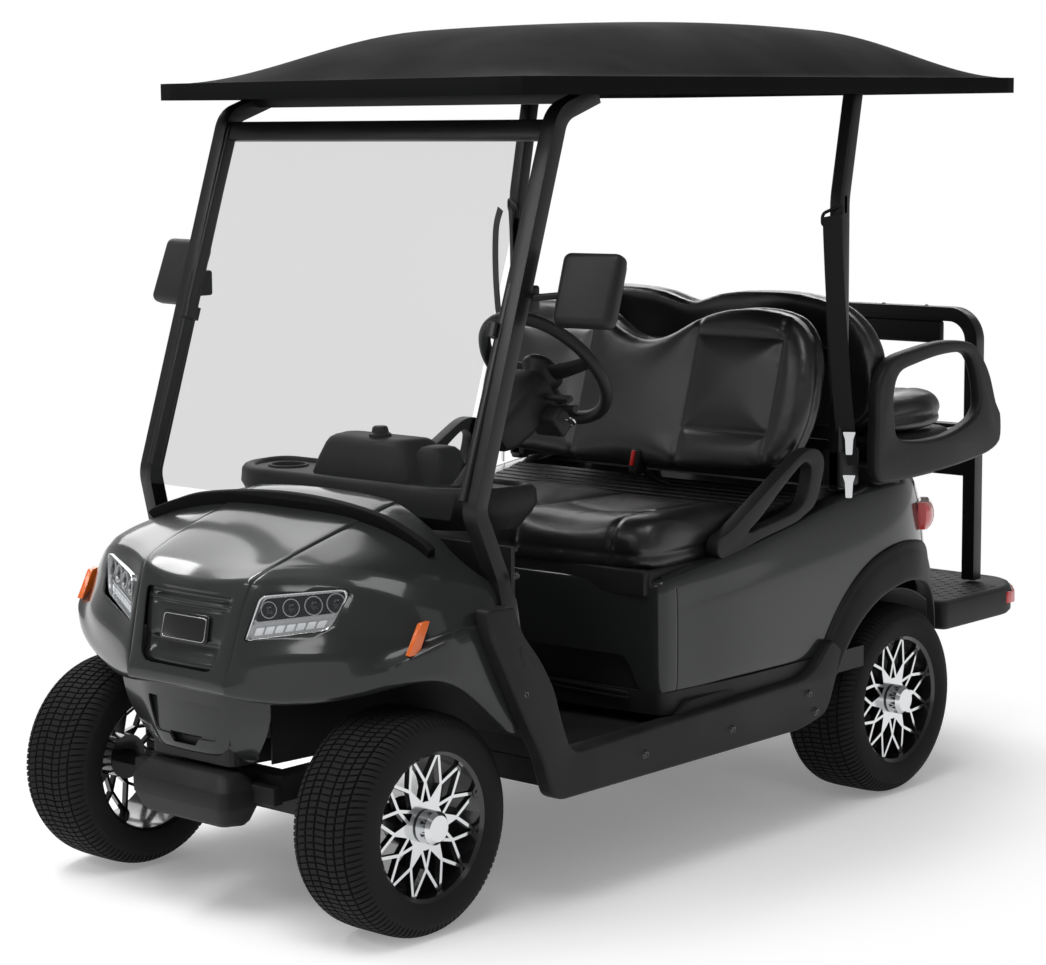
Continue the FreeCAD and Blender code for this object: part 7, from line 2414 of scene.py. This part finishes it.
amberLens = makeFinish(
    "amberLens", (0.72, 0.13, 0.012), 0.18, specular=0.5, coat=0.6, grainScale=420.0, pebble=1.0,
    grainStrength=0.5,
    grainDepth=0.0006, spread=0.1, dust=0.0,
)
redLens = makeFinish(
    "redLens", (0.52, 0.016, 0.018), 0.16, specular=0.5, coat=0.7, grainScale=380.0, pebble=1.0,
    grainStrength=0.5,
    grainDepth=0.0006, spread=0.12, dust=0.0,
)

markerSettings = {
    "corners": [(.530, -.026, .676), (.5335, -.004, .6795), (.5325, -.036, .614), (.5275, -.062, .6115)],
    "sunk": .010,
    "thick": .0145,
}


def makeMarkers():
    base = [atFront(*p) for p in markerSettings["corners"]]
    out = (base[1] - base[3]).cross(base[0] - base[2]).normalized()
    if out.x < 0:
        out = -out
    middle = sum(base, Vector()) / 4
    along = (base[1] - base[2]).normalized()
    side = out.cross(along).normalized()
    outline = roundedOutline([((p - middle).dot(side), (p - middle).dot(along)) for p in base], .004, 3)

    def place(a, b, t):
        return middle + side * a + along * b + out * (t - markerSettings["sunk"])

    lens = plateFrom("side_marker_left", outline, place, markerSettings["thick"])
    soften(lens, .0022, 3, 40, 38)
    bothSides(lens, amberLens, "amber_lens", ("side_markers",))


tailLampSettings = {
    "corner": [
        # line round the body's rear corner, seen from above
        (.556, 1.812), (.549, 1.828), (.537, 1.852), (.522, 1.878), (.506, 1.903), (.489, 1.928),
        (.473, 1.950),
        (.463, 1.962),
    ],
    "top": .722,
    "low": .652,
    "swell": .019,
    "depth": .016,
    "levels": 9,
}


def makeTailLamps():
    s = tailLampSettings
    corner, tall = s["corner"], s["levels"]
    across = len(corner)
    points, faces = [], []
    for k, (x, y) in enumerate(corner):
        share = k / (across - 1)
        before, after = corner[max(k - 1, 0)], corner[min(k + 1, across - 1)]
        out = Vector((after[1] - before[1], before[0] - after[0])).normalized()
        top, low = s["top"] - .010 * share, s["low"] - .014 * share
        arc = math.sin(math.pi * min(1.0, share * .96 + .02)) ** .45
        for j in range(tall):
            lift = j / (tall - 1)
            swell = s["swell"] * arc * math.sin(math.pi * (lift * .96 + .02)) ** .5
            points.append(atFront(x + out.x * swell, y + out.y * swell, low + (top - low) * lift))
        for j in range(tall):
            lift = j / (tall - 1)
            points.append(atFront(x - out.x * s["depth"], y - out.y * s["depth"], low + (top - low) * lift))
    step = 2 * tall
    for k in range(across - 1):
        for first in (k * step, k * step + tall):
            for j in range(first, first + tall - 1):
                faces.append((j, j + 1, j + step + 1, j + step))
        for a in (k * step, k * step + tall - 1):
            faces.append((a, a + tall, a + tall + step, a + step))
    for first in (0, (across - 1) * step):
        faces += [(first + j, first + j + 1, first + tall + j + 1, first + tall + j) for j in range(tall - 1)]
    lens = smoothByAngle(newMesh("tail_lamp_left", points, faces), 45)
    bothSides(lens, redLens, "red_lens", ("tail_lamps",))


makeMarkers()
makeTailLamps()


# rear step, its tread pattern and reflectors

stepPlastic = makeFinish(
    "stepPlastic", (0.024, 0.024, 0.025), 0.62, specular=0.25, grainScale=900.0, grainStrength=0.4,
    spread=0.18,
    dust=0.05,
)

stepSettings = {
    "plan": [(-.498, .0), (.498, .0), (.498, .335), (.42, .44), (-.42, .44), (-.498, .335)],
    "planRadius": [.02, .02, .05, .05, .05, .05],
    "halfWidth": .5,
    "length": .44,
    "start": 2.008,
    "rows": [
        # inset and height
        (.030, .352), (.006, .354), (.0, .362), (.0, .418), (.004, .426), (.012, .4300), (.018, .4300),
        (.021, .4275),
    ],
    "lozengeRows": 17,
    "lozengeColumns": 33,
    "lozengeStart": (-.464, 2.040),
    "lozengePitch": (.029, .0235),
    "lozengeHeight": .4272,
    "treadWidth": .42,             # half width where the cut corners start, and how they narrow it
    "treadCut": 2.30,
    "treadSlope": .9,
    "lozenge": [
        (-.0105, 0, 0), (0, -.0028, 0), (.0105, 0, 0), (0, .0028, 0), (-.006, 0, .0018), (.006, 0, .0018),
    ],
    "reflector": [(.4995, 2.318), (.4995, 2.352), (.455, 2.415), (.425, 2.4495)],
    "reflectorSpan": (.383, .414),
    "reflectorThick": .006,
}


def makeStepPlate():
    s = stepSettings
    outline = roundedOutline(s["plan"], s["planRadius"], 5)
    rings = []
    for inset, z in s["rows"]:
        narrow, short = 1 - inset / s["halfWidth"], 1 - 2 * inset / s["length"]
        rings.append([atFront(x * narrow, s["start"] + y * short + inset, z) for x, y in outline])
    plate = smoothByAngle(stackedRings("rear_step", rings), 40)
    dress(plate, stepPlastic, slotOf["footplate"], "chassis", ("footplate",))


def makeLozenges():
    # raised lozenges of the tread, turned both ways by turns
    s = stepSettings
    sides = [(0, 1, 4), (1, 5, 4), (1, 2, 5), (2, 3, 5), (3, 4, 5), (3, 0, 4)]
    points, faces = [], []
    for row in range(s["lozengeRows"]):
        for column in range(s["lozengeColumns"]):
            x = s["lozengeStart"][0] + column * s["lozengePitch"][0]
            y = s["lozengeStart"][1] + row * s["lozengePitch"][1]
            beyond = y - s["treadCut"]
            if beyond > 0 and abs(x) > s["treadWidth"] - beyond * s["treadSlope"]:
                continue  # outside the cut corners of the plate
            turn = math.radians(45 if (row + column) % 2 else -45)
            start = len(points)
            for a, b, c in s["lozenge"]:
                px = x + a * math.cos(turn) - b * math.sin(turn)
                py = y + a * math.sin(turn) + b * math.cos(turn)
                points.append(atFront(px, py, s["lozengeHeight"] + c))
            faces += [tuple(start + k for k in side) for side in sides]
    tread = newMesh("step_lozenges", points, faces, smooth=False, outward=False)
    dress(tread, stepPlastic, slotOf["footplate"])


def makeStepReflectors():
    s = stepSettings
    corner = s["reflector"]
    count = len(corner)
    reflectors = []
    for side in (1, -1):
        points = []
        for z in s["reflectorSpan"]:
            for inner in (0, s["reflectorThick"]):
                points += [atFront(side * (x - inner), y - inner, z) for x, y in corner]
        faces = [(0, count, 3 * count, 2 * count), (count - 1, 2 * count - 1, 4 * count - 1, 3 * count - 1)]
        for first, second in ((0, 2), (1, 3), (0, 1), (2, 3)):
            a, b = first * count, second * count
            faces += [(a + k, a + k + 1, b + k + 1, b + k) for k in range(count - 1)]
        reflectors.append(newMesh("stepReflector", points, faces))
    red = soften(joinPieces("step_reflectors", reflectors), .0012, 2, 40, 35)
    dress(red, redLens, slotOf["footplate"])


makeStepPlate()
makeLozenges()
makeStepReflectors()


# grab bar pad and its screws

grabSettings = {
    "pad": (.560, .020, .062),
    "padPlace": (0, 2.322, 1.110),
    "screws": (-.22, -.08, .08, .22),
    "screwPlace": (2.330, 1.178),
    "screwProfile": [(.0075, 0), (.0075, .003), (.005, .005), (.0005, .005)],
}


def makeGrabPad():
    s = grabSettings
    pad = softBox("grab_bar_pad", s["pad"], .008, squareTo(s["padPlace"]), 4)
    dress(pad, blackPlastic, slotOf["grab_frame"])
    screws = [lathe("padScrew", s["screwProfile"], squareTo((x, *s["screwPlace"])), 16) for x in s["screws"]]
    heads = smoothByAngle(joinPieces("grab_bar_screws", screws), 35)
    dress(heads, chromeTrim, slotOf["grab_frame"])


makeGrabPad()
print("rear fittings ready")


# slatted deck between the seats, and what the cushions stand on

deckSettings = {
    "halfWidth": .466,
    "bedHalfWidth": .462,
    "front": (1.184, .7345),       # place along the cart and height
    "rear": (1.426, .7765),
    "slats": 9,
    "gap": .006,
    "thick": .010,
    "bedSink": .001,
    "bedTop": .005,
}


def makeDeck():
    s = deckSettings
    (y0, z0), (y1, z1) = s["front"], s["rear"]
    half, bedHalf = s["halfWidth"], s["bedHalfWidth"]
    pieces = []
    for k in range(s["slats"]):
        points = []
        for y in (y0 + (y1 - y0) * k / s["slats"], y0 + (y1 - y0) * (k + 1) / s["slats"] - s["gap"]):
            z = z0 + (z1 - z0) * (y - y0) / (y1 - y0)
            points += [atFront(x, y, z + h) for x in (-half, half) for h in (0, s["thick"])]
        pieces.append(newMesh("slat", points, boxSides))
    bed = [
        atFront(x, y, z + lift)
        for lift in (-s["bedSink"], s["bedTop"]) for y, z in ((y0, z0), (y1, z1)) for x in (-bedHalf, bedHalf)
    ]
    pieces.append(newMesh("slatBed", bed, boxSides))
    deck = soften(joinPieces("deck_slats", pieces), .0022, 3, 40, 38)
    dress(deck, blackPlastic, slotOf["deck"], "chassis", ("deck",))


seatBaseSettings = {
    "rimBars": (
        # place, then width and length of each bar of the ledge that carries the front cushion
        (0, .745, 1.06, .070), (0, 1.165, 1.04, .060), (-.505, .95, .060, .45), (.505, .95, .060, .45),
    ),
    "rimHeight": .657,
    "rimTall": .060,
    "pan": [(-.498, 1.715), (.498, 1.715), (.470, 2.085), (-.470, 2.085)],
    "panRows": [
        (.766, .030), (.775, .020), (.800, .012), (.850, .002), (.872, 0), (.884, .006), (.889, .016),
    ],
    "lip": [(-.552, 1.60), (.552, 1.60), (.552, 1.72), (-.552, 1.72)],
    "lipRows": [(.768, .010), (.775, .002), (.800, 0), (.822, .003), (.828, .010)],
}


def makeSeatRim():
    s = seatBaseSettings
    bars = []
    for x, y, wide, long in s["rimBars"]:
        bars.append(softBox("seatRim", (wide, long, s["rimTall"]), .006, squareTo((x, y, s["rimHeight"])), 3))
    rim = smoothByAngle(joinPieces("seat_base_rim", bars), 38)
    dress(rim, blackPlastic, "black_plastic")


def makeRearSeatBase():
    # moulded pan under the rear cushion, standing on the body's tail
    s = seatBaseSettings
    pan = taperedBlock("rearSeatPan", roundedOutline(s["pan"], .04, 5), s["panRows"], (0, 1.90))
    lip = taperedBlock("rearSeatLip", roundedOutline(s["lip"], .02, 4), s["lipRows"], (0, 1.66))
    base = smoothByAngle(joinPieces("rear_seat_base", [pan, lip]), 38)
    dress(base, blackPlastic, slotOf["rear_seat_frame"], "chassis", ("rear_seat_frame",))


makeDeck()
makeSeatRim()
makeRearSeatBase()


# small trim: dash knob, undertray and bolts on the pillars

trimSettings = {
    "knobPlace": (.020, .385, .986),
    "knob": [(.026, 0), (.026, .008), (.020, .012), (.018, .022), (.014, .026), (.0005, .026)],
    "tray": [(-.13, -.195), (.13, -.195), (.17, .03), (.17, .36), (-.17, .36), (-.17, .03)],
    "trayHeight": .340,
    "trayThick": .050,
    "bolts": ((.205, .655), (.232, .745)),
    "boltSide": .566,
    "boltRadius": .006,
}


def makeTrim():
    s = trimSettings
    knob = smoothByAngle(lathe("dash_knob", s["knob"], squareTo(s["knobPlace"]), 28), 35)
    dress(knob, blackPlastic, slotOf["dash"])
    onTray = squareTo((0, 0, s["trayHeight"]))
    tray = plateFrom("undertray", roundedOutline(s["tray"], .02, 3), onTray, s["trayThick"])
    dress(tray, blackPlastic, slotOf["front_wells"])
    bolts = [makeBoltHead(y, z, s["boltSide"], s["boltRadius"]) for y, z in s["bolts"]]
    bothSides(joinPieces("pillar_bolts_left", bolts), glossBlack, slotOf["front_pillars"])


makeTrim()
print("small trim ready")
